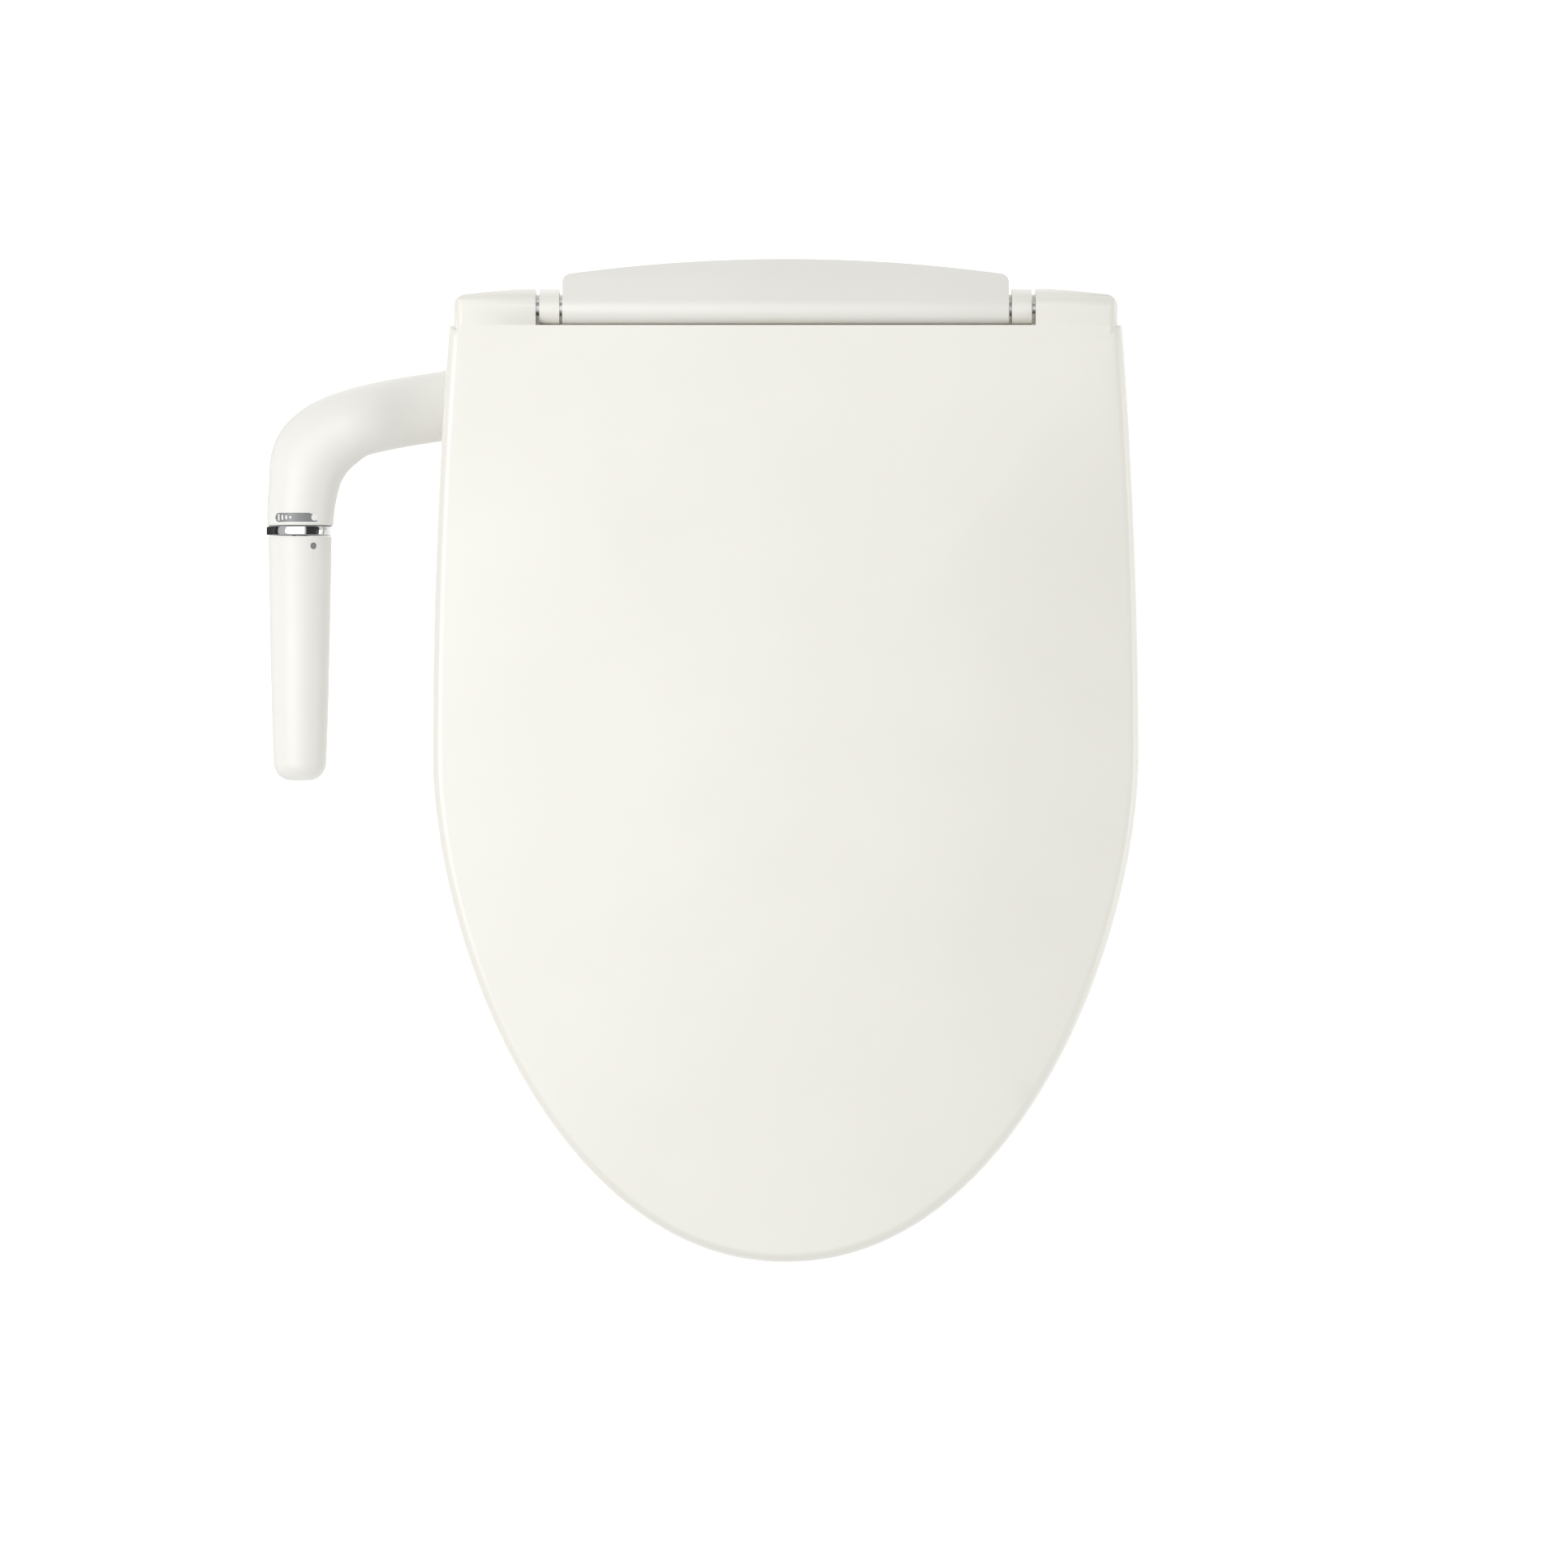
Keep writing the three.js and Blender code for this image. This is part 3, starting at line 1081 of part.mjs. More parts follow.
// Radius at a distance from the grip's top, easing from the arm's size to a slimmer end.
const gripRadius = (distance) => {
  const t = distance / GRIP_LENGTH;
  return ARM_END_R - GRIP_STEP - GRIP_TAPER * t - GRIP_END_TAPER * t ** 4;
};
const gripSide = (wall) =>
  [0, 0.3, 0.6, 0.84].map((t) => [
    gripRadius(t * GRIP_LENGTH) - wall,
    GRIP_TOP_Y - t * GRIP_LENGTH,
  ]);
const gripNose = (wall) => {
  const start = GRIP_LENGTH - GRIP_END_R;
  const r = gripRadius(start) - wall;
  return [0, 30, 60, 90].map((degrees) => {
    const angle = THREE.MathUtils.degToRad(degrees);
    return [
      r - (GRIP_END_R - wall) * (1 - Math.cos(angle)),
      GRIP_TOP_Y - start - (GRIP_END_R - wall) * Math.sin(angle),
    ];
  });
};
const outerProfile = [...gripSide(0), ...gripNose(0)];
const innerProfile = [...gripSide(GRIP_WALL), ...gripNose(GRIP_WALL)];
const INDEX_DOWN = 5.2; // grip's top to the index dot
const INDEX_Y = GRIP_TOP_Y - INDEX_DOWN;
const INDEX_R = 1.5;
function indexPin(radius, r0, r1) {
  const pin = rod(radius, "z", r0, r1, 0, 0, 8);
  return pin.rotate([0, MARK_ANGLE, 0]).translate([GRIP_X, INDEX_Y, ARM_END_Z]);
}
const dotOuter = gripRadius(INDEX_DOWN) + 0.1;
const sleeve = cut(
  turnedY(
    [
      ...innerProfile,
      [0, innerProfile.at(-1)[1]],
      [0, GRIP_END_Y],
      ...outerProfile.slice().reverse(),
    ],
    GRIP_X, ARM_END_Z, 20,
  ),
  indexPin(INDEX_R + GAP, dotOuter - 1.2, dotOuter + 3),
);
piece("grip_sleeve", sleeve, warmWhite());
piece("index_dot", indexPin(INDEX_R, dotOuter - 0.9, dotOuter), greyPlastic());
const CORE_DOWN = 8; // grip's top to its core
const CORE_LENGTH = 30;
const coreTop = GRIP_TOP_Y - CORE_DOWN;
const coreRadius = (distance) => gripRadius(distance) - GRIP_WALL - 0.4;
const core = cut(
  turnedY(
    [
      [0, coreTop],
      [coreRadius(CORE_DOWN), coreTop],
      [coreRadius(CORE_DOWN + CORE_LENGTH), coreTop - CORE_LENGTH],
      [0, coreTop - CORE_LENGTH],
    ],
    GRIP_X, ARM_END_Z, 16,
  ),
  aroundGrip(STEM_R + GAP, -FAR, FAR),
);
piece("grip_core", core, greyPlastic());
piece("valve_stem", aroundGrip(STEM_R, coreTop - CORE_LENGTH + 3, ARM_END_Y + 10), steel());

export default group;
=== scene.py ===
"""Studio model of a slim bidet seat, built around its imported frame.

Shapes are worked out in millimetres and written to Blender in metres. +X is the right of the seat
seen from above with its front towards the viewer, +Y is the rear and +Z is up from the bowl's deck.
"""

import json
import logging
import math
from dataclasses import dataclass, field
from enum import Enum
from typing import Callable, Iterable, Sequence

import bmesh
import bpy
from mathutils import Matrix, Vector


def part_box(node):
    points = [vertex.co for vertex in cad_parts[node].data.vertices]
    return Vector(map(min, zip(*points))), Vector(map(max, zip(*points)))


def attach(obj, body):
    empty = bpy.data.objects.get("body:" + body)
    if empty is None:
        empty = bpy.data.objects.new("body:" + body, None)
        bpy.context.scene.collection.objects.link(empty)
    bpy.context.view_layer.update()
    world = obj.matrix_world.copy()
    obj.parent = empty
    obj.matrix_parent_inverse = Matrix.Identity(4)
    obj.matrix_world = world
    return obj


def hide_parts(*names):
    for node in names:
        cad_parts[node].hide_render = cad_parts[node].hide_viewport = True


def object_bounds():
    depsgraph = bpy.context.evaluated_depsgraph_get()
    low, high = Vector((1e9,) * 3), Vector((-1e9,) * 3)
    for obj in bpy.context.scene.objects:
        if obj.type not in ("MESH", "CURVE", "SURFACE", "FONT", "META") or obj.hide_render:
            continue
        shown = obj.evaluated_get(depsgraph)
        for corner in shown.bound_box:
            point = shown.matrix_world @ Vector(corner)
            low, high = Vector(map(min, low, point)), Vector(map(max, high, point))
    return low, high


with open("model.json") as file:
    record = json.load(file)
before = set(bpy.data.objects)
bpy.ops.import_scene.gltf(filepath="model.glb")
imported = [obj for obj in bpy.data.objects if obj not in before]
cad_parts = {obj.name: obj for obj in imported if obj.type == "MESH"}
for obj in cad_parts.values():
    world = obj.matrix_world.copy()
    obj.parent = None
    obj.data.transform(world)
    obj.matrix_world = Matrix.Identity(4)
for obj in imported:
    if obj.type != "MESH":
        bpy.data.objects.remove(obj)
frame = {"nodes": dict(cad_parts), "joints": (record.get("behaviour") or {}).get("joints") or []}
CAD_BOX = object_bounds()

LOG = logging.getLogger("bidet_seat")
MM = 0.001
SMOOTH_ANGLE = 32.0  # degrees; sharper turns stay crisp
MOULDED_ANGLE = 40.0  # the same, for pieces with rounded edges
CLEARANCE = 0.3  # between pieces that touch

Point2 = tuple[float, float]
Ring = list[Vector]


class Axis(Enum):
    """The direction that a solid is drawn out along."""

    X = "x"
    Y = "y"
    Z = "z"


class Side(Enum):
    """The left or the right of the seat, as the sign of X."""

    LEFT = -1
    RIGHT = 1

    @property
    def label(self) -> str:
        """The side as a piece's name ends."""
        return self.name.lower()


# ---- Measuring the frame ----


@dataclass(frozen=True)
class NodeBox:
    """A frame node's lowest and highest corners, in millimetres."""

    low: Vector
    high: Vector

    @classmethod
    def of(cls, node: str) -> "NodeBox":
        """Reads a node's box.

        Args:
            node: The frame node's name.

        Returns:
            The node's box at rest.
        """
        low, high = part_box(node)
        return cls(low / MM, high / MM)

    @property
    def centre(self) -> Vector:
        """The middle of the box."""
        return (self.low + self.high) / 2

    @property
    def size(self) -> Vector:
        """The box's three sides."""
        return self.high - self.low


def joint_point(name: str) -> Vector:
    """Finds where a joint's axis passes.

    Args:
        name: The joint's name.

    Returns:
        The joint's point, in millimetres.
    """
    joint = next(row for row in frame["joints"] if row["name"] == name)
    return Vector(joint["pos_m"]) / MM


HINGE = joint_point("lid_hinge")
LID_BOX = NodeBox.of("lid")
COVER_BOX = NodeBox.of("housing_cover")
BASE_BOX = NodeBox.of("housing_base")
GRIP_AXIS = joint_point("grip_twist")


# ---- Outlines ----


def arc(cx: float, cy: float, radius: float, start: float, end: float, steps: int) -> list[Point2]:
    """Samples an arc.

    Args:
        cx: Centre, first coordinate.
        cy: Centre, second coordinate.
        radius: The arc's radius.
        start: First angle, in degrees.
        end: Last angle, in degrees.
        steps: How many chords.

    Returns:
        The arc's points, both ends included.
    """
    angles = (math.radians(start + (end - start) * i / steps) for i in range(steps + 1))
    return [(cx + radius * math.cos(a), cy + radius * math.sin(a)) for a in angles]


def rounded_rectangle(
    x0: float, x1: float, y0: float, y1: float, radius: float, steps: int = 8
) -> list[Point2]:
    """Outlines a rectangle with round corners.

    Args:
        x0: Left side.
        x1: Right side.
        y0: Lower side.
        y1: Upper side.
        radius: Corner radius.
        steps: Chords in each corner.

    Returns:
        The outline, anticlockwise.
    """
    return [
        *arc(x1 - radius, y1 - radius, radius, 0, 90, steps),
        *arc(x0 + radius, y1 - radius, radius, 90, 180, steps),
        *arc(x0 + radius, y0 + radius, radius, 180, 270, steps),
        *arc(x1 - radius, y0 + radius, radius, 270, 360, steps),
    ]


def smoothstep(value: float, low: float, high: float) -> float:
    """Eases from 0 at low to 1 at high."""
    t = min(1.0, max(0.0, (value - low) / (high - low)))
    return t * t * (3 - 2 * t)


def mix(a: float, b: float, t: float) -> float:
    """Blends from a to b."""
    return a + (b - a) * t


def signed_power(value: float, exponent: float) -> float:
    """Raises the size of a value to a power and keeps its sign."""
    return math.copysign(abs(value) ** exponent, value)


@dataclass(frozen=True)
class SeatOutline:
    """The plan outline that the lid and the ring share."""

    half_width: float = LID_BOX.high.x
    tip_y: float = LID_BOX.low.y
    widest_y: float = HINGE.y - 237.0
    rear_y: float = HINGE.y - 9.3
    rear_taper: float = 9.0
    front_steps: int = 44
    side_steps: int = 22
    rear_steps: int = 40

    @property
    def corner_x(self) -> float:
        """Half the width at the rear edge."""
        return self.half_width - self.rear_taper

    def points(self) -> list[Point2]:
        """Samples the outline, anticlockwise from the tip.

        Returns:
            The closed outline's points.
        """
        right: list[Point2] = []
        for i in range(self.front_steps):
            t = 1 - (i / self.front_steps) ** 2
            x = self.half_width * max(0.0, 1 - t**1.7) ** 0.48
            right.append((x, mix(self.widest_y, self.tip_y, t)))
        for i in range(self.side_steps + 1):
            s = i / self.side_steps
            right.append((self.half_width - self.rear_taper * s**2, mix(self.widest_y, self.rear_y, s)))
        rear = [
            (self.corner_x * (1 - 2 * i / self.rear_steps), self.rear_y)
            for i in range(1, self.rear_steps)
        ]
        left = [(-x, y) for x, y in reversed(right[1:])]
        return [*right, *rear, *left]

    def inset(self, distance: float) -> list[Point2]:
        """Moves the outline inwards.

        Args:
            distance: How far each edge moves in.

        Returns:
            The moved outline.
        """
        points = self.points()
        moved = []
        for i, (x, y) in enumerate(points):
            before, after = Vector(points[i - 1]), Vector(points[(i + 1) % len(points)])
            here = Vector((x, y))
            n1 = Vector((before.y - here.y, here.x - before.x)).normalized()
            n2 = Vector((here.y - after.y, after.x - here.x)).normalized()
            miter = (n1 + n2).normalized()
            moved.append(tuple(here + miter * (distance / miter.dot(n2))))
        return moved

    def shrunk(self, points: Sequence[Point2], k: float) -> list[Point2]:
        """Scales an outline about the seat's middle."""
        return [(x * k, self.widest_y + (y - self.widest_y) * k) for x, y in points]


def ring_at(points: Sequence[Point2], height: float | Callable[[float], float]) -> Ring:
    """Lifts a plan outline to a height.

    Args:
        points: The outline.
        height: One height, or a function of Y.

    Returns:
        The ring's points.
    """
    return [Vector((x, y, height(y) if callable(height) else height)) for x, y in points]


# ---- Solids ----


class Solid:
    """A closed mesh being shaped, in millimetres."""

    def __init__(self, mesh: bpy.types.Mesh) -> None:
        """Keeps the mesh."""
        self.mesh = mesh

    @classmethod
    def from_faces(cls, points: Sequence[Vector], faces: Sequence[Sequence[int]]) -> "Solid":
        """Makes a solid whose faces are turned outwards.

        Args:
            points: The corners.
            faces: Corner numbers of each face.

        Returns:
            The solid.
        """
        mesh = bpy.data.meshes.new("solid")
        mesh.from_pydata([tuple(p) for p in points], [], [list(f) for f in faces])
        work = bmesh.new()
        work.from_mesh(mesh)
        bmesh.ops.remove_doubles(work, verts=work.verts, dist=2e-4)
        bmesh.ops.recalc_face_normals(work, faces=work.faces)
        work.to_mesh(mesh)
        work.free()
        return cls(mesh)

    @classmethod
    def of_node(cls, node: str, planar: float = 0.3) -> "Solid":
        """Merges a copy of a frame node's loose triangles.

        Args:
            node: The frame node.
            planar: Neighbouring faces that turn by less than this many degrees become one.

        Returns:
            The solid, in millimetres.
        """
        source = frame["nodes"][node]
        bpy.context.view_layer.update()
        work = bmesh.new()
        work.from_mesh(source.data)
        work.transform(Matrix.Scale(1 / MM, 4) @ source.matrix_world)
        bmesh.ops.remove_doubles(work, verts=work.verts, dist=1e-3)
        bmesh.ops.dissolve_limit(
            work, angle_limit=math.radians(planar), verts=work.verts, edges=work.edges
        )
        mesh = bpy.data.meshes.new(node)
        work.to_mesh(mesh)
        work.free()
        return cls(mesh)

    @classmethod
    def loft(cls, rings: Sequence[Ring]) -> "Solid":
        """Skins rings of equal count and closes both ends.

        Args:
            rings: The rings in order.

        Returns:
            The solid.
        """
        count = len(rings[0])
        points = [p for ring in rings for p in ring]
        faces: list[tuple[int, ...]] = []
        for r in range(len(rings) - 1):
            for i in range(count):
                j = (i + 1) % count
                faces.append((r * count + i, r * count + j, (r + 1) * count + j, (r + 1) * count + i))
        last = (len(rings) - 1) * count
        for ring in (rings[0], rings[-1]):
            points.append(sum(ring, Vector()) / count)
        for i in range(count):
            j = (i + 1) % count
            faces.append((len(points) - 2, j, i))
            faces.append((len(points) - 1, last + i, last + j))
        return cls.from_faces(points, faces)

    @classmethod
    def prism(cls, outline: Sequence[Point2], axis: Axis, start: float, end: float) -> "Solid":
        """Draws an outline out along an axis.

        Args:
            outline: Points in (y, z) for X, (x, z) for Y and (x, y) for Z.
            axis: The direction.
            start: Where it starts.
            end: Where it ends.

        Returns:
            The solid.
        """
        place = {
            Axis.X: lambda u, v, w: Vector((w, u, v)),
            Axis.Y: lambda u, v, w: Vector((u, w, v)),
            Axis.Z: lambda u, v, w: Vector((u, v, w)),
        }[axis]
        count = len(outline)
        points = [place(u, v, w) for w in (start, end) for u, v in outline]
        faces: list[tuple[int, ...]] = [tuple(range(count)), tuple(range(count, 2 * count))]
        faces += [(i, (i + 1) % count, count + (i + 1) % count, count + i) for i in range(count)]
        return cls.from_faces(points, faces)

    @classmethod
    def rod(
        cls,
        radius: float,
        axis: Axis,
        start: float,
        end: float,
        centre: Point2,
        sides: int = 48,
    ) -> "Solid":
        """Makes a round bar.

        Args:
            radius: The bar's radius.
            axis: Its direction.
            start: Where it starts.
            end: Where it ends.
            centre: Its centre on the other two axes, in x, y, z order.
            sides: How many sides.

        Returns:
            The solid.
        """
        outline = arc(centre[0], centre[1], radius, 0, 360, sides)[:-1]
        return cls.prism(outline, axis, start, end)

    @classmethod
    def box(cls, low: Sequence[float], high: Sequence[float]) -> "Solid":
        """Makes a box from its two corners."""
        outline = [(low[0], low[1]), (high[0], low[1]), (high[0], high[1]), (low[0], high[1])]
        return cls.prism(outline, Axis.Z, low[2], high[2])

    @classmethod
    def turned(
        cls, profile: Sequence[Point2], axis: Axis, centre: Point2, sides: int = 64
    ) -> "Solid":
        """Turns a profile about an axis.

        Args:
            profile: Points of (radius, height along the axis), closed on the axis or on itself.
            axis: The axis' direction.
            centre: Where the axis passes on the other two, in x, y, z order.
            sides: How many sides.

        Returns:
            The solid.
        """
        place = {
            Axis.X: lambda a, b, w: Vector((w, centre[0] + a, centre[1] + b)),
            Axis.Y: lambda a, b, w: Vector((centre[0] + a, w, centre[1] + b)),
            Axis.Z: lambda a, b, w: Vector((centre[0] + a, centre[1] + b, w)),
        }[axis]
        turns = [2 * math.pi * i / sides for i in range(sides)]
        points = [place(r * math.cos(t), r * math.sin(t), w) for t in turns for r, w in profile]
        count = len(profile)
        faces = []
        for s in range(sides):
            here, there = s * count, (s + 1) % sides * count
            for i in range(count):
                j = (i + 1) % count
                if profile[i][0] < 1e-6 and profile[j][0] < 1e-6:
                    continue
                faces.append((here + i, here + j, there + j, there + i))
        return cls.from_faces(points, faces)

    def _combined(self, other: "Solid", operation: str) -> "Solid":
        """Runs one boolean operation."""
        objects = [bpy.data.objects.new("work", s.mesh) for s in (self, other)]
        for item in objects:
            bpy.context.scene.collection.objects.link(item)
        modifier = objects[0].modifiers.new("boolean", "BOOLEAN")
        modifier.operation, modifier.object, modifier.solver = operation, objects[1], "MANIFOLD"
        mesh = baked(objects[0])
        for item in objects:
            bpy.data.objects.remove(item)
        return Solid(mesh)

    def join(self, *others: "Solid") -> "Solid":
        """Joins other solids on."""
        result = self
        for other in others:
            result = result._combined(other, "UNION")
        return result

    def cut(self, *tools: "Solid") -> "Solid":
        """Cuts tools away."""
        result = self
        for tool in tools:
            result = result._combined(tool, "DIFFERENCE")
        return result

    def common(self, other: "Solid") -> "Solid":
        """Keeps what lies in both."""
        return self._combined(other, "INTERSECT")

    def moved(self, matrix: Matrix) -> "Solid":
        """Places a copy by a matrix and keeps its faces outwards."""
        mesh = self.mesh.copy()
        mesh.transform(matrix)
        if matrix.determinant() < 0:
            mesh.flip_normals()
        return Solid(mesh)

    def mirrored(self, side: Side) -> "Solid":
        """A solid drawn for the right, put on the side asked for."""
        return self if side is Side.RIGHT else self.moved(Matrix.Scale(-1, 4, Vector((1, 0, 0))))

    def bevelled(self, width: float, segments: int = 3, angle: float = 40.0) -> "Solid":
        """Rounds the sharp edges.

        Args:
            width: The rounding's width.
            segments: How many faces across it.
            angle: Edges that turn by less than this many degrees are left.

        Returns:
            The rounded solid.
        """
        item = bpy.data.objects.new("work", self.mesh)
        bpy.context.scene.collection.objects.link(item)
        weld = item.modifiers.new("planar", "DECIMATE")
        weld.decimate_type, weld.angle_limit = "DISSOLVE", math.radians(0.05)
        bevel = item.modifiers.new("bevel", "BEVEL")
        bevel.width, bevel.segments, bevel.angle_limit = width, segments, math.radians(angle)
        bevel.limit_method, bevel.use_clamp_overlap = "ANGLE", True
        bevel.miter_outer = "MITER_ARC"
        mesh = baked(item)
        bpy.data.objects.remove(item)
        return Solid(mesh)

    def cleaned(self, weld: float = 0.004) -> "Solid":
        """Welds near-equal corners, drops faces without area and keeps only the largest part."""
        work = bmesh.new()
        work.from_mesh(self.mesh)
        bmesh.ops.remove_doubles(work, verts=work.verts, dist=weld)
        bmesh.ops.dissolve_degenerate(work, dist=weld, edges=work.edges)
        parts: list[set[bmesh.types.BMVert]] = []
        waiting = set(work.verts)
        while waiting:
            stack = [waiting.pop()]
            part = set(stack)
            while stack:
                for edge in stack.pop().link_edges:
                    fresh = [v for v in edge.verts if v not in part]
                    part.update(fresh)
                    stack.extend(fresh)
            waiting -= part
            parts.append(part)
        largest = max(parts, key=len)
        stray = [v for v in work.verts if v not in largest]
        bmesh.ops.delete(work, geom=stray, context="VERTS")
        bmesh.ops.holes_fill(work, edges=[e for e in work.edges if e.is_boundary])
        work.to_mesh(self.mesh)
        work.free()
        return self

    def piece(
        self, name: str, material: bpy.types.Material, smooth_angle: float = SMOOTH_ANGLE
    ) -> bpy.types.Object:
        """Makes the finished object, in metres.

        Args:
            name: The piece's name.
            material: Its finish.
            smooth_angle: Edges that turn by more than this many degrees stay sharp.

        Returns:
            The object, at the origin.
        """
        self.mesh.transform(Matrix.Scale(MM, 4))
        shade(self.mesh, smooth_angle)
        self.mesh.name = name
        self.mesh.materials.clear()
        self.mesh.materials.append(material)
        item = bpy.data.objects.new(name, self.mesh)
        bpy.context.scene.collection.objects.link(item)
        return item


def baked(item: bpy.types.Object) -> bpy.types.Mesh:
    """Turns an object's evaluated shape into a plain mesh.

    Args:
        item: An object with live modifiers.

    Returns:
        The mesh.
    """
    bpy.context.view_layer.update()
    graph = bpy.context.evaluated_depsgraph_get()
    return bpy.data.meshes.new_from_object(item.evaluated_get(graph))


def shade(mesh: bpy.types.Mesh, smooth_angle: float) -> None:
    """Shades smoothly, and keeps edges sharp past an angle in degrees."""
    work = bmesh.new()
    work.from_mesh(mesh)
    limit = math.radians(smooth_angle)
    for face in work.faces:
        face.smooth = True
    for edge in work.edges:
        edge.smooth = edge.calc_face_angle(0.0) < limit
    work.to_mesh(mesh)
    work.free()


# ---- Node trees ----


class TreeMaker:
    """Builds a node tree with named sockets."""

    def __init__(self, name: str, kind: str) -> None:
        """Starts an empty tree with its input and output nodes."""
        self.tree = bpy.data.node_groups.new(name, kind)
        self.inputs = self.tree.nodes.new("NodeGroupInput")
        self.outputs = self.tree.nodes.new("NodeGroupOutput")

    def takes(self, name: str, kind: str, default: object = None) -> None:
        """Adds a named input."""
        socket = self.tree.interface.new_socket(name, in_out="INPUT", socket_type=kind)
        if default is not None:
            socket.default_value = default

    def gives(self, name: str, kind: str) -> None:
        """Adds a named output."""
        self.tree.interface.new_socket(name, in_out="OUTPUT", socket_type=kind)

    def add(
        self, kind: str, settings: dict[str, object] | None = None, **sockets: object
    ) -> bpy.types.Node:
        """Adds a node.

        Args:
            kind: The node's type.
            settings: Its properties.
            **sockets: Values or linked sockets, by the input's name with _ for spaces, or
                in_N for input number N.

        Returns:
            The node.
        """
        node = self.tree.nodes.new(kind)
        for key, value in (settings or {}).items():
            setattr(node, key, value)
        for key, value in sockets.items():
            socket = (
                node.inputs[int(key[3:])] if key.startswith("in_") else node.inputs[
                    key.replace("_", " ")
                ]
            )
            if isinstance(value, bpy.types.NodeSocket):
                self.tree.links.new(value, socket)
            else:
                socket.default_value = value
        return node

    def input(self, name: str) -> bpy.types.NodeSocket:
        """The socket of a named input."""
        return self.inputs.outputs[name]

    def output(self, name: str, socket: bpy.types.NodeSocket) -> None:
        """Links a socket to a named output."""
        self.tree.links.new(socket, self.outputs.inputs[name])


# ---- Finishes ----


class SurfaceEffects:
    """Shader node groups that several finishes share."""

    def __init__(self) -> None:
        """Builds each group once."""
        self.tone_drift = self._tone_drift()
        self.value_drift = self._value_drift()
        self.fine_grain = self._fine_grain()
        self.brush_lines = self._brush_lines()

    @staticmethod
    def _noise(maker: TreeMaker, scale: bpy.types.NodeSocket | float, detail: float) -> bpy.types.Node:
        """Adds noise on object coordinates."""
        place = maker.add("ShaderNodeTexCoord")
        return maker.add(
            "ShaderNodeTexNoise", Vector=place.outputs["Object"], Scale=scale, Detail=detail,
            Roughness=0.55
        )

    def _tone_drift(self) -> bpy.types.NodeTree:
        """A colour that drifts between two close tones."""
        maker = TreeMaker("tone_drift", "ShaderNodeTree")
        maker.takes("Light Tone", "NodeSocketColor", (0.9, 0.9, 0.88, 1))
        maker.takes("Deep Tone", "NodeSocketColor", (0.85, 0.85, 0.83, 1))
        maker.takes("Scale", "NodeSocketFloat", 9.0)
        maker.gives("Color", "NodeSocketColor")
        noise = self._noise(maker, maker.input("Scale"), 3.0)
        ramp = maker.add(
            "ShaderNodeMapRange", in_0=noise.outputs["Fac"], From_Min=0.32, From_Max=0.68
        )
        blend = maker.add(
            "ShaderNodeMix", {"data_type": "RGBA"},
            in_0=ramp.outputs[0], in_6=maker.input("Light Tone"), in_7=maker.input("Deep Tone"),
        )
        maker.output("Color", blend.outputs[2])
        return maker.tree

    def _value_drift(self) -> bpy.types.NodeTree:
        """A number that drifts between two limits, such as a roughness."""
        maker = TreeMaker("value_drift", "ShaderNodeTree")
        maker.takes("Low", "NodeSocketFloat", 0.25)
        maker.takes("High", "NodeSocketFloat", 0.35)
        maker.takes("Scale", "NodeSocketFloat", 30.0)
        maker.gives("Value", "NodeSocketFloat")
        noise = self._noise(maker, maker.input("Scale"), 5.0)
        ramp = maker.add(
            "ShaderNodeMapRange", in_0=noise.outputs["Fac"], From_Min=0.3, From_Max=0.7,
            To_Min=maker.input("Low"), To_Max=maker.input("High"),
        )
        maker.output("Value", ramp.outputs[0])
        return maker.tree

    def _fine_grain(self) -> bpy.types.NodeTree:
        """A height of fine spark texture over a long, faint ripple."""
        maker = TreeMaker("fine_grain", "ShaderNodeTree")
        maker.takes("Grain Scale", "NodeSocketFloat", 2500.0)
        maker.takes("Ripple Scale", "NodeSocketFloat", 14.0)
        maker.takes("Ripple Share", "NodeSocketFloat", 0.5)
        maker.gives("Height", "NodeSocketFloat")
        grain = self._noise(maker, maker.input("Grain Scale"), 2.0)
        ripple = self._noise(maker, maker.input("Ripple Scale"), 1.0)
        blend = maker.add(
            "ShaderNodeMix", {"data_type": "FLOAT"},
            in_0=maker.input("Ripple Share"), in_2=grain.outputs["Fac"], in_3=ripple.outputs["Fac"],
        )
        maker.output("Height", blend.outputs[0])
        return maker.tree

    def _brush_lines(self) -> bpy.types.NodeTree:
        """A height of fine lines that run along X."""
        maker = TreeMaker("brush_lines", "ShaderNodeTree")
        maker.takes("Scale", "NodeSocketFloat", 900.0)
        maker.gives("Height", "NodeSocketFloat")
        place = maker.add("ShaderNodeTexCoord")
        stretch = maker.add(
            "ShaderNodeMapping", Vector=place.outputs["Object"], Scale=(0.04, 1.0, 1.0)
        )
        noise = maker.add(
            "ShaderNodeTexNoise", Vector=stretch.outputs[0], Scale=maker.input("Scale"), Detail=3.0
        )
        maker.output("Height", noise.outputs["Fac"])
        return maker.tree


Colour = tuple[float, float, float]


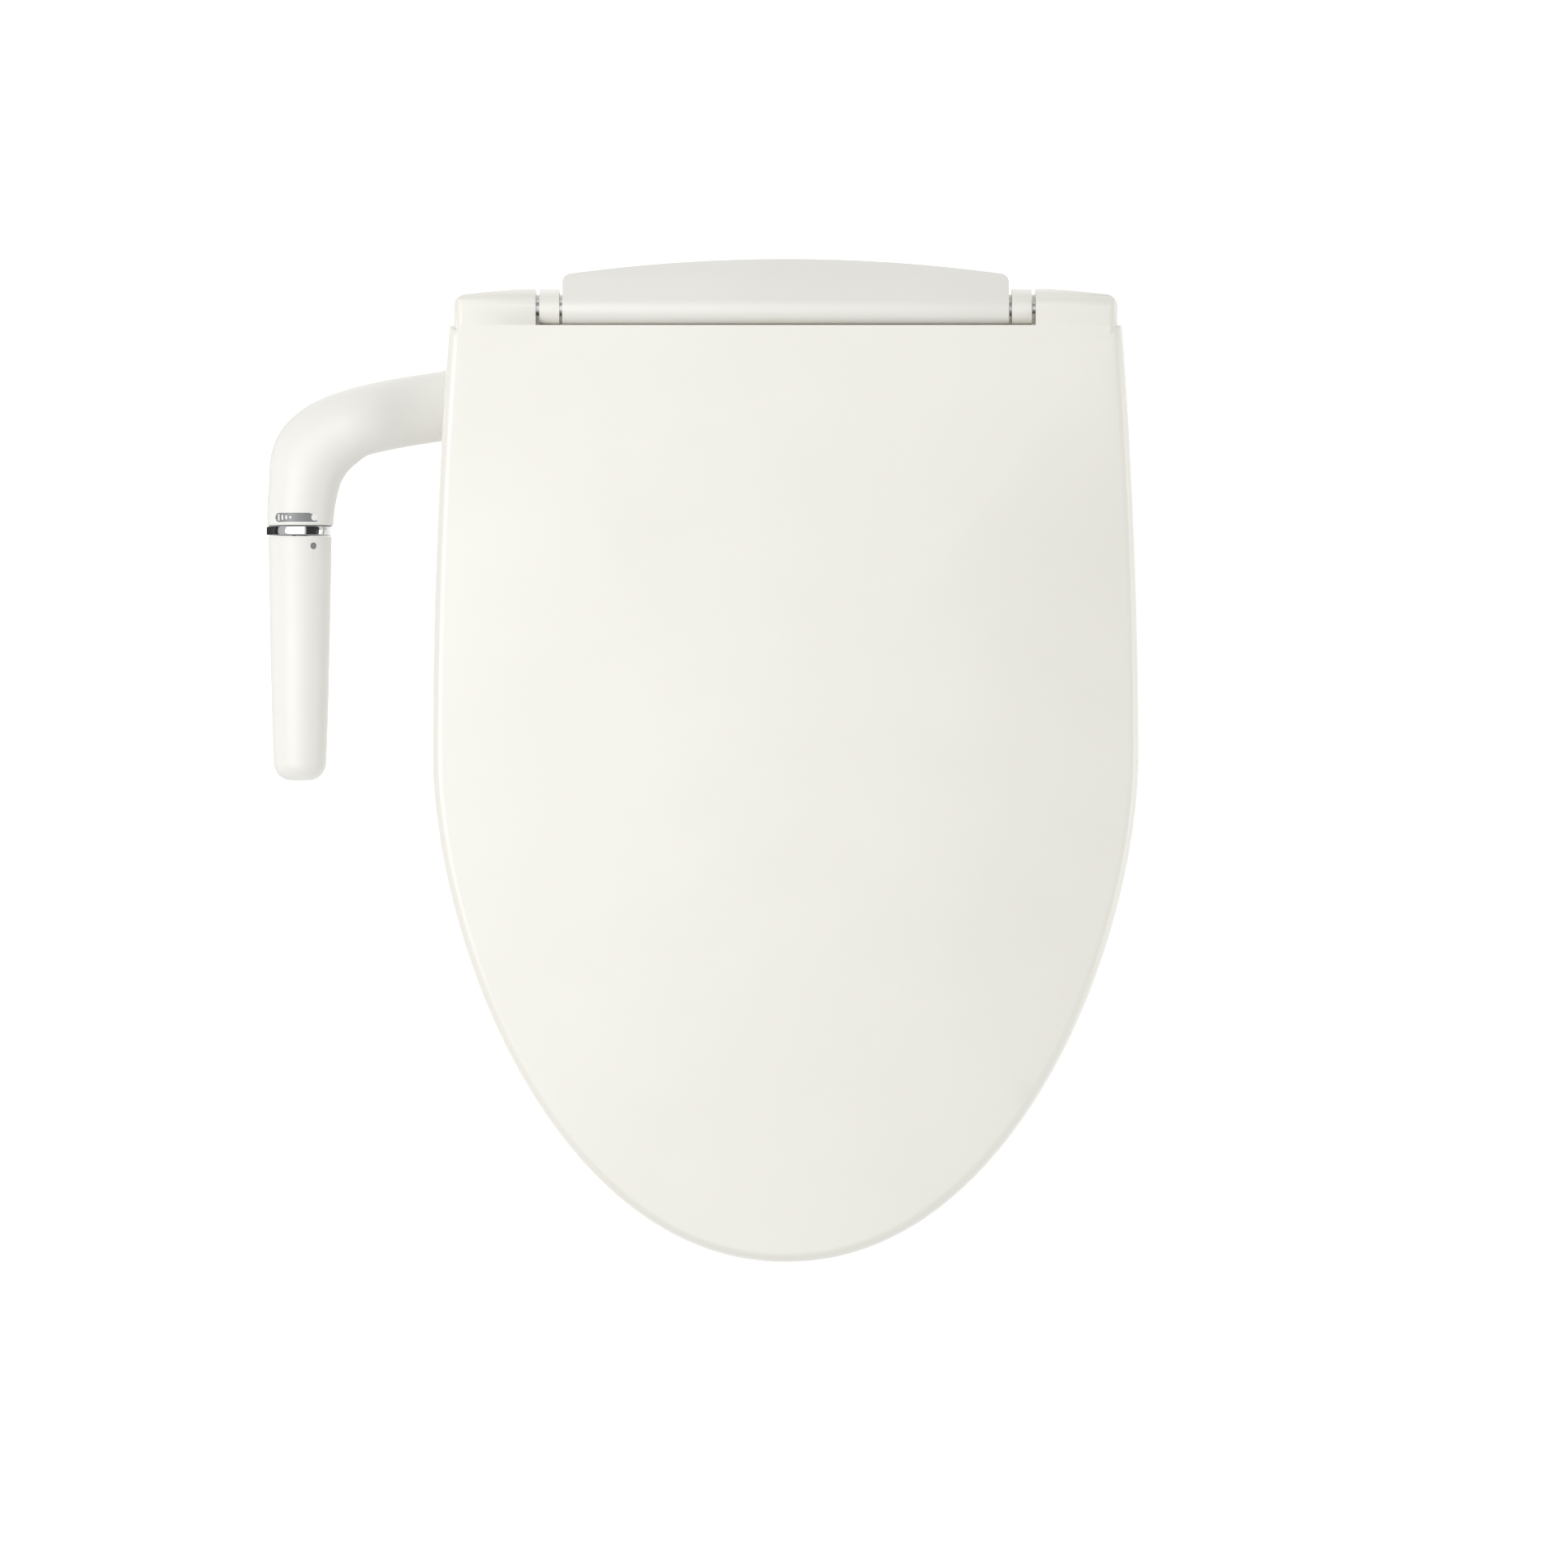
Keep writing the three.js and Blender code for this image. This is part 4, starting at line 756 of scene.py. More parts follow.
@dataclass(frozen=True)
class Finish:
    """A surface finish: two close tones, a roughness range and a fine relief."""

    name: str
    slot: str
    light_tone: Colour
    deep_tone: Colour
    roughness: tuple[float, float] = (0.28, 0.36)
    metallic: float = 0.0
    coat: float = 0.0
    coat_roughness: float = 0.1
    ior: float = 1.49
    tone_scale: float = 9.0
    grain_scale: float = 2500.0
    ripple_share: float = 0.5
    relief: float = 0.05
    brushed: bool = False

    def build(self, effects: SurfaceEffects) -> bpy.types.Material:
        """Makes the material.

        Args:
            effects: The shared shader groups.

        Returns:
            The material.
        """
        material = bpy.data.materials.new(self.name)
        material.use_nodes = True
        tree = material.node_tree
        shader = tree.nodes["Principled BSDF"]
        shader.inputs["Metallic"].default_value = self.metallic
        shader.inputs["IOR"].default_value = self.ior
        shader.inputs["Coat Weight"].default_value = self.coat
        shader.inputs["Coat Roughness"].default_value = self.coat_roughness
        tone = self._group(tree, effects.tone_drift, {
            "Light Tone": (*self.light_tone, 1), "Deep Tone": (*self.deep_tone, 1),
            "Scale": self.tone_scale,
        })
        tree.links.new(tone.outputs["Color"], shader.inputs["Base Color"])
        rough = self._group(
            tree, effects.value_drift, {"Low": self.roughness[0], "High": self.roughness[1]}
        )
        tree.links.new(rough.outputs["Value"], shader.inputs["Roughness"])
        if self.brushed:
            height = self._group(tree, effects.brush_lines, {"Scale": self.grain_scale})
        else:
            height = self._group(tree, effects.fine_grain, {
                "Grain Scale": self.grain_scale, "Ripple Share": self.ripple_share,
            })
        bump = tree.nodes.new("ShaderNodeBump")
        bump.inputs["Strength"].default_value = self.relief
        bump.inputs["Distance"].default_value = 0.0004
        tree.links.new(height.outputs["Height"], bump.inputs["Height"])
        tree.links.new(bump.outputs["Normal"], shader.inputs["Normal"])
        return material

    @staticmethod
    def _group(
        tree: bpy.types.NodeTree, group: bpy.types.NodeTree, values: dict[str, object]
    ) -> bpy.types.Node:
        """Places a shared group with its own values."""
        node = tree.nodes.new("ShaderNodeGroup")
        node.node_tree = group
        for key, value in values.items():
            node.inputs[key].default_value = value
        return node


WARM_WHITE = Finish(
    "warm_white_plastic", "lid_and_ring", (0.845, 0.832, 0.775), (0.825, 0.812, 0.75),
    roughness=(0.30, 0.38), coat=0.25, coat_roughness=0.18, ripple_share=0.75, relief=0.04,
)
ARM_WHITE = Finish(
    "arm_white_plastic", "arm_and_grip", (0.85, 0.84, 0.80), (0.83, 0.82, 0.78),
    roughness=(0.46, 0.55), coat=0.06, coat_roughness=0.3, ripple_share=0.6, relief=0.05,
)
CASING_WHITE = Finish(
    "casing_white_plastic", "housing", (0.835, 0.825, 0.785), (0.815, 0.803, 0.76),
    roughness=(0.36, 0.46), coat=0.12, coat_roughness=0.25, ripple_share=0.5, relief=0.08,
)
GREY_PLASTIC = Finish(
    "grey_moulded_plastic", "grey_plastic", (0.30, 0.31, 0.31), (0.26, 0.27, 0.27),
    roughness=(0.48, 0.62), relief=0.18, grain_scale=1800.0, ripple_share=0.2, tone_scale=25.0,
)
MARK_GREY = Finish(
    "inlaid_mark_grey", "mark_grey", (0.24, 0.245, 0.25), (0.22, 0.225, 0.23),
    roughness=(0.35, 0.45), relief=0.05, tone_scale=80.0,
)
MARK_WHITE = Finish(
    "inlaid_mark_white", "arm_and_grip", (0.90, 0.90, 0.89), (0.88, 0.88, 0.87),
    roughness=(0.35, 0.4), relief=0.03, tone_scale=80.0,
)
RUBBER = Finish(
    "soft_rubber", "rubber", (0.045, 0.045, 0.048), (0.032, 0.032, 0.035),
    roughness=(0.70, 0.86), relief=0.25, grain_scale=1400.0, ripple_share=0.25, tone_scale=40.0,
)
CHROME = Finish(
    "polished_chrome", "chrome", (0.80, 0.81, 0.83), (0.76, 0.77, 0.79),
    roughness=(0.05, 0.10), metallic=1.0, relief=0.01, tone_scale=60.0,
)
STEEL = Finish(
    "plated_steel", "steel", (0.60, 0.61, 0.62), (0.52, 0.53, 0.545),
    roughness=(0.26, 0.40), metallic=1.0, relief=0.12, grain_scale=900.0, brushed=True, tone_scale=50.0,
)
BRASS = Finish(
    "machined_brass", "brass", (0.66, 0.50, 0.24), (0.58, 0.43, 0.20),
    roughness=(0.25, 0.38), metallic=1.0, relief=0.10, grain_scale=700.0, brushed=True, tone_scale=50.0,
)
COPPER = Finish(
    "copper_foil", "copper", (0.70, 0.36, 0.22), (0.62, 0.30, 0.18),
    roughness=(0.25, 0.42), metallic=1.0, relief=0.10, grain_scale=500.0, tone_scale=35.0,
)
BOARD = Finish(
    "circuit_board_green", "circuit_board", (0.03, 0.16, 0.07), (0.02, 0.12, 0.05),
    roughness=(0.30, 0.45), relief=0.06, grain_scale=1500.0, tone_scale=120.0,
)


class Palette:
    """Builds each finish once, and gives it again."""

    def __init__(self) -> None:
        """Starts with the shared effects only."""
        self.effects = SurfaceEffects()
        self._made: dict[str, bpy.types.Material] = {}

    def __getitem__(self, finish: Finish) -> bpy.types.Material:
        """The finish's material."""
        if finish.name not in self._made:
            self._made[finish.name] = finish.build(self.effects)
        return self._made[finish.name]


# ---- Geometry Nodes ----


class RepeatTrees:
    """The trees that repeat a small shape or follow a path."""

    def __init__(self) -> None:
        """Builds each tree once."""
        self.copies = self._copies()
        self.thread = self._thread()
        self.hose = self._hose()

    @staticmethod
    def _copies() -> bpy.types.NodeTree:
        """Copies one object to every vertex, turned about Z by an attribute."""
        maker = TreeMaker("copies_on_points", "GeometryNodeTree")
        maker.takes("Geometry", "NodeSocketGeometry")
        maker.takes("Shape", "NodeSocketObject")
        maker.takes("Turn Each", "NodeSocketFloat", 0.0)
        maker.takes("Material", "NodeSocketMaterial")
        maker.gives("Geometry", "NodeSocketGeometry")
        shape = maker.add("GeometryNodeObjectInfo", Object=maker.input("Shape"))
        index = maker.add("GeometryNodeInputIndex")
        turn = maker.add(
            "ShaderNodeMath", {"operation": "MULTIPLY"}, in_0=index.outputs[0],
            in_1=maker.input("Turn Each")
        )
        angles = maker.add("ShaderNodeCombineXYZ", Z=turn.outputs[0])
        rotation = maker.add("FunctionNodeEulerToRotation", Euler=angles.outputs[0])
        points = maker.add("GeometryNodeMeshToPoints", Mesh=maker.input("Geometry"))
        copies = maker.add(
            "GeometryNodeInstanceOnPoints", Points=points.outputs[0],
            Instance=shape.outputs["Geometry"], Rotation=rotation.outputs[0],
        )
        real = maker.add("GeometryNodeRealizeInstances", Geometry=copies.outputs[0])
        dressed = maker.add(
            "GeometryNodeSetMaterial", Geometry=real.outputs[0], Material=maker.input("Material")
        )
        maker.output("Geometry", dressed.outputs[0])
        return maker.tree

    @staticmethod
    def _thread() -> bpy.types.NodeTree:
        """A screw thread: a helical ridge along Z, closed at both ends."""
        maker = TreeMaker("screw_thread", "GeometryNodeTree")
        maker.takes("Geometry", "NodeSocketGeometry")
        maker.takes("Radius", "NodeSocketFloat", 0.004)
        maker.takes("Length", "NodeSocketFloat", 0.02)
        maker.takes("Turns", "NodeSocketFloat", 12.0)
        maker.takes("Ridge", "NodeSocketFloat", 0.0006)
        maker.takes("Material", "NodeSocketMaterial")
        maker.gives("Geometry", "NodeSocketGeometry")
        spiral = maker.add(
            "GeometryNodeCurveSpiral", Resolution=20, Rotations=maker.input("Turns"),
            Start_Radius=maker.input("Radius"), End_Radius=maker.input("Radius"),
            Height=maker.input("Length"),
        )
        section = maker.add(
            "GeometryNodeCurvePrimitiveCircle", Resolution=4, Radius=maker.input("Ridge")
        )
        ridge = maker.add(
            "GeometryNodeCurveToMesh", Curve=spiral.outputs[0], Profile_Curve=section.outputs[0],
        )
        ridge.inputs["Fill Caps"].default_value = True
        real = maker.add("GeometryNodeRealizeInstances", Geometry=ridge.outputs[0])
        dressed = maker.add(
            "GeometryNodeSetMaterial", Geometry=real.outputs[0], Material=maker.input("Material")
        )
        maker.output("Geometry", dressed.outputs[0])
        return maker.tree

    @staticmethod
    def _hose() -> bpy.types.NodeTree:
        """A round hose along the mesh edges that it is given."""
        maker = TreeMaker("round_hose", "GeometryNodeTree")
        maker.takes("Geometry", "NodeSocketGeometry")
        maker.takes("Radius", "NodeSocketFloat", 0.0026)
        maker.takes("Sides", "NodeSocketInt", 20)
        maker.takes("Material", "NodeSocketMaterial")
        maker.gives("Geometry", "NodeSocketGeometry")
        route = maker.add("GeometryNodeMeshToCurve", Mesh=maker.input("Geometry"))
        section = maker.add(
            "GeometryNodeCurvePrimitiveCircle", Resolution=maker.input("Sides"),
            Radius=maker.input("Radius")
        )
        tube = maker.add(
            "GeometryNodeCurveToMesh", Curve=route.outputs[0], Profile_Curve=section.outputs[0],
        )
        tube.inputs["Fill Caps"].default_value = True
        real = maker.add("GeometryNodeRealizeInstances", Geometry=tube.outputs[0])
        dressed = maker.add(
            "GeometryNodeSetMaterial", Geometry=real.outputs[0], Material=maker.input("Material")
        )
        maker.output("Geometry", dressed.outputs[0])
        return maker.tree


def grown(
    tree: bpy.types.NodeTree, seed: bpy.types.Mesh, values: dict[str, object], place: Matrix = Matrix()
) -> Solid:
    """Runs a Geometry Nodes tree and keeps its result as a plain mesh.

    Args:
        tree: The tree.
        seed: The mesh that it starts from, in metres.
        values: Its inputs by name.
        place: Where the result goes, in metres.

    Returns:
        The solid, in millimetres.
    """
    item = bpy.data.objects.new("grown", seed)
    bpy.context.scene.collection.objects.link(item)
    modifier = item.modifiers.new("grow", "NODES")
    modifier.node_group = tree
    sockets = {s.name: s.identifier for s in tree.interface.items_tree if s.in_out == "INPUT"}
    for name, value in values.items():
        modifier[sockets[name]] = value
    mesh = baked(item)
    bpy.data.objects.remove(item)
    mesh.transform(Matrix.Scale(1 / MM, 4) @ place)
    return Solid(mesh)


def points_mesh(points: Iterable[Sequence[float]], chained: bool = False) -> bpy.types.Mesh:
    """A mesh of loose vertices, or of one chain of edges, in metres from millimetres."""
    places = [tuple(v * MM for v in p) for p in points]
    mesh = bpy.data.meshes.new("points")
    edges = [(i, i + 1) for i in range(len(places) - 1)] if chained else []
    mesh.from_pydata(places, edges, [])
    return mesh


def several(
    name: str, solids: Sequence[Solid], material: bpy.types.Material, angle: float = SMOOTH_ANGLE
) -> bpy.types.Object:
    """Puts separate solids of one finish in one piece.

    Args:
        name: The piece's name.
        solids: The solids, in millimetres.
        material: Their finish.
        angle: Edges that turn by more than this many degrees stay sharp.

    Returns:
        The object.
    """
    work = bmesh.new()
    for solid in solids:
        work.from_mesh(solid.mesh)
    mesh = bpy.data.meshes.new(name)
    work.to_mesh(mesh)
    work.free()
    return Solid(mesh).piece(name, material, angle)


def settle(item: bpy.types.Object, body: str, slot: str, *nodes: str) -> None:
    """Hands a finished piece to the frame.

    Args:
        item: The piece.
        body: The body that it rides on.
        slot: Not used.
        *nodes: The frame nodes that it stands for.
    """
    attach(item, body)
    if nodes:
        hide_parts(*nodes)
    LOG.info("%s on %s, %d faces", item.name, body, len(item.data.polygons))


def fit(
    palette: Palette, solid: Solid, name: str, finish: Finish, body: str, *nodes: str,
    angle: float = SMOOTH_ANGLE,
) -> None:
    """Makes one piece in its finish and hands it to the frame.

    Args:
        palette: The made finishes.
        solid: The piece's shape.
        name: Its name.
        finish: Its finish.
        body: The body that it rides on.
        *nodes: The frame nodes that it stands for.
        angle: Edges that turn by more than this many degrees stay sharp.
    """
    settle(solid.piece(name, palette[finish], angle), body, finish.slot, *nodes)


# ---- Lid ----


@dataclass
class Lid:
    """The crowned lid with its knuckles and bumpers."""

    palette: Palette
    outline: SeatOutline = field(default_factory=SeatOutline)
    wall: float = 3.0
    rim_z: float = LID_BOX.low.z + 1.0
    edge_top_z: float = 46.0
    crown: float = 8.0
    edge_radius: float = 5.5
    rise_length: float = 120.0
    knuckle_radius: float = 10.0
    knuckle_inner_x: float = 130.3
    knuckle_outer_x: float = 173.2
    knuckle_corner: float = 7.0
    knuckle_slope: float = 6.0

    def top(self, y: float, k: float) -> float:
        """The height of the lid's top at a share k of the way from its middle to its edge."""
        rise = smoothstep(y, self.outline.rear_y - self.rise_length, self.outline.rear_y)
        return mix(self.edge_top_z + self.crown * (1 - k * k), HINGE.z + self.knuckle_radius, rise)

    def _skin(self, depth: float, rim: float) -> list[Ring]:
        """The rings of the outer or the inner skin, from the rim to the middle.

        Args:
            depth: How far the skin lies under the outer one.
            rim: The height of its lowest ring.

        Returns:
            The rings.
        """
        rings = [
            ring_at(self.outline.inset(depth + (0.9 if depth == 0 else 0)), rim),
            ring_at(self.outline.inset(depth + (0.25 if depth == 0 else 0)), rim + 0.8),
            ring_at(self.outline.inset(depth), rim + 2.5),
        ]
        for degrees in range(0, 91, 9):
            angle = math.radians(degrees)
            inward = self.edge_radius * (1 - math.cos(angle))
            drop = self.edge_radius * (1 - math.sin(angle))
            rings.append(
                ring_at(
                    self.outline.inset(depth + inward), lambda y, d=drop: self.top(y, 1) - depth - d
                )
            )
        edge = self.outline.inset(depth + self.edge_radius)
        for step in range(1, 25):
            k = 1 - step / 25
            rings.append(ring_at(self.outline.shrunk(edge, k), lambda y, k=k: self.top(y, k) - depth))
        return rings

    def _knuckle(self, bore: float) -> Solid:
        """The right knuckle, with a blind bore from its inner end."""
        profile = [
            (-16.0, self.rim_z - HINGE.z),
            (-4.0, -self.knuckle_radius),
            *arc(0, 0, self.knuckle_radius, -90, 90, 36),
            (-16.0, self.knuckle_radius),
        ]
        placed = [(HINGE.y + y, HINGE.z + z) for y, z in profile]
        body = Solid.prism(placed, Axis.X, self.knuckle_inner_x, self.knuckle_outer_x + 1)
        corner = arc(
            self.knuckle_outer_x - self.knuckle_corner, 0, self.knuckle_corner, 0,
            90 - self.knuckle_slope, 12
        )
        rise = (corner[-1][0] - self.knuckle_inner_x + 1) * math.tan(math.radians(self.knuckle_slope))
        plan = [
            (self.knuckle_inner_x - 1, -20.0),
            (self.knuckle_outer_x, -20.0),
            *corner,
            (self.knuckle_inner_x - 1, corner[-1][1] + rise),
        ]
        body = body.common(Solid.prism([(x, HINGE.y + y) for x, y in plan], Axis.Z, 0, 2 * HINGE.z))
        turn, top = self.edge_radius - 0.5, HINGE.z + self.knuckle_radius
        side = [
            (self.knuckle_inner_x - 1, 0.0), (self.knuckle_outer_x, 0.0),
            *arc(self.knuckle_outer_x - turn, top - turn, turn, 0, 90, 12),
            (self.knuckle_inner_x - 1, top),
        ]
        body = body.common(Solid.prism(side, Axis.Y, -100, 100))
        start = self.knuckle_inner_x - 1
        return body.cut(Solid.rod(bore, Axis.X, start, start + 31, (HINGE.y, HINGE.z), 32))

    def shell(self) -> Solid:
        """The lid's shell with its crisp rear edge and both knuckles."""
        outer = self._skin(0.0, self.rim_z)
        inner = self._skin(self.wall, self.rim_z)
        body = Solid.loft([*reversed(inner), *outer])
        half, rear_y = self.outline.corner_x - self.edge_radius - 0.5, self.outline.rear_y
        curve = [(rear_y - 2.0 * i, self.top(rear_y - 2.0 * i, 1) + 0.03) for i in range(8)]
        under = curve[-1][1] - 2.5
        rear = Solid.prism([
            (rear_y - 6, self.rim_z), (rear_y, self.rim_z), *curve, (curve[-1][0], under),
            (rear_y - 6, under),
        ], Axis.X, -half, half)
        return body.join(rear, self._knuckle(4.3).mirrored(Side.LEFT), self._knuckle(3.3))

    def bumper(self, node: str) -> Solid:
        """A soft tapered pad with a domed foot, in place of a frame node."""
        box = NodeBox.of(node)
        radius = box.size.x / 2
        low, high = box.low.z, box.high.z
        profile = [
            (0.0, low), (radius * 0.45, low), (radius * 0.62, low + 0.3), (radius * 0.72, low + 1.0),
            (radius * 0.8, high - 2.2), (radius, high - 1.4), (radius, high), (0.0, high),
        ]
        return Solid.turned(profile, Axis.Z, (box.centre.x, box.centre.y), 40)

    def build(self) -> None:
        """Makes and dresses every lid piece."""
        fit(
            self.palette, self.shell().bevelled(0.35, 3, 50), "lid_shell", WARM_WHITE, "lid", "lid",
            angle=MOULDED_ANGLE
        )
        for place in ("rear", "front"):
            for side in Side:
                node = f"lid_bumper_{place}_{side.label}"
                fit(
                    self.palette, self.bumper(node), f"lid_pad_{place}_{side.label}", RUBBER, "lid",
                    node
                )


# ---- Ring ----


@dataclass
class RingSeat:
    """The heated ring with its opening, ears, lower shell and feet."""

    palette: Palette
    outline: SeatOutline = field(default_factory=SeatOutline)
    edge_inset: float = 4.0
    bottom_z: float = NodeBox.of("ring_upper_shell").low.z
    top_z: float = 31.5
    plate_z: float = 25.0
    wall: float = 3.0
    rear_gap: float = 11.0
    opening_half: float = 105.0
    opening_rear: float = -89.0
    opening_front: float = -407.0
    ear_inner_x: float = 118.0
    ear_outer_x: float = 128.4
    ear_radius: float = 8.8
    edge_radius: float = 7.0

    def opening(self, grow: float, steps: int = 120) -> list[Point2]:
        """The opening's egg-shaped outline, grown by a distance."""
        centre = (self.opening_rear + self.opening_front) / 2
        half = (self.opening_rear - self.opening_front) / 2
        points = []
        for i in range(steps):
            angle = 2 * math.pi * i / steps
            x = (self.opening_half + grow) * signed_power(math.cos(angle), 0.88)
            y = centre + (half + grow) * signed_power(math.sin(angle), 0.88)
            points.append((x, y))
        return points

    def _opening_tool(self) -> Solid:
        """The space of the opening, flared smoothly into the ring's top."""
        rings = [ring_at(self.opening(0), self.bottom_z - 5)]
        rings.append(ring_at(self.opening(1.0), self.bottom_z - 0.01))
        rings.append(ring_at(self.opening(0.3), self.bottom_z + 0.7))
        rings.append(ring_at(self.opening(0), self.bottom_z + 1.6))
        flare, depth = 24.0, 10.0
        for step in range(13):
            angle = math.radians(90 * step / 12)
            grow = flare * (1 - math.cos(angle)) ** 1.15
            rings.append(ring_at(self.opening(grow), self.top_z - depth + depth * math.sin(angle)))
        rings.append(ring_at(self.opening(flare + 3), self.top_z + 1))
        return Solid.loft(rings)

    def _body(self, inset: float, bottom: float) -> Solid:
        """The ring without its opening, moved in by a wall's thickness."""
        rings = [
            ring_at(self.outline.inset(self.edge_inset + inset + 1.2), bottom),
            ring_at(self.outline.inset(self.edge_inset + inset + 0.35), bottom + 0.9),
            ring_at(self.outline.inset(self.edge_inset + inset), bottom + 2.5),
        ]
        for degrees in range(0, 91, 9):
            angle = math.radians(degrees)
            inward = self.edge_radius * (1 - math.cos(angle))
            height = self.top_z - inset - self.edge_radius * (1 - math.sin(angle))
            rings.append(ring_at(self.outline.inset(self.edge_inset + inset + inward), height))
        return Solid.loft(rings)

    def _ear(self, bore: float) -> Solid:
        """The right ear, which carries the hinge."""
        low, top = self.plate_z - HINGE.z, self.top_z - HINGE.z
        profile = [
            (-34.0, low), (-12.0, low),
            *arc(0, 0, 10.0, -110, -10, 20),
            *arc(0, 0, self.ear_radius, 20, 200, 40),
            (-8.9, top + 0.7), (-34.0, top - 0.2),
        ]
        placed = [(HINGE.y + y, HINGE.z + z) for y, z in profile]
        ear = Solid.prism(placed, Axis.X, self.ear_inner_x, self.ear_outer_x)
        bore_tool = Solid.rod(
            bore, Axis.X, self.ear_inner_x - 1, self.ear_outer_x + 1, (HINGE.y, HINGE.z), 40
        )
        return ear.cut(bore_tool)

    def shell(self) -> Solid:
        """The upper shell, hollow from below in front of the housing."""
        cavity_y = self.opening_rear - self.wall
        column = Solid.prism(self.opening(self.wall), Axis.Z, -5, 19.5)
        flared = Solid.loft([
            ring_at(self.opening(self.wall), 18.0),
            ring_at(self.opening(self.wall + 8), self.top_z - 3.0),
            ring_at(self.opening(self.wall + 9), self.top_z + 4.0),
        ])
        cavity = (
            self._body(self.wall, self.bottom_z - 4)
            .cut(column, flared)
            .common(Solid.box((-250, -600, -10), (250, cavity_y, 100)))
        )
        over_housing = Solid.box((-250, -86, -5), (250, 60, self.plate_z))
        behind = Solid.box((-250, HINGE.y - self.rear_gap, -5), (250, 60, 60))
        shell = self._body(0, self.bottom_z).cut(self._opening_tool(), over_housing, behind, cavity)
        return shell.join(self._ear(4.5).mirrored(Side.LEFT), self._ear(4.3))

    def lower_shell(self) -> Solid:
        """The plate that closes the ring from below, with stiffening grooves."""
        box = NodeBox.of("ring_lower_shell")
        outer = self.outline.inset(self.edge_inset + self.wall + CLEARANCE + 1.5)
        plate = Solid.prism(outer, Axis.Z, box.low.z, box.high.z)
        plate = plate.cut(Solid.prism(self.opening(self.wall + CLEARANCE), Axis.Z, 0, 40))
        plate = plate.common(Solid.box((-250, -600, -10), (250, box.high.y, 100)))
        groove_outer = Solid.prism(self.outline.inset(self.edge_inset + 16), Axis.Z, 0, box.low.z + 0.6)
        groove_inner = Solid.prism(self.outline.inset(self.edge_inset + 18), Axis.Z, -1, box.low.z + 1)
        front = Solid.box((-250, -600, -10), (250, box.high.y - 10, 100))
        plate = plate.cut(groove_outer.cut(groove_inner).common(front))
        for node in self._feet():
            centre = NodeBox.of(node).centre
            plate = plate.cut(Solid.rod(3.3, Axis.Z, 0, 40, (centre.x, centre.y), 32))
        return plate

    @staticmethod
    def _feet() -> list[str]:
        """The feet's node names."""
        return [f"ring_foot_{place}_{side.label}" for place in ("rear", "front") for side in Side]

    @staticmethod
    def foot(node: str) -> Solid:
        """A rubber foot with a ribbed tread, in place of a frame node."""
        box = NodeBox.of(node)
        radius, top = box.size.x / 2, 8.9
        profile: list[Point2] = [(0.0, box.low.z)]
        for rib in (0.25, 0.5, 0.75):
            r = radius * rib
            profile += [
                (r - 0.5, box.low.z), (r - 0.2, box.low.z + 0.7), (r + 0.5, box.low.z + 0.7),
                (r + 0.8, box.low.z)
            ]
        profile += [
            (radius - 1.2, box.low.z), (radius - 0.4, box.low.z + 0.4), (radius, box.low.z + 1.4),
            (radius - 0.7, top - 0.6), (radius - 1.3, top), (3.0, top), (3.0, box.high.z - 0.6),
            (2.4, box.high.z), (0.0, box.high.z),
        ]
        return Solid.turned(profile, Axis.Z, (box.centre.x, box.centre.y), 48)

    def build(self) -> None:
        """Makes and dresses every ring piece."""
        fit(
            self.palette, self.shell().cleaned().bevelled(0.35, 3, 50).cleaned(0.002), "ring_top",
            WARM_WHITE, "ring", "ring_upper_shell", angle=MOULDED_ANGLE
        )
        lower = self.lower_shell().bevelled(0.3, 2, 50).piece(
            "ring_bottom", self.palette[CASING_WHITE], 40
        )
        settle(lower, "ring", WARM_WHITE.slot, "ring_lower_shell")
        for node in self._feet():
            fit(
                self.palette, self.foot(node), node.replace("ring_foot", "ring_rubber_foot"), RUBBER,
                "ring", node
            )


# ---- Housing ----


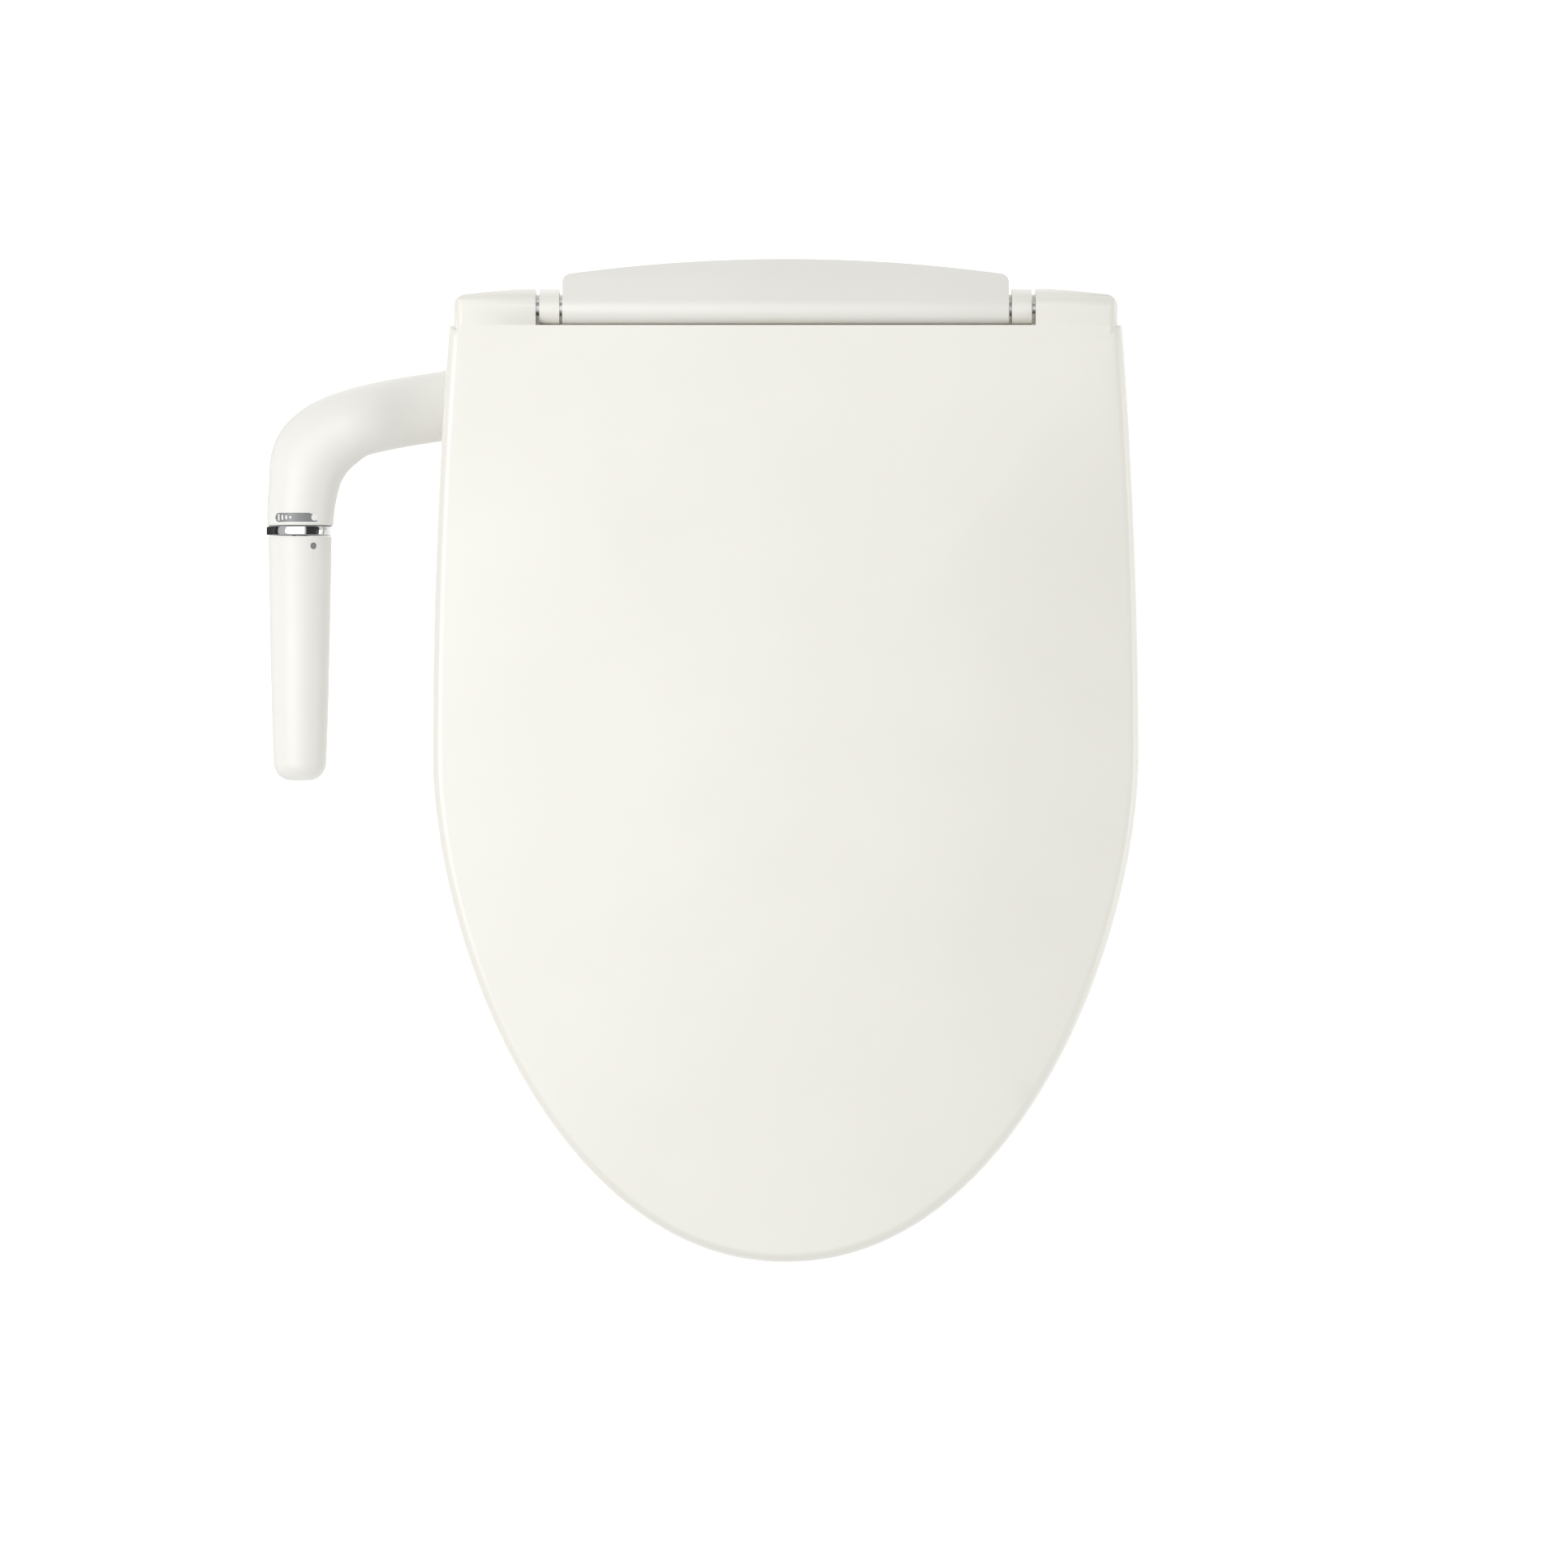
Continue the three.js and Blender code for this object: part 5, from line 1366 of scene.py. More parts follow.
@dataclass
class Housing:
    """The slim housing's cover, with the rear block between the ears."""

    palette: Palette
    half_width: float = BASE_BOX.high.x
    front_y: float = BASE_BOX.low.y
    side_rear_y: float = 31.0
    top_z: float = 23.0
    wall: float = 2.5
    block_half: float = 116.5
    block_rear: float = COVER_BOX.high.y - HINGE.y
    block_side_rear: float = 17.5
    barrel: float = 8.8

    def low_plan(self, margin: float) -> list[Point2]:
        """The low part's plan."""
        return rounded_rectangle(
            -self.half_width + margin, self.half_width - margin,
            self.front_y + margin, self.side_rear_y - margin, 12 - margin, 10,
        )

    def block_plan(self, margin: float) -> list[Point2]:
        """The rear block's plan, with its shallow rear arc."""
        half, corner = self.block_half - margin, 4.5
        sagitta = self.block_rear - self.block_side_rear
        radius = (self.block_half**2 + sagitta**2) / (2 * sagitta)
        centre_y = HINGE.y + self.block_rear - radius
        swing = math.degrees(math.asin((half - corner) / radius))
        corner_y = centre_y + math.sqrt(radius**2 - (half - corner) ** 2) - margin - corner
        return [
            (-half, HINGE.y - 30), (half, HINGE.y - 30),
            *arc(half - corner, corner_y, corner, 0, 90 - swing, 10),
            *arc(0, centre_y, radius - margin, 90 - swing, 90 + swing, 48)[1:-1],
            *arc(-half + corner, corner_y, corner, 90 + swing, 180, 10),
        ]

    def block(self, margin: float, bottom: float) -> Solid:
        """The rear block: a round front and top that run into a sloping rear."""
        radius = self.barrel - margin
        y0, z0 = arc(0, 0, radius, 60, 60, 1)[0]
        rear = self.block_rear + 4
        profile = [
            (-radius, bottom - HINGE.z), (rear, bottom - HINGE.z),
            (rear, z0 - (rear - y0) * math.tan(math.pi / 6)),
            *arc(0, 0, radius, 60, 180, 40),
        ]
        placed = [(HINGE.y + y, HINGE.z + z) for y, z in profile]
        body = Solid.prism(placed, Axis.X, -self.block_half + margin, self.block_half - margin)
        return body.common(Solid.prism(self.block_plan(margin), Axis.Z, -5, 80))

    def arm_port(self) -> Solid:
        """The window that the arm's hoses pass through."""
        flange = NodeBox.of("arm_flange").centre
        return Solid.box(
            (-200, flange.y - 14, 6.5), (-self.half_width + self.wall + 1, flange.y + 14, 19.5)
        )

    def screws(self) -> list[Vector]:
        """The cover screws' places."""
        return [NodeBox.of(f"cover_screw_{i}").centre for i in range(1, 5)]

    def cover(self) -> Solid:
        """The cover, hollow from below."""
        bottom = COVER_BOX.low.z
        low = Solid.prism(self.low_plan(0), Axis.Z, bottom, self.top_z).bevelled(1.6, 5, 60)
        body = low.join(self.block(0, bottom))
        body = body.cut(
            Solid.prism(self.low_plan(self.wall), Axis.Z, 0, self.top_z - self.wall),
            self.block(self.wall, 0),
            self.arm_port(),
        )
        for side in Side:
            bore = Solid.rod(4.5, Axis.X, 100, 130, (HINGE.y, HINGE.z), 48).mirrored(side)
            body = body.cut(bore)
        for place in self.screws():
            post = Solid.rod(4, Axis.Z, bottom, self.top_z - 1, (place.x, place.y), 32)
            body = body.join(post).cut(Solid.rod(1.8, Axis.Z, 0, bottom + 7, (place.x, place.y), 24))
        return body

    def build(self) -> None:
        """Makes and dresses the cover."""
        fit(
            self.palette, self.cover().bevelled(0.5, 3, 50), "cover_shell", CASING_WHITE, "housing",
            "housing_cover", angle=MOULDED_ANGLE
        )


# ---- Fasteners ----


@dataclass
class Fasteners:
    """Bowl bolts, washers, wing nuts and the cover's screws."""

    palette: Palette
    trees: RepeatTrees
    bolt_radius: float = 4.0
    pitch: float = 1.6

    def thread(self, radius: float, low: float, high: float, centre: Point2, finish: Finish) -> Solid:
        """A helical ridge on a round bar.

        Args:
            radius: The bar's radius, with the thread's crests.
            low: Where the thread starts.
            high: Where it ends.
            centre: The bar's centre in X and Y.
            finish: Its finish.

        Returns:
            The ridge.
        """
        ridge = 0.55
        seed = points_mesh([(0, 0, 0)])
        place = Matrix.Translation((centre[0] * MM, centre[1] * MM, low * MM))
        return grown(self.trees.thread, seed, {
            "Radius": (radius - ridge) * MM, "Length": (high - low) * MM,
            "Turns": (high - low) / self.pitch, "Ridge": ridge * MM, "Material": self.palette[finish],
        }, place)

    def bolt(self, side: Side) -> None:
        """A bowl bolt with its flat head and threaded shank."""
        node = f"bowl_bolt_{side.label}"
        box = NodeBox.of(node)
        centre = (box.centre.x, box.centre.y)
        head, core = box.size.x / 2, self.bolt_radius - 0.55
        under = box.high.z - 3.0
        profile = [
            (0.0, box.low.z), (core - 0.8, box.low.z), (core, box.low.z + 1), (core, under - 12),
            (self.bolt_radius, under - 11.5), (self.bolt_radius, under), (head - 0.4, under),
            (head, under + 0.5), (head, box.high.z - 1.2), (head - 0.7, box.high.z - 0.5),
            (head - 1.8, box.high.z - 0.1), (head - 2.6, box.high.z), (0.0, box.high.z),
        ]
        slot = Solid.box(
            (centre[0] - 6, centre[1] - 0.9, box.high.z - 1.4),
            (centre[0] + 6, centre[1] + 0.9, box.high.z + 1)
        )
        body = Solid.turned(profile, Axis.Z, centre, 48).cut(slot)
        ridge = self.thread(self.bolt_radius, box.low.z + 1.5, under - 12.5, centre, STEEL)
        item = several(f"deck_bolt_{side.label}", [body, ridge], self.palette[STEEL])
        settle(item, "housing", STEEL.slot, node)

    def washer(self, side: Side) -> None:
        """A soft conical washer with a rounded lip."""
        node = f"bowl_washer_{side.label}"
        box = NodeBox.of(node)
        wide, bore, low, high = box.size.x / 2, 4.3, box.low.z, box.high.z
        profile = [
            (bore, low), (wide - 1.2, low), (wide - 0.3, low + 0.4), (wide, low + 1.3),
            (wide - 0.5, low + 2.3),
            (wide - 2.2, low + 3.2), (8.8, high - 0.9), (8.0, high - 0.2), (7.4, high), (bore, high),
        ]
        fit(
            self.palette, Solid.turned(profile, Axis.Z, (box.centre.x, box.centre.y), 56),
            f"deck_washer_{side.label}", RUBBER, "housing", node
        )

    def nut(self, side: Side) -> None:
        """A wing nut that is tightened by hand."""
        node = f"bowl_nut_{side.label}"
        box = NodeBox.of(node)
        x, y, low, high = box.centre.x, box.centre.y, box.low.z, box.high.z
        hub = Solid.turned([
            (0.0, low), (6.6, low), (7.3, low + 0.8), (7.6, high - 3.4), (10.4, high - 3.0),
            (11.0, high - 2.3), (11.0, high - 0.5), (10.5, high), (0.0, high),
        ], Axis.Z, (x, y), 56)
        wing_profile = [
            (-17.0, low + 1.5), (-15.5, low), (-8.0, low + 1.0), (8.0, low + 1.0), (15.5, low),
            (17.0, low + 1.5), (17.0, high - 4.0), (14.5, high - 1.6), (-14.5, high - 1.6),
            (-17.0, high - 4.0),
        ]
        wings = Solid.prism([(x + u, v) for u, v in wing_profile], Axis.Y, y - 1.7, y + 1.7)
        body = hub.join(wings).cut(
            Solid.rod(4.3, Axis.Z, low - 1, high + 1, (x, y), 40)
        ).bevelled(0.5, 3, 45)
        fit(
            self.palette, body, f"deck_wing_nut_{side.label}", GREY_PLASTIC, "housing", node,
            angle=MOULDED_ANGLE
        )

    def cover_screws(self) -> None:
        """Cross-head screws, copied to the cover's four posts."""
        boxes = [NodeBox.of(f"cover_screw_{i}") for i in range(1, 5)]
        height = boxes[0].size.z
        profile = [
            (0.0, 0.0), (2.3, 0.0), (2.8, 0.35), (2.8, 1.5), (1.5, 2.2), (1.2, 2.6),
            (1.2, height - 1.4),
            (0.2, height), (0.0, height),
        ]
        cross = [
            Solid.box((-1.7, -0.35, -1), (1.7, 0.35, 1.1)),
            Solid.box((-0.35, -1.7, -1), (0.35, 1.7, 1.1))
        ]
        shape = Solid.turned(profile, Axis.Z, (0, 0), 24).cut(*cross).piece(
            "screw_shape", self.palette[STEEL]
        )
        seed = points_mesh([(b.centre.x, b.centre.y, b.low.z) for b in boxes])
        copies = grown(self.trees.copies, seed, {
            "Shape": shape, "Turn Each": 0.7, "Material": self.palette[STEEL],
        })
        bpy.data.objects.remove(shape)
        fit(
            self.palette, copies, "cover_screws", STEEL, "housing",
            *[f"cover_screw_{i}" for i in range(1, 5)]
        )

    def build(self) -> None:
        """Makes and dresses every fastener."""
        for side in Side:
            self.bolt(side)
            self.washer(side)
            self.nut(side)
        self.cover_screws()


# ---- Arm ----


@dataclass
class ControlArm:
    """The bent arm's two shells, its graded scale and its marks."""

    palette: Palette
    root_x: float = NodeBox.of("arm_flange").low.x - 1.3
    root_y: float = NodeBox.of("arm_flange").centre.y
    root_z: float = 13.0
    root_width: float = 36.4
    root_height: float = 19.0
    end_radius: float = 17.4
    end_y: float = NodeBox.of("arm_upper_shell").low.y
    wall: float = 2.5
    mark_angle: float = 28.0
    bend_wider: float = 1.5
    end_rounding: float = 1.2
    swell: float = 2.6
    lift_from: float = 14.9
    lift_to: float = 68.5

    def route(self) -> list[Vector]:
        """The arm's centreline in plan, one smooth curve through a few points."""
        knots = [
            (self.root_x, self.root_y), (-169.5, self.root_y), (-180.0, -27.0), (-207.0, -31.7),
            (-228.0, -37.3), (-240.8, -45.3), (-249.5, -58.3), (-253.6, -76.3),
            (GRIP_AXIS.x, self.end_y - 4.0),
        ]
        return smooth_route([Vector((x, y, 0)) for x, y in knots], 90)

    def bulge(self, distance: float) -> float:
        """The outer side's swelling at a distance along the arm."""
        away = (distance - self.lift_to - 24) / 20
        return self.swell * math.cos(away * math.pi / 2) ** 2 if abs(away) < 1 else 0.0

    def _section(
        self, centre: Vector, along: Vector, place: Point2, wall: float, count: int = 56
    ) -> Ring:
        """One ring of the arm: a flat oval at the root that becomes round."""
        distance, length = place
        across = Vector((-along.y, along.x, 0)).normalized()
        lift = smoothstep(distance, self.lift_from, self.lift_to)
        slim = smoothstep(distance, self.lift_to + 6.7, length)
        wider = self.bend_wider * smoothstep(distance, self.lift_to - 7, self.lift_to + 10)
        half_width = mix(self.root_width / 2 + wider, self.end_radius, slim) - wall
        half_height = mix(self.root_height / 2, self.end_radius, lift) - wall
        z, bulge = mix(self.root_z, GRIP_AXIS.z, lift), mix(0.75, 1.0, lift)
        ring = []
        for i in range(count):
            angle = 2 * math.pi * i / count
            reach = half_width + (self.bulge(distance) if math.cos(angle) < 0 else 0)
            point = centre + across * (reach * signed_power(math.cos(angle), bulge))
            ring.append(
                Vector((point.x, point.y, z + half_height * signed_power(math.sin(angle), bulge)))
            )
        return ring

    def _tube(self, wall: float) -> Solid:
        """The arm as a solid bar, made slimmer by a wall."""
        route = self.route()
        last = len(route) - 1
        length = sum((b - a).length for a, b in zip(route, route[1:]))
        rings = []
        for i, centre in enumerate(route):
            along = route[min(i + 1, last)] - route[max(i - 1, 0)]
            rings.append(self._section(centre, along, (length * i / last, length), wall))
        if wall:
            rings.insert(0, [p + Vector((2, 0, 0)) for p in rings[0]])
            rings.append([p + Vector((0, -3, 0)) for p in rings[-1]])
        return Solid.loft(rings)

    def shells(self) -> tuple[Solid, Solid]:
        """The upper and the lower shell, which part at mid-height."""
        body = self._tube(0).cut(self._tube(self.wall))
        body = body.common(Solid.box((-400, self.end_y, -50), (0, 100, 100)))
        lip = self.end_radius - self.end_rounding
        edge = [(lip + 6, self.end_y - 1), (lip + 6, self.end_y + self.end_rounding)]
        edge += [
            (lip + self.end_rounding * math.cos(a), self.end_y + self.end_rounding * (1 - math.sin(a)))
            for a in (math.radians(10 * i) for i in range(10))
        ]
        edge.append((lip, self.end_y - 1))
        body = body.cut(Solid.turned(edge, Axis.Y, (GRIP_AXIS.x, GRIP_AXIS.z), 96))
        route = self.route()
        line, step = [], (route[1] - route[0]).length
        for i in range(0, len(route) // 2 + 6, 2):
            lift = smoothstep(i * step, self.lift_from, self.lift_to)
            line.append((route[i].x, mix(self.root_z, GRIP_AXIS.z, lift)))
        halves = []
        for shift, far in ((CLEARANCE / 2, 90.0), (-CLEARANCE / 2, -40.0)):
            outline = [
                (self.root_x + 30, self.root_z + shift),
                *[(x, z + shift) for x, z in line],
                (-320.0, GRIP_AXIS.z + shift), (-320.0, far), (self.root_x + 30, far),
            ]
            halves.append(body.common(Solid.prism(outline, Axis.Y, -200, 100)))
        return halves[0], halves[1]

    def on_end(self, angle: float, y: float, radius: float) -> Vector:
        """A point on the arm's round end; the angle is in degrees from the top, towards +X."""
        a = math.radians(angle)
        return Vector((GRIP_AXIS.x + radius * math.sin(a), y, GRIP_AXIS.z + radius * math.cos(a)))

    def _patch(self, outline: Sequence[Point2], inner: float, outer: float) -> Solid:
        """A thin raised patch on the arm's end.

        Args:
            outline: Points of (angle, y), anticlockwise.
            inner: Radius of the patch's underside.
            outer: Radius of its face.

        Returns:
            The patch.
        """
        columns = 24
        left = min(a for a, _ in outline)
        right = max(a for a, _ in outline)
        rings = []
        for i in range(columns + 1):
            a = mix(left + 0.05, right - 0.05, i / columns)
            spans = self._span(outline, a)
            rings.append([
                self.on_end(a, spans[0], inner), self.on_end(a, spans[1], inner),
                self.on_end(a, spans[1], outer), self.on_end(a, spans[0], outer),
            ])
        return Solid.loft(rings)

    @staticmethod
    def _span(outline: Sequence[Point2], a: float) -> Point2:
        """The lowest and highest y of an outline at one angle."""
        found = []
        for (a0, y0), (a1, y1) in zip(outline, [*outline[1:], outline[0]]):
            if (a0 - a) * (a1 - a) <= 0 and a0 != a1:
                found.append(y0 + (y1 - y0) * (a - a0) / (a1 - a0))
        return min(found), max(found)

    def scale_marks(self) -> None:
        """The grey inlay with its round off mark and bars that grow towards full flow."""
        box = NodeBox.of("pressure_scale")
        mid, half = box.centre.y, box.size.y / 2
        degrees_per_mm = math.degrees(1 / self.end_radius)
        end = half * degrees_per_mm
        pill = [
            *[
                (
                    38 - end + end * math.cos(t), mid + half * math.sin(t)
                ) for t in (math.pi * (i / 12 - 0.5) for i in range(13))
            ],
            *[
                (
                    -45 + end + end * math.cos(t), mid + half * math.sin(t)
                ) for t in (math.pi * (i / 12 + 0.5) for i in range(13))
            ],
        ]
        face = self.end_radius + 0.12
        inlay = self._patch(pill, self.end_radius - 0.6, face)
        fit(
            self.palette, inlay, "scale_inlay", MARK_GREY, "housing", "pressure_scale",
            angle=MOULDED_ANGLE
        )
        dot_radius = 1.75
        dot = [
            (
                self.mark_angle + dot_radius * degrees_per_mm * math.cos(t),
                mid + dot_radius * math.sin(t)
            )
            for t in (2 * math.pi * i / 24 for i in range(24))
        ]
        marks = [self._patch(dot, face - 0.2, face + 0.08)]
        for i in range(4):
            centre, tall = -14.0 - 7.5 * i, 0.55 + 0.38 * i
            bar = [
                (centre - 1.6, mid - tall), (centre + 1.6, mid - tall), (centre + 1.6, mid + tall),
                (centre - 1.6, mid + tall)
            ]
            marks.append(self._patch(bar, face - 0.2, face + 0.08))
        item = several("scale_marks", marks, self.palette[MARK_WHITE], MOULDED_ANGLE)
        settle(item, "housing", MARK_WHITE.slot)

    def build(self) -> None:
        """Makes and dresses every arm piece."""
        upper, lower = self.shells()
        fit(
            self.palette, upper, "arm_top_shell", ARM_WHITE, "housing", "arm_upper_shell",
            angle=MOULDED_ANGLE
        )
        fit(
            self.palette, lower, "arm_bottom_shell", ARM_WHITE, "housing", "arm_lower_shell",
            angle=MOULDED_ANGLE
        )
        self.scale_marks()


def smooth_route(knots: Sequence[Vector], steps: int) -> list[Vector]:
    """Samples a centripetal spline evenly.

    Args:
        knots: Points that the curve passes through.
        steps: How many equal lengths.

    Returns:
        The curve's points.
    """
    padded = [2 * knots[0] - knots[1], *knots, 2 * knots[-1] - knots[-2]]
    dense = [knots[0].copy()]
    for p0, p1, p2, p3 in zip(padded, padded[1:], padded[2:], padded[3:]):
        t0, t1 = 0.0, math.sqrt((p1 - p0).length)
        t2 = t1 + math.sqrt((p2 - p1).length)
        t3 = t2 + math.sqrt((p3 - p2).length)
        for i in range(1, 41):
            t = mix(t1, t2, i / 40)
            a1, a2, a3 = p0.lerp(
                p1, (t - t0) / (t1 - t0)
            ), p1.lerp(p2, (t - t1) / (t2 - t1)), p2.lerp(p3, (t - t2) / (t3 - t2))
            b1, b2 = a1.lerp(a2, (t - t0) / (t2 - t0)), a2.lerp(a3, (t - t1) / (t3 - t1))
            dense.append(b1.lerp(b2, (t - t1) / (t2 - t1)))
    lengths = [0.0]
    for a, b in zip(dense, dense[1:]):
        lengths.append(lengths[-1] + (b - a).length)
    route, k = [], 0
    for i in range(steps + 1):
        target = lengths[-1] * i / steps
        while k < len(lengths) - 2 and lengths[k + 1] < target:
            k += 1
        share = (target - lengths[k]) / (lengths[k + 1] - lengths[k])
        route.append(dense[k].lerp(dense[k + 1], min(1.0, share)))
    return route


# ---- Grip ----


@dataclass
class TwistGrip:
    """The chrome ring, the tapered grip and its index dot."""

    palette: Palette
    length: float = 128.0
    end_radius: float = 9.5
    wall: float = 2.8
    top_y: float = NodeBox.of("grip_sleeve").high.y
    mark_angle: float = 28.0

    @property
    def centre(self) -> Point2:
        """The grip's axis in X and Z."""
        return GRIP_AXIS.x, GRIP_AXIS.z

    def radius(self, distance: float) -> float:
        """The grip's radius at a distance from its top."""
        t = distance / self.length
        return 16.6 - 2.2 * t - 1.1 * t**4

    def _profile(self, wall: float) -> list[Point2]:
        """The grip's side and round end, made slimmer by a wall."""
        straight = self.length - self.end_radius
        side = [
            (self.radius(straight * i / 20) - wall, self.top_y - straight * i / 20) for i in range(21)
        ]
        last, corner = side[-1][0], self.end_radius - wall
        nose = []
        for i in range(1, 15):
            angle = math.radians(90 * i / 14)
            nose.append((last - corner * (1 - math.cos(angle)), side[-1][1] - corner * math.sin(angle)))
        return [*side, *nose]

    def sleeve(self) -> Solid:
        """The grip's sleeve, with softly rounded lips at its open end."""
        outer, inner = self._profile(0), self._profile(self.wall)
        outer[0:1] = [
            (outer[0][0] - 0.5, self.top_y), (outer[0][0] - 0.12, self.top_y - 0.12),
            (outer[0][0], self.top_y - 0.5)
        ]
        profile = [*inner, (0.0, inner[-1][1]), (0.0, outer[-1][1]), *reversed(outer)]
        return Solid.turned(profile, Axis.Y, self.centre, 96)

    def index(self, radius: float, inner: float, outer: float) -> Solid:
        """A round pin set in the sleeve at the mark's angle."""
        y = NodeBox.of("index_dot").centre.y
        pin = Solid.rod(radius, Axis.Z, inner, outer, (0, 0), 32)
        turn = Matrix.Rotation(math.radians(self.mark_angle), 4, "Y")
        return pin.moved(Matrix.Translation((GRIP_AXIS.x, y, GRIP_AXIS.z)) @ turn)

    def trim_ring(self) -> Solid:
        """The polished ring between the arm and the grip."""
        box = NodeBox.of("chrome_ring")
        outer, low, high, bore = box.size.x / 2, box.low.y, box.high.y, 4.5
        profile = [
            (bore, low), (outer - 0.7, low), (outer - 0.2, low + 0.2), (outer, low + 0.7),
            (outer, high - 0.7), (outer - 0.2, high - 0.2), (outer - 0.7, high), (bore, high),
        ]
        return Solid.turned(profile, Axis.Y, self.centre, 96)

    def core(self) -> Solid:
        """The core that joins the sleeve to the stem, grooved for glue."""
        box = NodeBox.of("grip_core")
        low, high, bore = box.low.y, box.high.y, 4.3
        profile = [(bore, low)]
        for i in range(9):
            y = mix(low, high, i / 8)
            r = self.radius(self.top_y - y) - self.wall - 0.4
            if 0 < i < 8:
                profile += [(r, y - 0.8), (r - 0.6, y - 0.4), (r - 0.6, y + 0.4), (r, y + 0.8)]
            else:
                profile.append((r, y))
        profile.append((bore, high))
        return Solid.turned(profile, Axis.Y, self.centre, 64)

    def stem(self) -> Solid:
        """The valve's stem, with chamfered ends and a seal groove."""
        box = NodeBox.of("valve_stem")
        low, high, r = box.low.y, box.high.y, box.size.x / 2
        profile = [
            (0.0, low), (r - 0.5, low), (r, low + 0.5), (r, high - 7), (r - 0.6, high - 6.7),
            (r - 0.6, high - 5.3),
            (r, high - 5), (r, high - 0.5), (r - 0.5, high), (0.0, high),
        ]
        return Solid.turned(profile, Axis.Y, self.centre, 48)

    def build(self) -> None:
        """Makes and dresses every grip piece."""
        fit(self.palette, self.core(), "grip_inner_core", GREY_PLASTIC, "grip", "grip_core")
        fit(self.palette, self.stem(), "grip_valve_stem", STEEL, "grip", "valve_stem")
        fit(
            self.palette, self.trim_ring(), "trim_ring", CHROME, "housing", "chrome_ring",
            angle=MOULDED_ANGLE
        )
        outer = self.radius(5.2)
        seat = self.index(1.75, outer - 1.1, outer + 3)
        fit(
            self.palette, self.sleeve().cut(seat), "twist_grip", ARM_WHITE, "grip", "grip_sleeve",
            angle=MOULDED_ANGLE
        )
        dot = self.index(1.55, outer - 0.9, outer + 0.05).bevelled(0.2, 2, 50)
        fit(self.palette, dot, "grip_index_dot", MARK_GREY, "grip", "index_dot", angle=MOULDED_ANGLE)


# ---- Underside and latch ----


@dataclass
class Underside:
    """The housing's base, the mounting plate and the quick-release latch."""

    palette: Palette
    groove_depth: float = 0.45

    def button(self) -> Solid:
        """The release button, with three finger grooves across its face."""
        box = NodeBox.of("release_button")
        body = Solid.of_node("release_button").bevelled(0.5, 3, 50)
        for step in (-1.6, 0.0, 1.6):
            middle = box.centre.z + step
            body = body.cut(Solid.box(
                (box.high.x - self.groove_depth, box.low.y + 1.2, middle - 0.3),
                (box.high.x + 1, box.high.y - 1.2, middle + 0.3),
            ))
        return body

    def build(self) -> None:
        """Makes and dresses every piece of the underside."""
        base = Solid.of_node("housing_base").bevelled(0.45, 2, 50)
        fit(
            self.palette, base, "base_shell", CASING_WHITE, "housing", "housing_base",
            angle=MOULDED_ANGLE
        )
        plate = Solid.of_node("mounting_plate").bevelled(0.6, 3, 50)
        fit(
            self.palette, plate, "deck_plate", GREY_PLASTIC, "housing", "mounting_plate",
            angle=MOULDED_ANGLE
        )
        bar = Solid.of_node("latch_bar").bevelled(0.3, 2, 50)
        fit(self.palette, bar, "sliding_latch", STEEL, "release", "latch_bar", angle=MOULDED_ANGLE)
        fit(
            self.palette, self.button(), "release_key", GREY_PLASTIC, "release", "release_button",
            angle=MOULDED_ANGLE
        )


# ---- Hinge dampers ----


@dataclass
class HingeDampers:
    """The two oil dampers inside the rear block, with their shafts."""

    palette: Palette
    shaft_radius: float = 4.0
    end_radius: float = 3.0

    def body(self, node: str) -> Solid:
        """A capped cylinder with two clamped grooves and a bore for its shaft."""
        box = NodeBox.of(node)
        sign = 1 if box.centre.x > 0 else -1
        inner, outer = sorted((abs(box.low.x), abs(box.high.x)))
        radius, bore = box.size.y / 2, self.shaft_radius + CLEARANCE
        profile = [(0.0, inner), (radius - 0.8, inner), (radius, inner + 0.8)]
        for place in (inner + 6, outer - 17):
            profile += [
                (radius, place), (radius - 0.5, place + 0.5), (radius - 0.5, place + 1.7),
                (radius, place + 2.2)
            ]
        profile += [
            (radius, outer - 0.6), (radius - 0.6, outer), (bore, outer), (bore, outer - 14),
            (0.0, outer - 14),
        ]
        return Solid.turned(
            profile, Axis.X, (HINGE.y, HINGE.z), 48
        ).mirrored(Side.RIGHT if sign > 0 else Side.LEFT)

    def shaft(self, node: str) -> Solid:
        """A chamfered shaft, stepped down where it enters the far knuckle, with two flats."""
        box = NodeBox.of(node)
        sign = 1 if box.centre.x > 0 else -1
        inner, outer = sorted((abs(box.low.x), abs(box.high.x)))
        radius = self.shaft_radius
        profile = [(0.0, inner), (radius - 0.5, inner), (radius, inner + 0.5)]
        if sign > 0:
            step, end = 128.8, self.end_radius
            profile += [
                (radius, step - 0.5), (radius - 0.5, step), (end, step), (end, outer - 0.6),
                (end - 0.6, outer)
            ]
        else:
            end = radius
            profile += [(radius, outer - 0.6), (radius - 0.6, outer)]
        profile.append((0.0, outer))
        solid = Solid.turned(profile, Axis.X, (HINGE.y, HINGE.z), 48)
        for z0, z1 in ((-9.0, 0.5 - end), (end - 0.5, 9.0)):
            solid = solid.cut(Solid.box(
                (outer - 18, HINGE.y - 9, HINGE.z + z0), (outer + 1, HINGE.y + 9, HINGE.z + z1)
            ))
        return solid.mirrored(Side.RIGHT if sign > 0 else Side.LEFT)

    def build(self) -> None:
        """Makes and dresses both dampers."""
        for name in ("lid", "ring"):
            fit(
                self.palette, self.body(f"{name}_damper_body"), f"{name}_oil_damper", GREY_PLASTIC,
                "housing", f"{name}_damper_body"
            )
            fit(
                self.palette, self.shaft(f"{name}_damper_shaft"), f"{name}_hinge_shaft", STEEL, name,
                f"{name}_damper_shaft"
            )


# ---- Wand ----


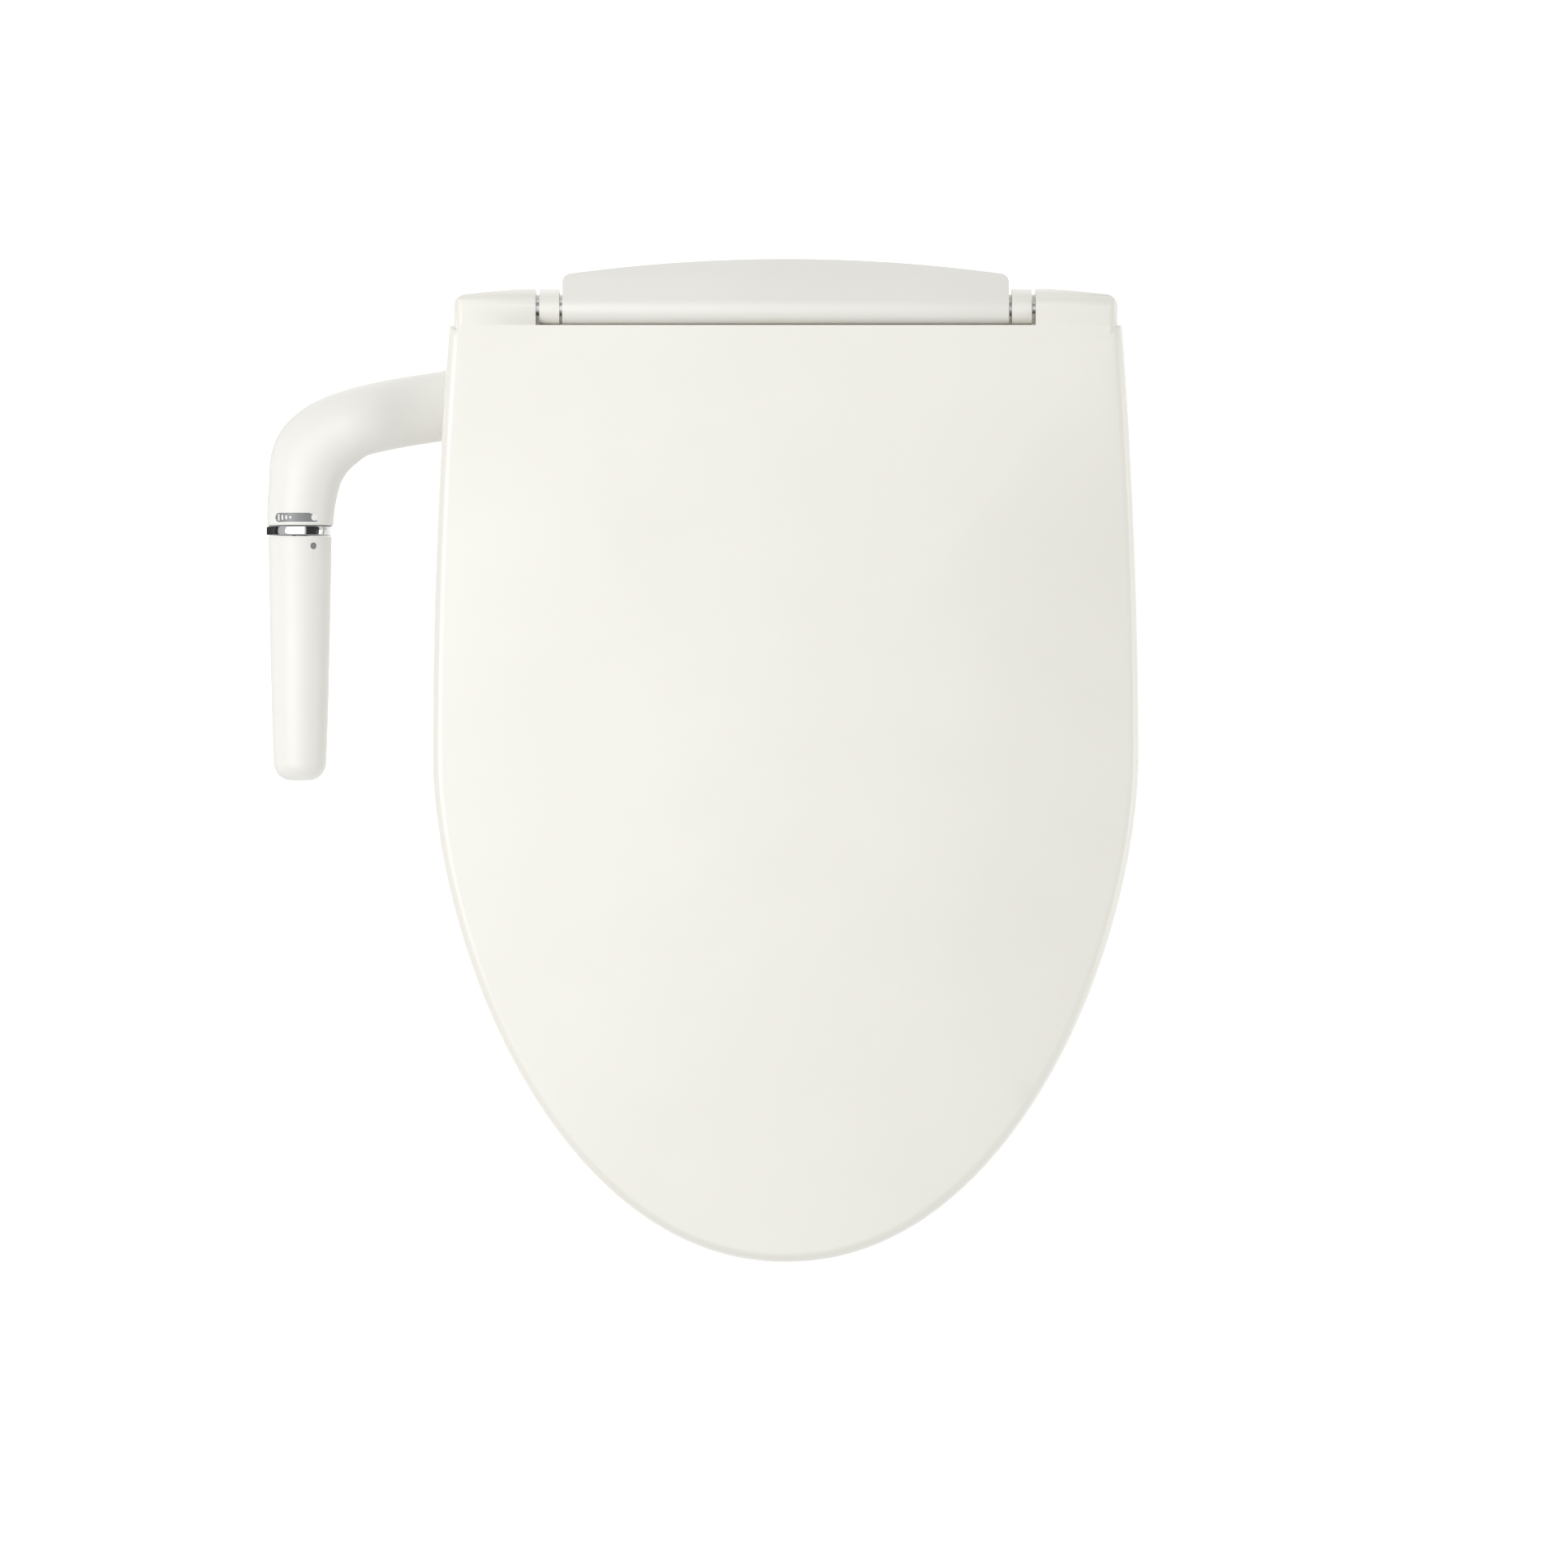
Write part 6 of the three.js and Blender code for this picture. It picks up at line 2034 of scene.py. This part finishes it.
@dataclass
class Wand:
    """The tilted spray wand with its rack, tip and guide, and the geared motor that drives it."""

    palette: Palette
    trees: RepeatTrees
    height: float = 13.0
    tilt: float = 8.0
    radius: float = 5.0
    bore: float = 2.5
    front: float = -84.5
    rear: float = 39.0
    tip_length: float = 22.0
    rack_front: float = -58.0
    rack_half: float = 1.8
    pitch_x: float = 7.2
    pinion_x: float = 13.4
    pinion_y: float = -51.0
    pinion_half: float = 1.6
    teeth: int = 12

    def placed(self, solid: Solid) -> Solid:
        """Tilts and lifts a solid that was drawn along Y."""
        tilted = Matrix.Rotation(math.radians(self.tilt), 4, "X")
        return solid.moved(Matrix.Translation((0, 0, self.height)) @ tilted)

    def tube(self) -> Solid:
        """The hollow tube, with a flat seat for the rack."""
        start, r = self.front + self.tip_length + CLEARANCE, self.radius
        profile = [(self.bore, start), (r - 0.5, start), (r, start + 0.5)]
        for place in (start + 3, self.rear - 6):
            profile += [(r, place), (r - 0.3, place + 0.3), (r - 0.3, place + 1.1), (r, place + 1.4)]
        profile += [(r, self.rear - 0.6), (r - 0.6, self.rear), (self.bore, self.rear)]
        seat = Solid.box(
            (r - 1.3, self.rack_front - 0.3, -self.rack_half - 0.3),
            (20, self.rear + 1, self.rack_half + 0.3)
        )
        return self.placed(Solid.turned(profile, Axis.Y, (0, 0), 56).cut(seat))

    def tip(self) -> Solid:
        """The rounded tip with a flat land and a flared spray hole."""
        front, r = self.front, self.radius + 0.5
        end = front + self.tip_length
        profile = [
            (0.0, front), (r - 2.4, front), (r - 1.2, front + 0.35), (r - 0.4, front + 1.2),
            (r, front + 2.4),
            (r, end - 4), (r - 0.25, end - 3.7), (r - 0.25, end - 2.9), (r, end - 2.6),
            (r, end - 0.5), (r - 0.5, end), (2.2, end), (2.2, front + 4), (0.0, front + 4),
        ]
        hole = Solid.turned([
            (0.0, 0.0), (0.6, 0.0), (0.6, r - 1.0), (1.4, r + 0.2), (0.0, r + 0.2),
        ], Axis.Z, (0, front + 8), 24)
        land = Solid.box((-3, front + 4.4, r - 0.5), (3, front + 11.6, r + 1))
        seat = Solid.box((self.radius - 2, end - 1.5, -3), (20, end + 1, 3))
        return self.placed(Solid.turned(profile, Axis.Y, (0, 0), 56).cut(land, hole, seat))

    def rack(self) -> Solid:
        """The rack: a bar with one tooth copied along it."""
        face = self.pitch_x - 1.0
        shape = Solid.prism([
            (face - 0.5, -0.85), (self.pitch_x + 0.7, -0.3), (self.pitch_x + 0.7, 0.3),
            (face - 0.5, 0.85),
        ], Axis.Z, -self.rack_half, self.rack_half).piece("rack_tooth", self.palette[GREY_PLASTIC])
        places, y = [], self.pinion_y
        while y > self.rack_front + 1 + math.pi:
            y -= math.pi
        while y < self.rear - 2:
            places.append((0, y, 0))
            y += math.pi
        teeth = grown(self.trees.copies, points_mesh(places), {
            "Shape": shape, "Turn Each": 0.0, "Material": self.palette[GREY_PLASTIC],
        })
        bpy.data.objects.remove(shape)
        bar = Solid.box(
            (self.radius - 1, self.rack_front, -self.rack_half), (face, self.rear - 0.5, self.rack_half)
        )
        return self.placed(bar.join(teeth))

    def pinion(self) -> Solid:
        """The pinion: a hub with one tooth copied around it, and its shaft."""
        root, outer, half_turn = 4.7, 6.7, math.pi / self.teeth
        flanks = []
        for r, side in ((root, -0.8), (outer, -0.25), (outer, 0.25), (root, 0.8)):
            a = half_turn + side / r
            flanks.append((r * math.cos(a), r * math.sin(a)))
        shape = Solid.prism(flanks, Axis.Z, -self.pinion_half, self.pinion_half).piece(
            "pinion_tooth", self.palette[GREY_PLASTIC]
        )
        seed = points_mesh([(self.pinion_x, self.pinion_y, 0)] * self.teeth)
        teeth = grown(self.trees.copies, seed, {
            "Shape": shape, "Turn Each": 2 * math.pi / self.teeth,
            "Material": self.palette[GREY_PLASTIC],
        })
        bpy.data.objects.remove(shape)
        hub = Solid.turned([
            (0.0, -self.pinion_half), (2.6, -self.pinion_half), (2.9, -self.pinion_half + 0.3),
            (4.2, -self.pinion_half + 0.3),
            (4.5, -self.pinion_half), (5.0, -self.pinion_half), (5.0, self.pinion_half),
            (1.2, self.pinion_half),
            (1.2, 6.6), (0.9, 7.0), (0.0, 7.0),
        ], Axis.Z, (self.pinion_x, self.pinion_y), 48)
        return self.placed(hub.join(teeth))

    def motor(self) -> Solid:
        """The small motor's can, with a crimped rim and a stepped end."""
        low, high, r = 3.0, 12.5, 7.4
        profile = [
            (1.6, low), (2.9, low), (3.1, low + 0.4), (5.9, low + 0.4), (6.2, low), (r - 0.6, low),
            (r, low + 0.6),
            (r, low + 1.8), (r - 0.3, low + 2.1), (r, low + 2.4), (r, high - 0.9), (r - 0.9, high),
            (3.3, high),
            (3.1, high - 0.5), (0.0, high - 0.5), (0.0, 8.0), (1.6, 8.0),
        ]
        return self.placed(Solid.turned(profile, Axis.Z, (self.pinion_x, self.pinion_y), 56))

    def build(self) -> None:
        """Makes and dresses every wand piece."""
        made = (
            (self.tube(), "spray_wand", CASING_WHITE, "wand", "wand_tube"),
            (self.tip(), "spray_tip", CHROME, "wand", "nozzle_tip"),
            (self.rack(), "toothed_rack", GREY_PLASTIC, "wand", "wand_rack"),
            (self.pinion(), "motor_pinion", GREY_PLASTIC, "pinion", "drive_pinion"),
            (self.motor(), "wand_drive_motor", STEEL, "housing", "wand_motor"),
            (
                Solid.of_node("wand_guide").bevelled(0.5, 3, 50), "wand_slide_guide", GREY_PLASTIC,
                "housing", "wand_guide"
            ),
        )
        for solid, name, finish, body, node in made:
            fit(self.palette, solid, name, finish, body, node, angle=MOULDED_ANGLE)


# ---- Water and power ----


@dataclass
class WaterAndPower:
    """The inlet and its filter, the valves and hoses, the heaters, the board and the lead's gland."""

    palette: Palette
    trees: RepeatTrees
    port_radius: float = 3.0
    hose_radius: float = 2.6

    def barbs(self, axis: Axis, start: float, end: float, centre: Point2) -> Solid:
        """A hose port with three barbs, widest at each barb's root."""
        r, length = self.port_radius, end - start
        step = 1 if length > 0 else -1
        profile = [(0.0, start), (r - 0.7, start)]
        for i in range(3):
            foot = end - step * (6.0 - 2.0 * i)
            profile += [(r - 0.7, foot), (r, foot), (r - 0.6, foot + step * 1.9)]
        profile += [(r - 1.0, end), (0.0, end)]
        return Solid.turned(profile, axis, centre, 32)

    def inlet(self) -> None:
        """The threaded supply inlet with its hexagon, and the filter inside it."""
        box = NodeBox.of("water_inlet")
        x, y, low, high, r, bore = box.centre.x, box.centre.y, box.low.z, box.high.z, 9.5, 5.5
        core = r - 0.55
        body = Solid.turned([
            (bore, low), (core - 0.7, low), (core, low + 0.8), (core, 1.2), (r, 1.8), (r, high - 0.5),
            (r - 0.5, high), (bore + 0.4, high), (bore, high - 0.4),
        ], Axis.Z, (x, y), 56)
        hexagon = Solid.prism(arc(x, y, 12.5, 0, 360, 6)[:-1], Axis.Z, 2.8, 5.5).bevelled(0.4, 2, 50)
        hexagon = hexagon.cut(Solid.rod(bore + 0.5, Axis.Z, 0, 9, (x, y), 40))
        ridge = Fasteners(self.palette, self.trees).thread(r, low + 1.4, 0.8, (x, y), CHROME)
        item = several("supply_inlet", [body.join(hexagon), ridge], self.palette[CHROME], MOULDED_ANGLE)
        settle(item, "housing", CHROME.slot, "water_inlet")
        box = NodeBox.of("inlet_filter")
        low, high, wide = box.low.z, box.high.z, 5.2
        profile = [(0.0, low), (wide - 0.3, low), (wide, low + 0.3), (wide, low + 1.4)]
        for i in range(6):
            r = mix(wide - 0.5, 3.1, i / 5)
            z = mix(low + 1.7, high - 2.0, i / 5)
            profile += [(r - 0.4, z - 0.1), (r - 0.4, z + 0.8), (r, z + 1.0), (r - 0.1, z + 1.7)]
        profile += [(2.6, high), (0.0, high)]
        fit(
            self.palette, Solid.turned(profile, Axis.Z, (x, y), 40), "supply_strainer", BRASS,
            "housing", "inlet_filter"
        )

    def gland(self) -> Solid:
        """The lead's strain relief, a flanged ribbed sleeve."""
        box = NodeBox.of("lead_gland")
        start, end, r = box.low.y, box.high.y, 4.0
        profile = [(2.2, start), (r - 0.5, start), (r, start + 0.6)]
        for i in range(3):
            place = start + 1.6 + 1.8 * i
            profile += [(r, place), (r - 0.5, place + 0.3), (r - 0.5, place + 0.8), (r, place + 1.1)]
        profile += [(r, end - 1.7), (r + 2, end - 1.7), (r + 2, end - 0.5), (r + 1.5, end), (2.2, end)]
        return Solid.turned(profile, Axis.Y, (box.centre.x, 6.0), 40)

    def heater(self) -> Solid:
        """The instant water heater: a ribbed tank with two barbed ports."""
        box = NodeBox.of("water_heater")
        end_x = box.high.x - 8.0
        body = Solid.box(box.low, (end_x, box.high.y, box.high.z)).bevelled(2.2, 4, 50)
        for i in range(7):
            x = mix(box.low.x + 6, end_x - 6, i / 6)
            groove = Solid.box(
                (x - 0.9, box.low.y - 1, box.high.z - 0.8), (x + 0.9, box.high.y + 1, box.high.z + 1)
            )
            body = body.cut(groove)
        for y in (-50.0, -66.0):
            body = body.join(self.barbs(Axis.X, end_x - 1, box.high.x, (y, 12.0)))
        return body

    def solenoid(self) -> Solid:
        """The shut-off valve: a foot, a wound coil and a barbed port."""
        x, y, top = -118.0, -61.0, NodeBox.of("solenoid_valve").high.z
        foot = Solid.box((x - 14, y - 9, 3.2), (x + 14, y + 9, 13)).bevelled(1.2, 3, 50)
        profile = [(0.0, 12.0), (8.0, 12.0), (8.0, 13.4)]
        for i in range(4):
            z = 13.5 + 1.1 * i
            profile += [(7.3, z), (7.6, z + 0.5), (7.3, z + 1.0)]
        profile += [(8.0, top - 1.8), (8.0, top - 0.6), (7.4, top), (0.0, top)]
        coil = Solid.turned(profile, Axis.Z, (x, y), 48)
        return foot.join(coil, self.barbs(Axis.Y, y + 8, y + 17, (x, 8.0)))

    def board(self) -> None:
        """The control board with its packages, capacitor and rows of pins."""
        slab = Solid.box((36, -76, 12), (112, -34, 13.6))
        for x in (40.0, 108.0):
            for y in (-72.5, -37.5):
                slab = slab.cut(Solid.rod(1.6, Axis.Z, 10, 16, (x, y), 24))
        fit(
            self.palette, slab.bevelled(0.2, 2, 50), "control_circuit", BOARD, "housing",
            "control_board", angle=MOULDED_ANGLE
        )
        relay = Solid.box((44, -70, 13.7), (62, -52, 19.5)).bevelled(0.6, 3, 50)
        package = Solid.box((72, -66, 13.9), (84, -60, 17)).bevelled(0.35, 2, 50)
        package = package.cut(Solid.rod(0.7, Axis.Z, 16.7, 18, (73.6, -64.6), 16))
        capacitor = Solid.turned([
            (0.0, 13.7), (3.9, 13.7), (4.0, 14.4), (3.7, 14.7), (3.7, 15.1), (4.0, 15.4), (4.0, 18.4),
            (3.5, 19.0), (2.6, 19.0), (2.4, 18.8), (0.0, 18.8),
        ], Axis.Z, (98, -50), 40)
        plug = Solid.box((88, -74, 13.7), (106, -68, 18.5)).cut(
            Solid.box((89, -73, 15), (105, -69, 20))
        ).bevelled(0.25, 2, 50)
        item = several(
            "board_packages", [relay, package, capacitor, plug], self.palette[GREY_PLASTIC], 40
        )
        settle(item, "housing", GREY_PLASTIC.slot)
        pin = Solid.box(
            (-0.25, -0.25, 0), (0.25, 0.25, 2.6)
        ).bevelled(0.08, 1, 50).piece("pin", self.palette[STEEL])
        places = [(90 + 2.0 * i, -71.0, 15.05) for i in range(8)]
        pins = grown(self.trees.copies, points_mesh(places), {
            "Shape": pin, "Turn Each": 0.0, "Material": self.palette[STEEL],
        })
        bpy.data.objects.remove(pin)
        fit(self.palette, pins, "board_pins", STEEL, "housing")

    def hose(self, node: str, shift: float) -> None:
        """One of the arm's two hoses, grown along its route.

        Args:
            node: The frame node that it stands for.
            shift: How far it lies to the side of the arm's middle.
        """
        root = NodeBox.of("arm_flange").centre.y
        knots = [
            (-145.0, root - shift, 13.0), (-180.0, -27.0 - shift, 13.0),
            (-207.0 + shift * 0.2, -31.7 - shift, 16.0), (-228.0 + shift * 0.5, -37.3 - shift, 20.0),
            (-240.8 + shift * 0.8, -45.3 - shift * 0.6, 22.0), (-250.0 + shift, -56.3, 22.0),
            (GRIP_AXIS.x + 1 + shift, -67.1, 22.0),
        ]
        route = smooth_route([Vector(k) for k in knots], 70)
        hose = grown(self.trees.hose, points_mesh(route, chained=True), {
            "Radius": self.hose_radius * MM, "Sides": 20, "Material": self.palette[RUBBER],
        })
        fit(self.palette, hose, f"{node}_run", RUBBER, "housing", node)

    def valve(self) -> Solid:
        """The flow valve's body, with two sealing grooves and a bore for its stem."""
        box = NodeBox.of("valve_body")
        front, rear, r, bore = box.low.y, box.high.y, 11.0, 4.3
        profile = [(bore, front), (r - 0.8, front), (r, front + 0.8)]
        for place in (front + 4, front + 7.5):
            profile += [(r, place), (r - 0.8, place + 0.3), (r - 0.8, place + 1.5), (r, place + 1.8)]
        profile += [
            (r, rear - 1.2), (r - 1.2, rear), (0.0, rear), (0.0, front + 13), (bore, front + 13)
        ]
        return Solid.turned(profile, Axis.Y, (GRIP_AXIS.x, GRIP_AXIS.z), 56)

    def heater_wire(self) -> Solid:
        """The ring heater's wire, which winds from side to side over its mat."""
        seat = RingSeat(self.palette)
        near, far = seat.opening(24, 480), seat.opening(44, 480)
        quarter = len(near) // 4
        top = NodeBox.of("ring_heater_mat").high.z + 0.7
        points = []
        for i in range(len(near)):
            j = (i + quarter) % len(near)
            share = 0.5 + 0.5 * math.sin(i * 2 * math.pi / 12)
            x, y = mix(near[j][0], far[j][0], share), mix(near[j][1], far[j][1], share)
            if max(near[j][1], far[j][1]) < -104:
                points.append((x, y, top))
        return grown(self.trees.hose, points_mesh(points, chained=True), {
            "Radius": 0.4 * MM, "Sides": 8, "Material": self.palette[COPPER],
        })

    def build(self) -> None:
        """Makes and dresses every water and power piece."""
        self.inlet()
        self.board()
        self.hose("supply_hose", -5.0)
        self.hose("spray_hose", 5.0)
        made = (
            (self.gland(), "lead_strain_relief", RUBBER, "housing", "lead_gland"),
            (self.heater(), "instant_water_heater", COPPER, "housing", "water_heater"),
            (self.solenoid(), "shut_off_valve", GREY_PLASTIC, "housing", "solenoid_valve"),
            (self.valve(), "flow_valve", BRASS, "housing", "valve_body"),
            (
                Solid.of_node("arm_flange").bevelled(0.4, 2, 50), "arm_gasket", GREY_PLASTIC, "housing",
                "arm_flange"
            ),
            (
                Solid.of_node("ring_heater_mat").bevelled(0.2, 1, 50), "seat_heater_mat", COPPER,
                "ring", "ring_heater_mat"
            ),
            (
                Solid.of_node("seat_sensor").bevelled(0.8, 3, 50), "seat_presence_sensor", GREY_PLASTIC,
                "ring", "seat_sensor"
            ),
        )
        for solid, name, finish, body, node in made:
            fit(self.palette, solid, name, finish, body, node, angle=MOULDED_ANGLE)
        fit(self.palette, self.heater_wire(), "seat_heater_wire", COPPER, "ring")


# ---- Studio ----


@dataclass
class Studio:
    """Plain pale floor, soft light and a camera straight above."""

    centre: tuple[float, float] = (-0.85, -225.5)
    view_width: float = 819.0
    lens: float = 220.0
    sensor: float = 36.0
    subject_z: float = 40.0

    def camera(self) -> None:
        """Looks straight down from far away, so that the plan is nearly flat."""
        data = bpy.data.cameras.new("camera")
        data.lens, data.sensor_width = self.lens, self.sensor
        data.clip_start, data.clip_end = 0.1, 30.0
        item = bpy.data.objects.new("camera", data)
        height = self.view_width * self.lens / self.sensor + self.subject_z
        item.location = (self.centre[0] * MM, self.centre[1] * MM, height * MM)
        bpy.context.scene.collection.objects.link(item)
        bpy.context.scene.camera = item

    def floor(self) -> None:
        """A wide pale floor under the lowest bolt, clear when seen from below."""
        z = CAD_BOX[0].z
        mesh = bpy.data.meshes.new("studio_floor")
        half = 6.0
        mesh.from_pydata(
            [(-half, -half, z), (half, -half, z), (half, half, z), (-half, half, z)], [], [(0, 1, 2, 3)]
        )
        item = bpy.data.objects.new("studio_floor", mesh)
        material = bpy.data.materials.new("studio_floor_paint")
        material.use_nodes = True
        shader = material.node_tree.nodes["Principled BSDF"]
        shader.inputs["Base Color"].default_value = (0.9, 0.9, 0.9, 1)
        shader.inputs["Roughness"].default_value = 0.9
        shader.inputs["Emission Color"].default_value = (1, 1, 1, 1)
        shader.inputs["Emission Strength"].default_value = 0.42
        tree = material.node_tree
        geometry = tree.nodes.new("ShaderNodeNewGeometry")
        clear = tree.nodes.new("ShaderNodeBsdfTransparent")
        either = tree.nodes.new("ShaderNodeMixShader")
        tree.links.new(geometry.outputs["Backfacing"], either.inputs[0])
        tree.links.new(shader.outputs["BSDF"], either.inputs[1])
        tree.links.new(clear.outputs["BSDF"], either.inputs[2])
        tree.links.new(either.outputs["Shader"], tree.nodes["Material Output"].inputs["Surface"])
        mesh.materials.append(material)
        bpy.context.scene.collection.objects.link(item)

    def lights(self) -> None:
        """An even pale room and two soft panels."""
        world = bpy.data.worlds.new("studio_world")
        world.use_nodes = True
        background = world.node_tree.nodes["Background"]
        background.inputs["Color"].default_value = (1.0, 1.0, 1.0, 1)
        background.inputs["Strength"].default_value = 0.55
        bpy.context.scene.world = world
        self._panel("key_panel", (-1.5, 0.0, 2.1), 1.4, 32.5)
        self._panel("side_panel", (2.4, -0.5, 0.75), 1.2, 15.0)

    def _panel(self, name: str, place: tuple[float, float, float], size: float, power: float) -> None:
        """A square soft light aimed at the seat."""
        data = bpy.data.lights.new(name, "AREA")
        data.size, data.energy = size, power
        item = bpy.data.objects.new(name, data)
        item.location = place
        target = Vector((self.centre[0] * MM, self.centre[1] * MM, 0.0))
        item.rotation_mode = "QUATERNION"
        item.rotation_quaternion = (target - Vector(place)).to_track_quat("-Z", "Y")
        bpy.context.scene.collection.objects.link(item)

    def mirror_cards(self) -> None:
        """Dark and pale cards that only reflections show, so that polished metal reads as metal."""
        paints = {}
        for name, tone, glow in (("dark_card_paint", 0.02, 0.0), ("pale_card_paint", 0.8, 0.9)):
            material = bpy.data.materials.new(name)
            material.use_nodes = True
            shader = material.node_tree.nodes["Principled BSDF"]
            shader.inputs["Base Color"].default_value = (tone, tone, tone, 1)
            shader.inputs["Roughness"].default_value = 0.9
            shader.inputs["Emission Color"].default_value = (1, 1, 1, 1)
            shader.inputs["Emission Strength"].default_value = glow
            paints[name] = material
        low = CAD_BOX[0].z + 0.002
        cards = {
            "dark_card_right": ((0.28, 1.25), (1.32, 0.52)),
            "dark_card_left": ((-1.4, 0.25), (-1.4, low)),
            "dark_card_floor": ((-1.4, low), (-0.29, low)),
            "pale_card_top": ((-2.1, 1.9), (0.35, 1.9)),
        }
        for name, ((x0, z0), (x1, z1)) in cards.items():
            mesh = bpy.data.meshes.new(name)
            mesh.from_pydata(
                [(x0, -1.3, z0), (x1, -1.3, z1), (x1, 1.1, z1), (x0, 1.1, z0)], [], [(0, 1, 2, 3)]
            )
            mesh.materials.append(
                paints["pale_card_paint" if name.startswith("pale") else "dark_card_paint"]
            )
            item = bpy.data.objects.new(name, mesh)
            item.visible_camera = item.visible_diffuse = item.visible_shadow = False
            item.visible_transmission = item.visible_volume_scatter = False
            bpy.context.scene.collection.objects.link(item)

    def build(self) -> None:
        """Sets up the whole studio."""
        bpy.context.scene.view_settings.view_transform = "Standard"
        self.camera()
        self.floor()
        self.mirror_cards()
        self.lights()


def main() -> None:
    """Builds the studio and every sub-assembly."""
    logging.basicConfig(level=logging.INFO, format="%(name)s: %(message)s")
    palette, trees = Palette(), RepeatTrees()
    Studio().build()
    Lid(palette).build()
    RingSeat(palette).build()
    Housing(palette).build()
    Fasteners(palette, trees).build()
    ControlArm(palette).build()
    TwistGrip(palette).build()
    Underside(palette).build()
    HingeDampers(palette).build()
    Wand(palette, trees).build()
    WaterAndPower(palette, trees).build()


if __name__ == "__main__":
    main()
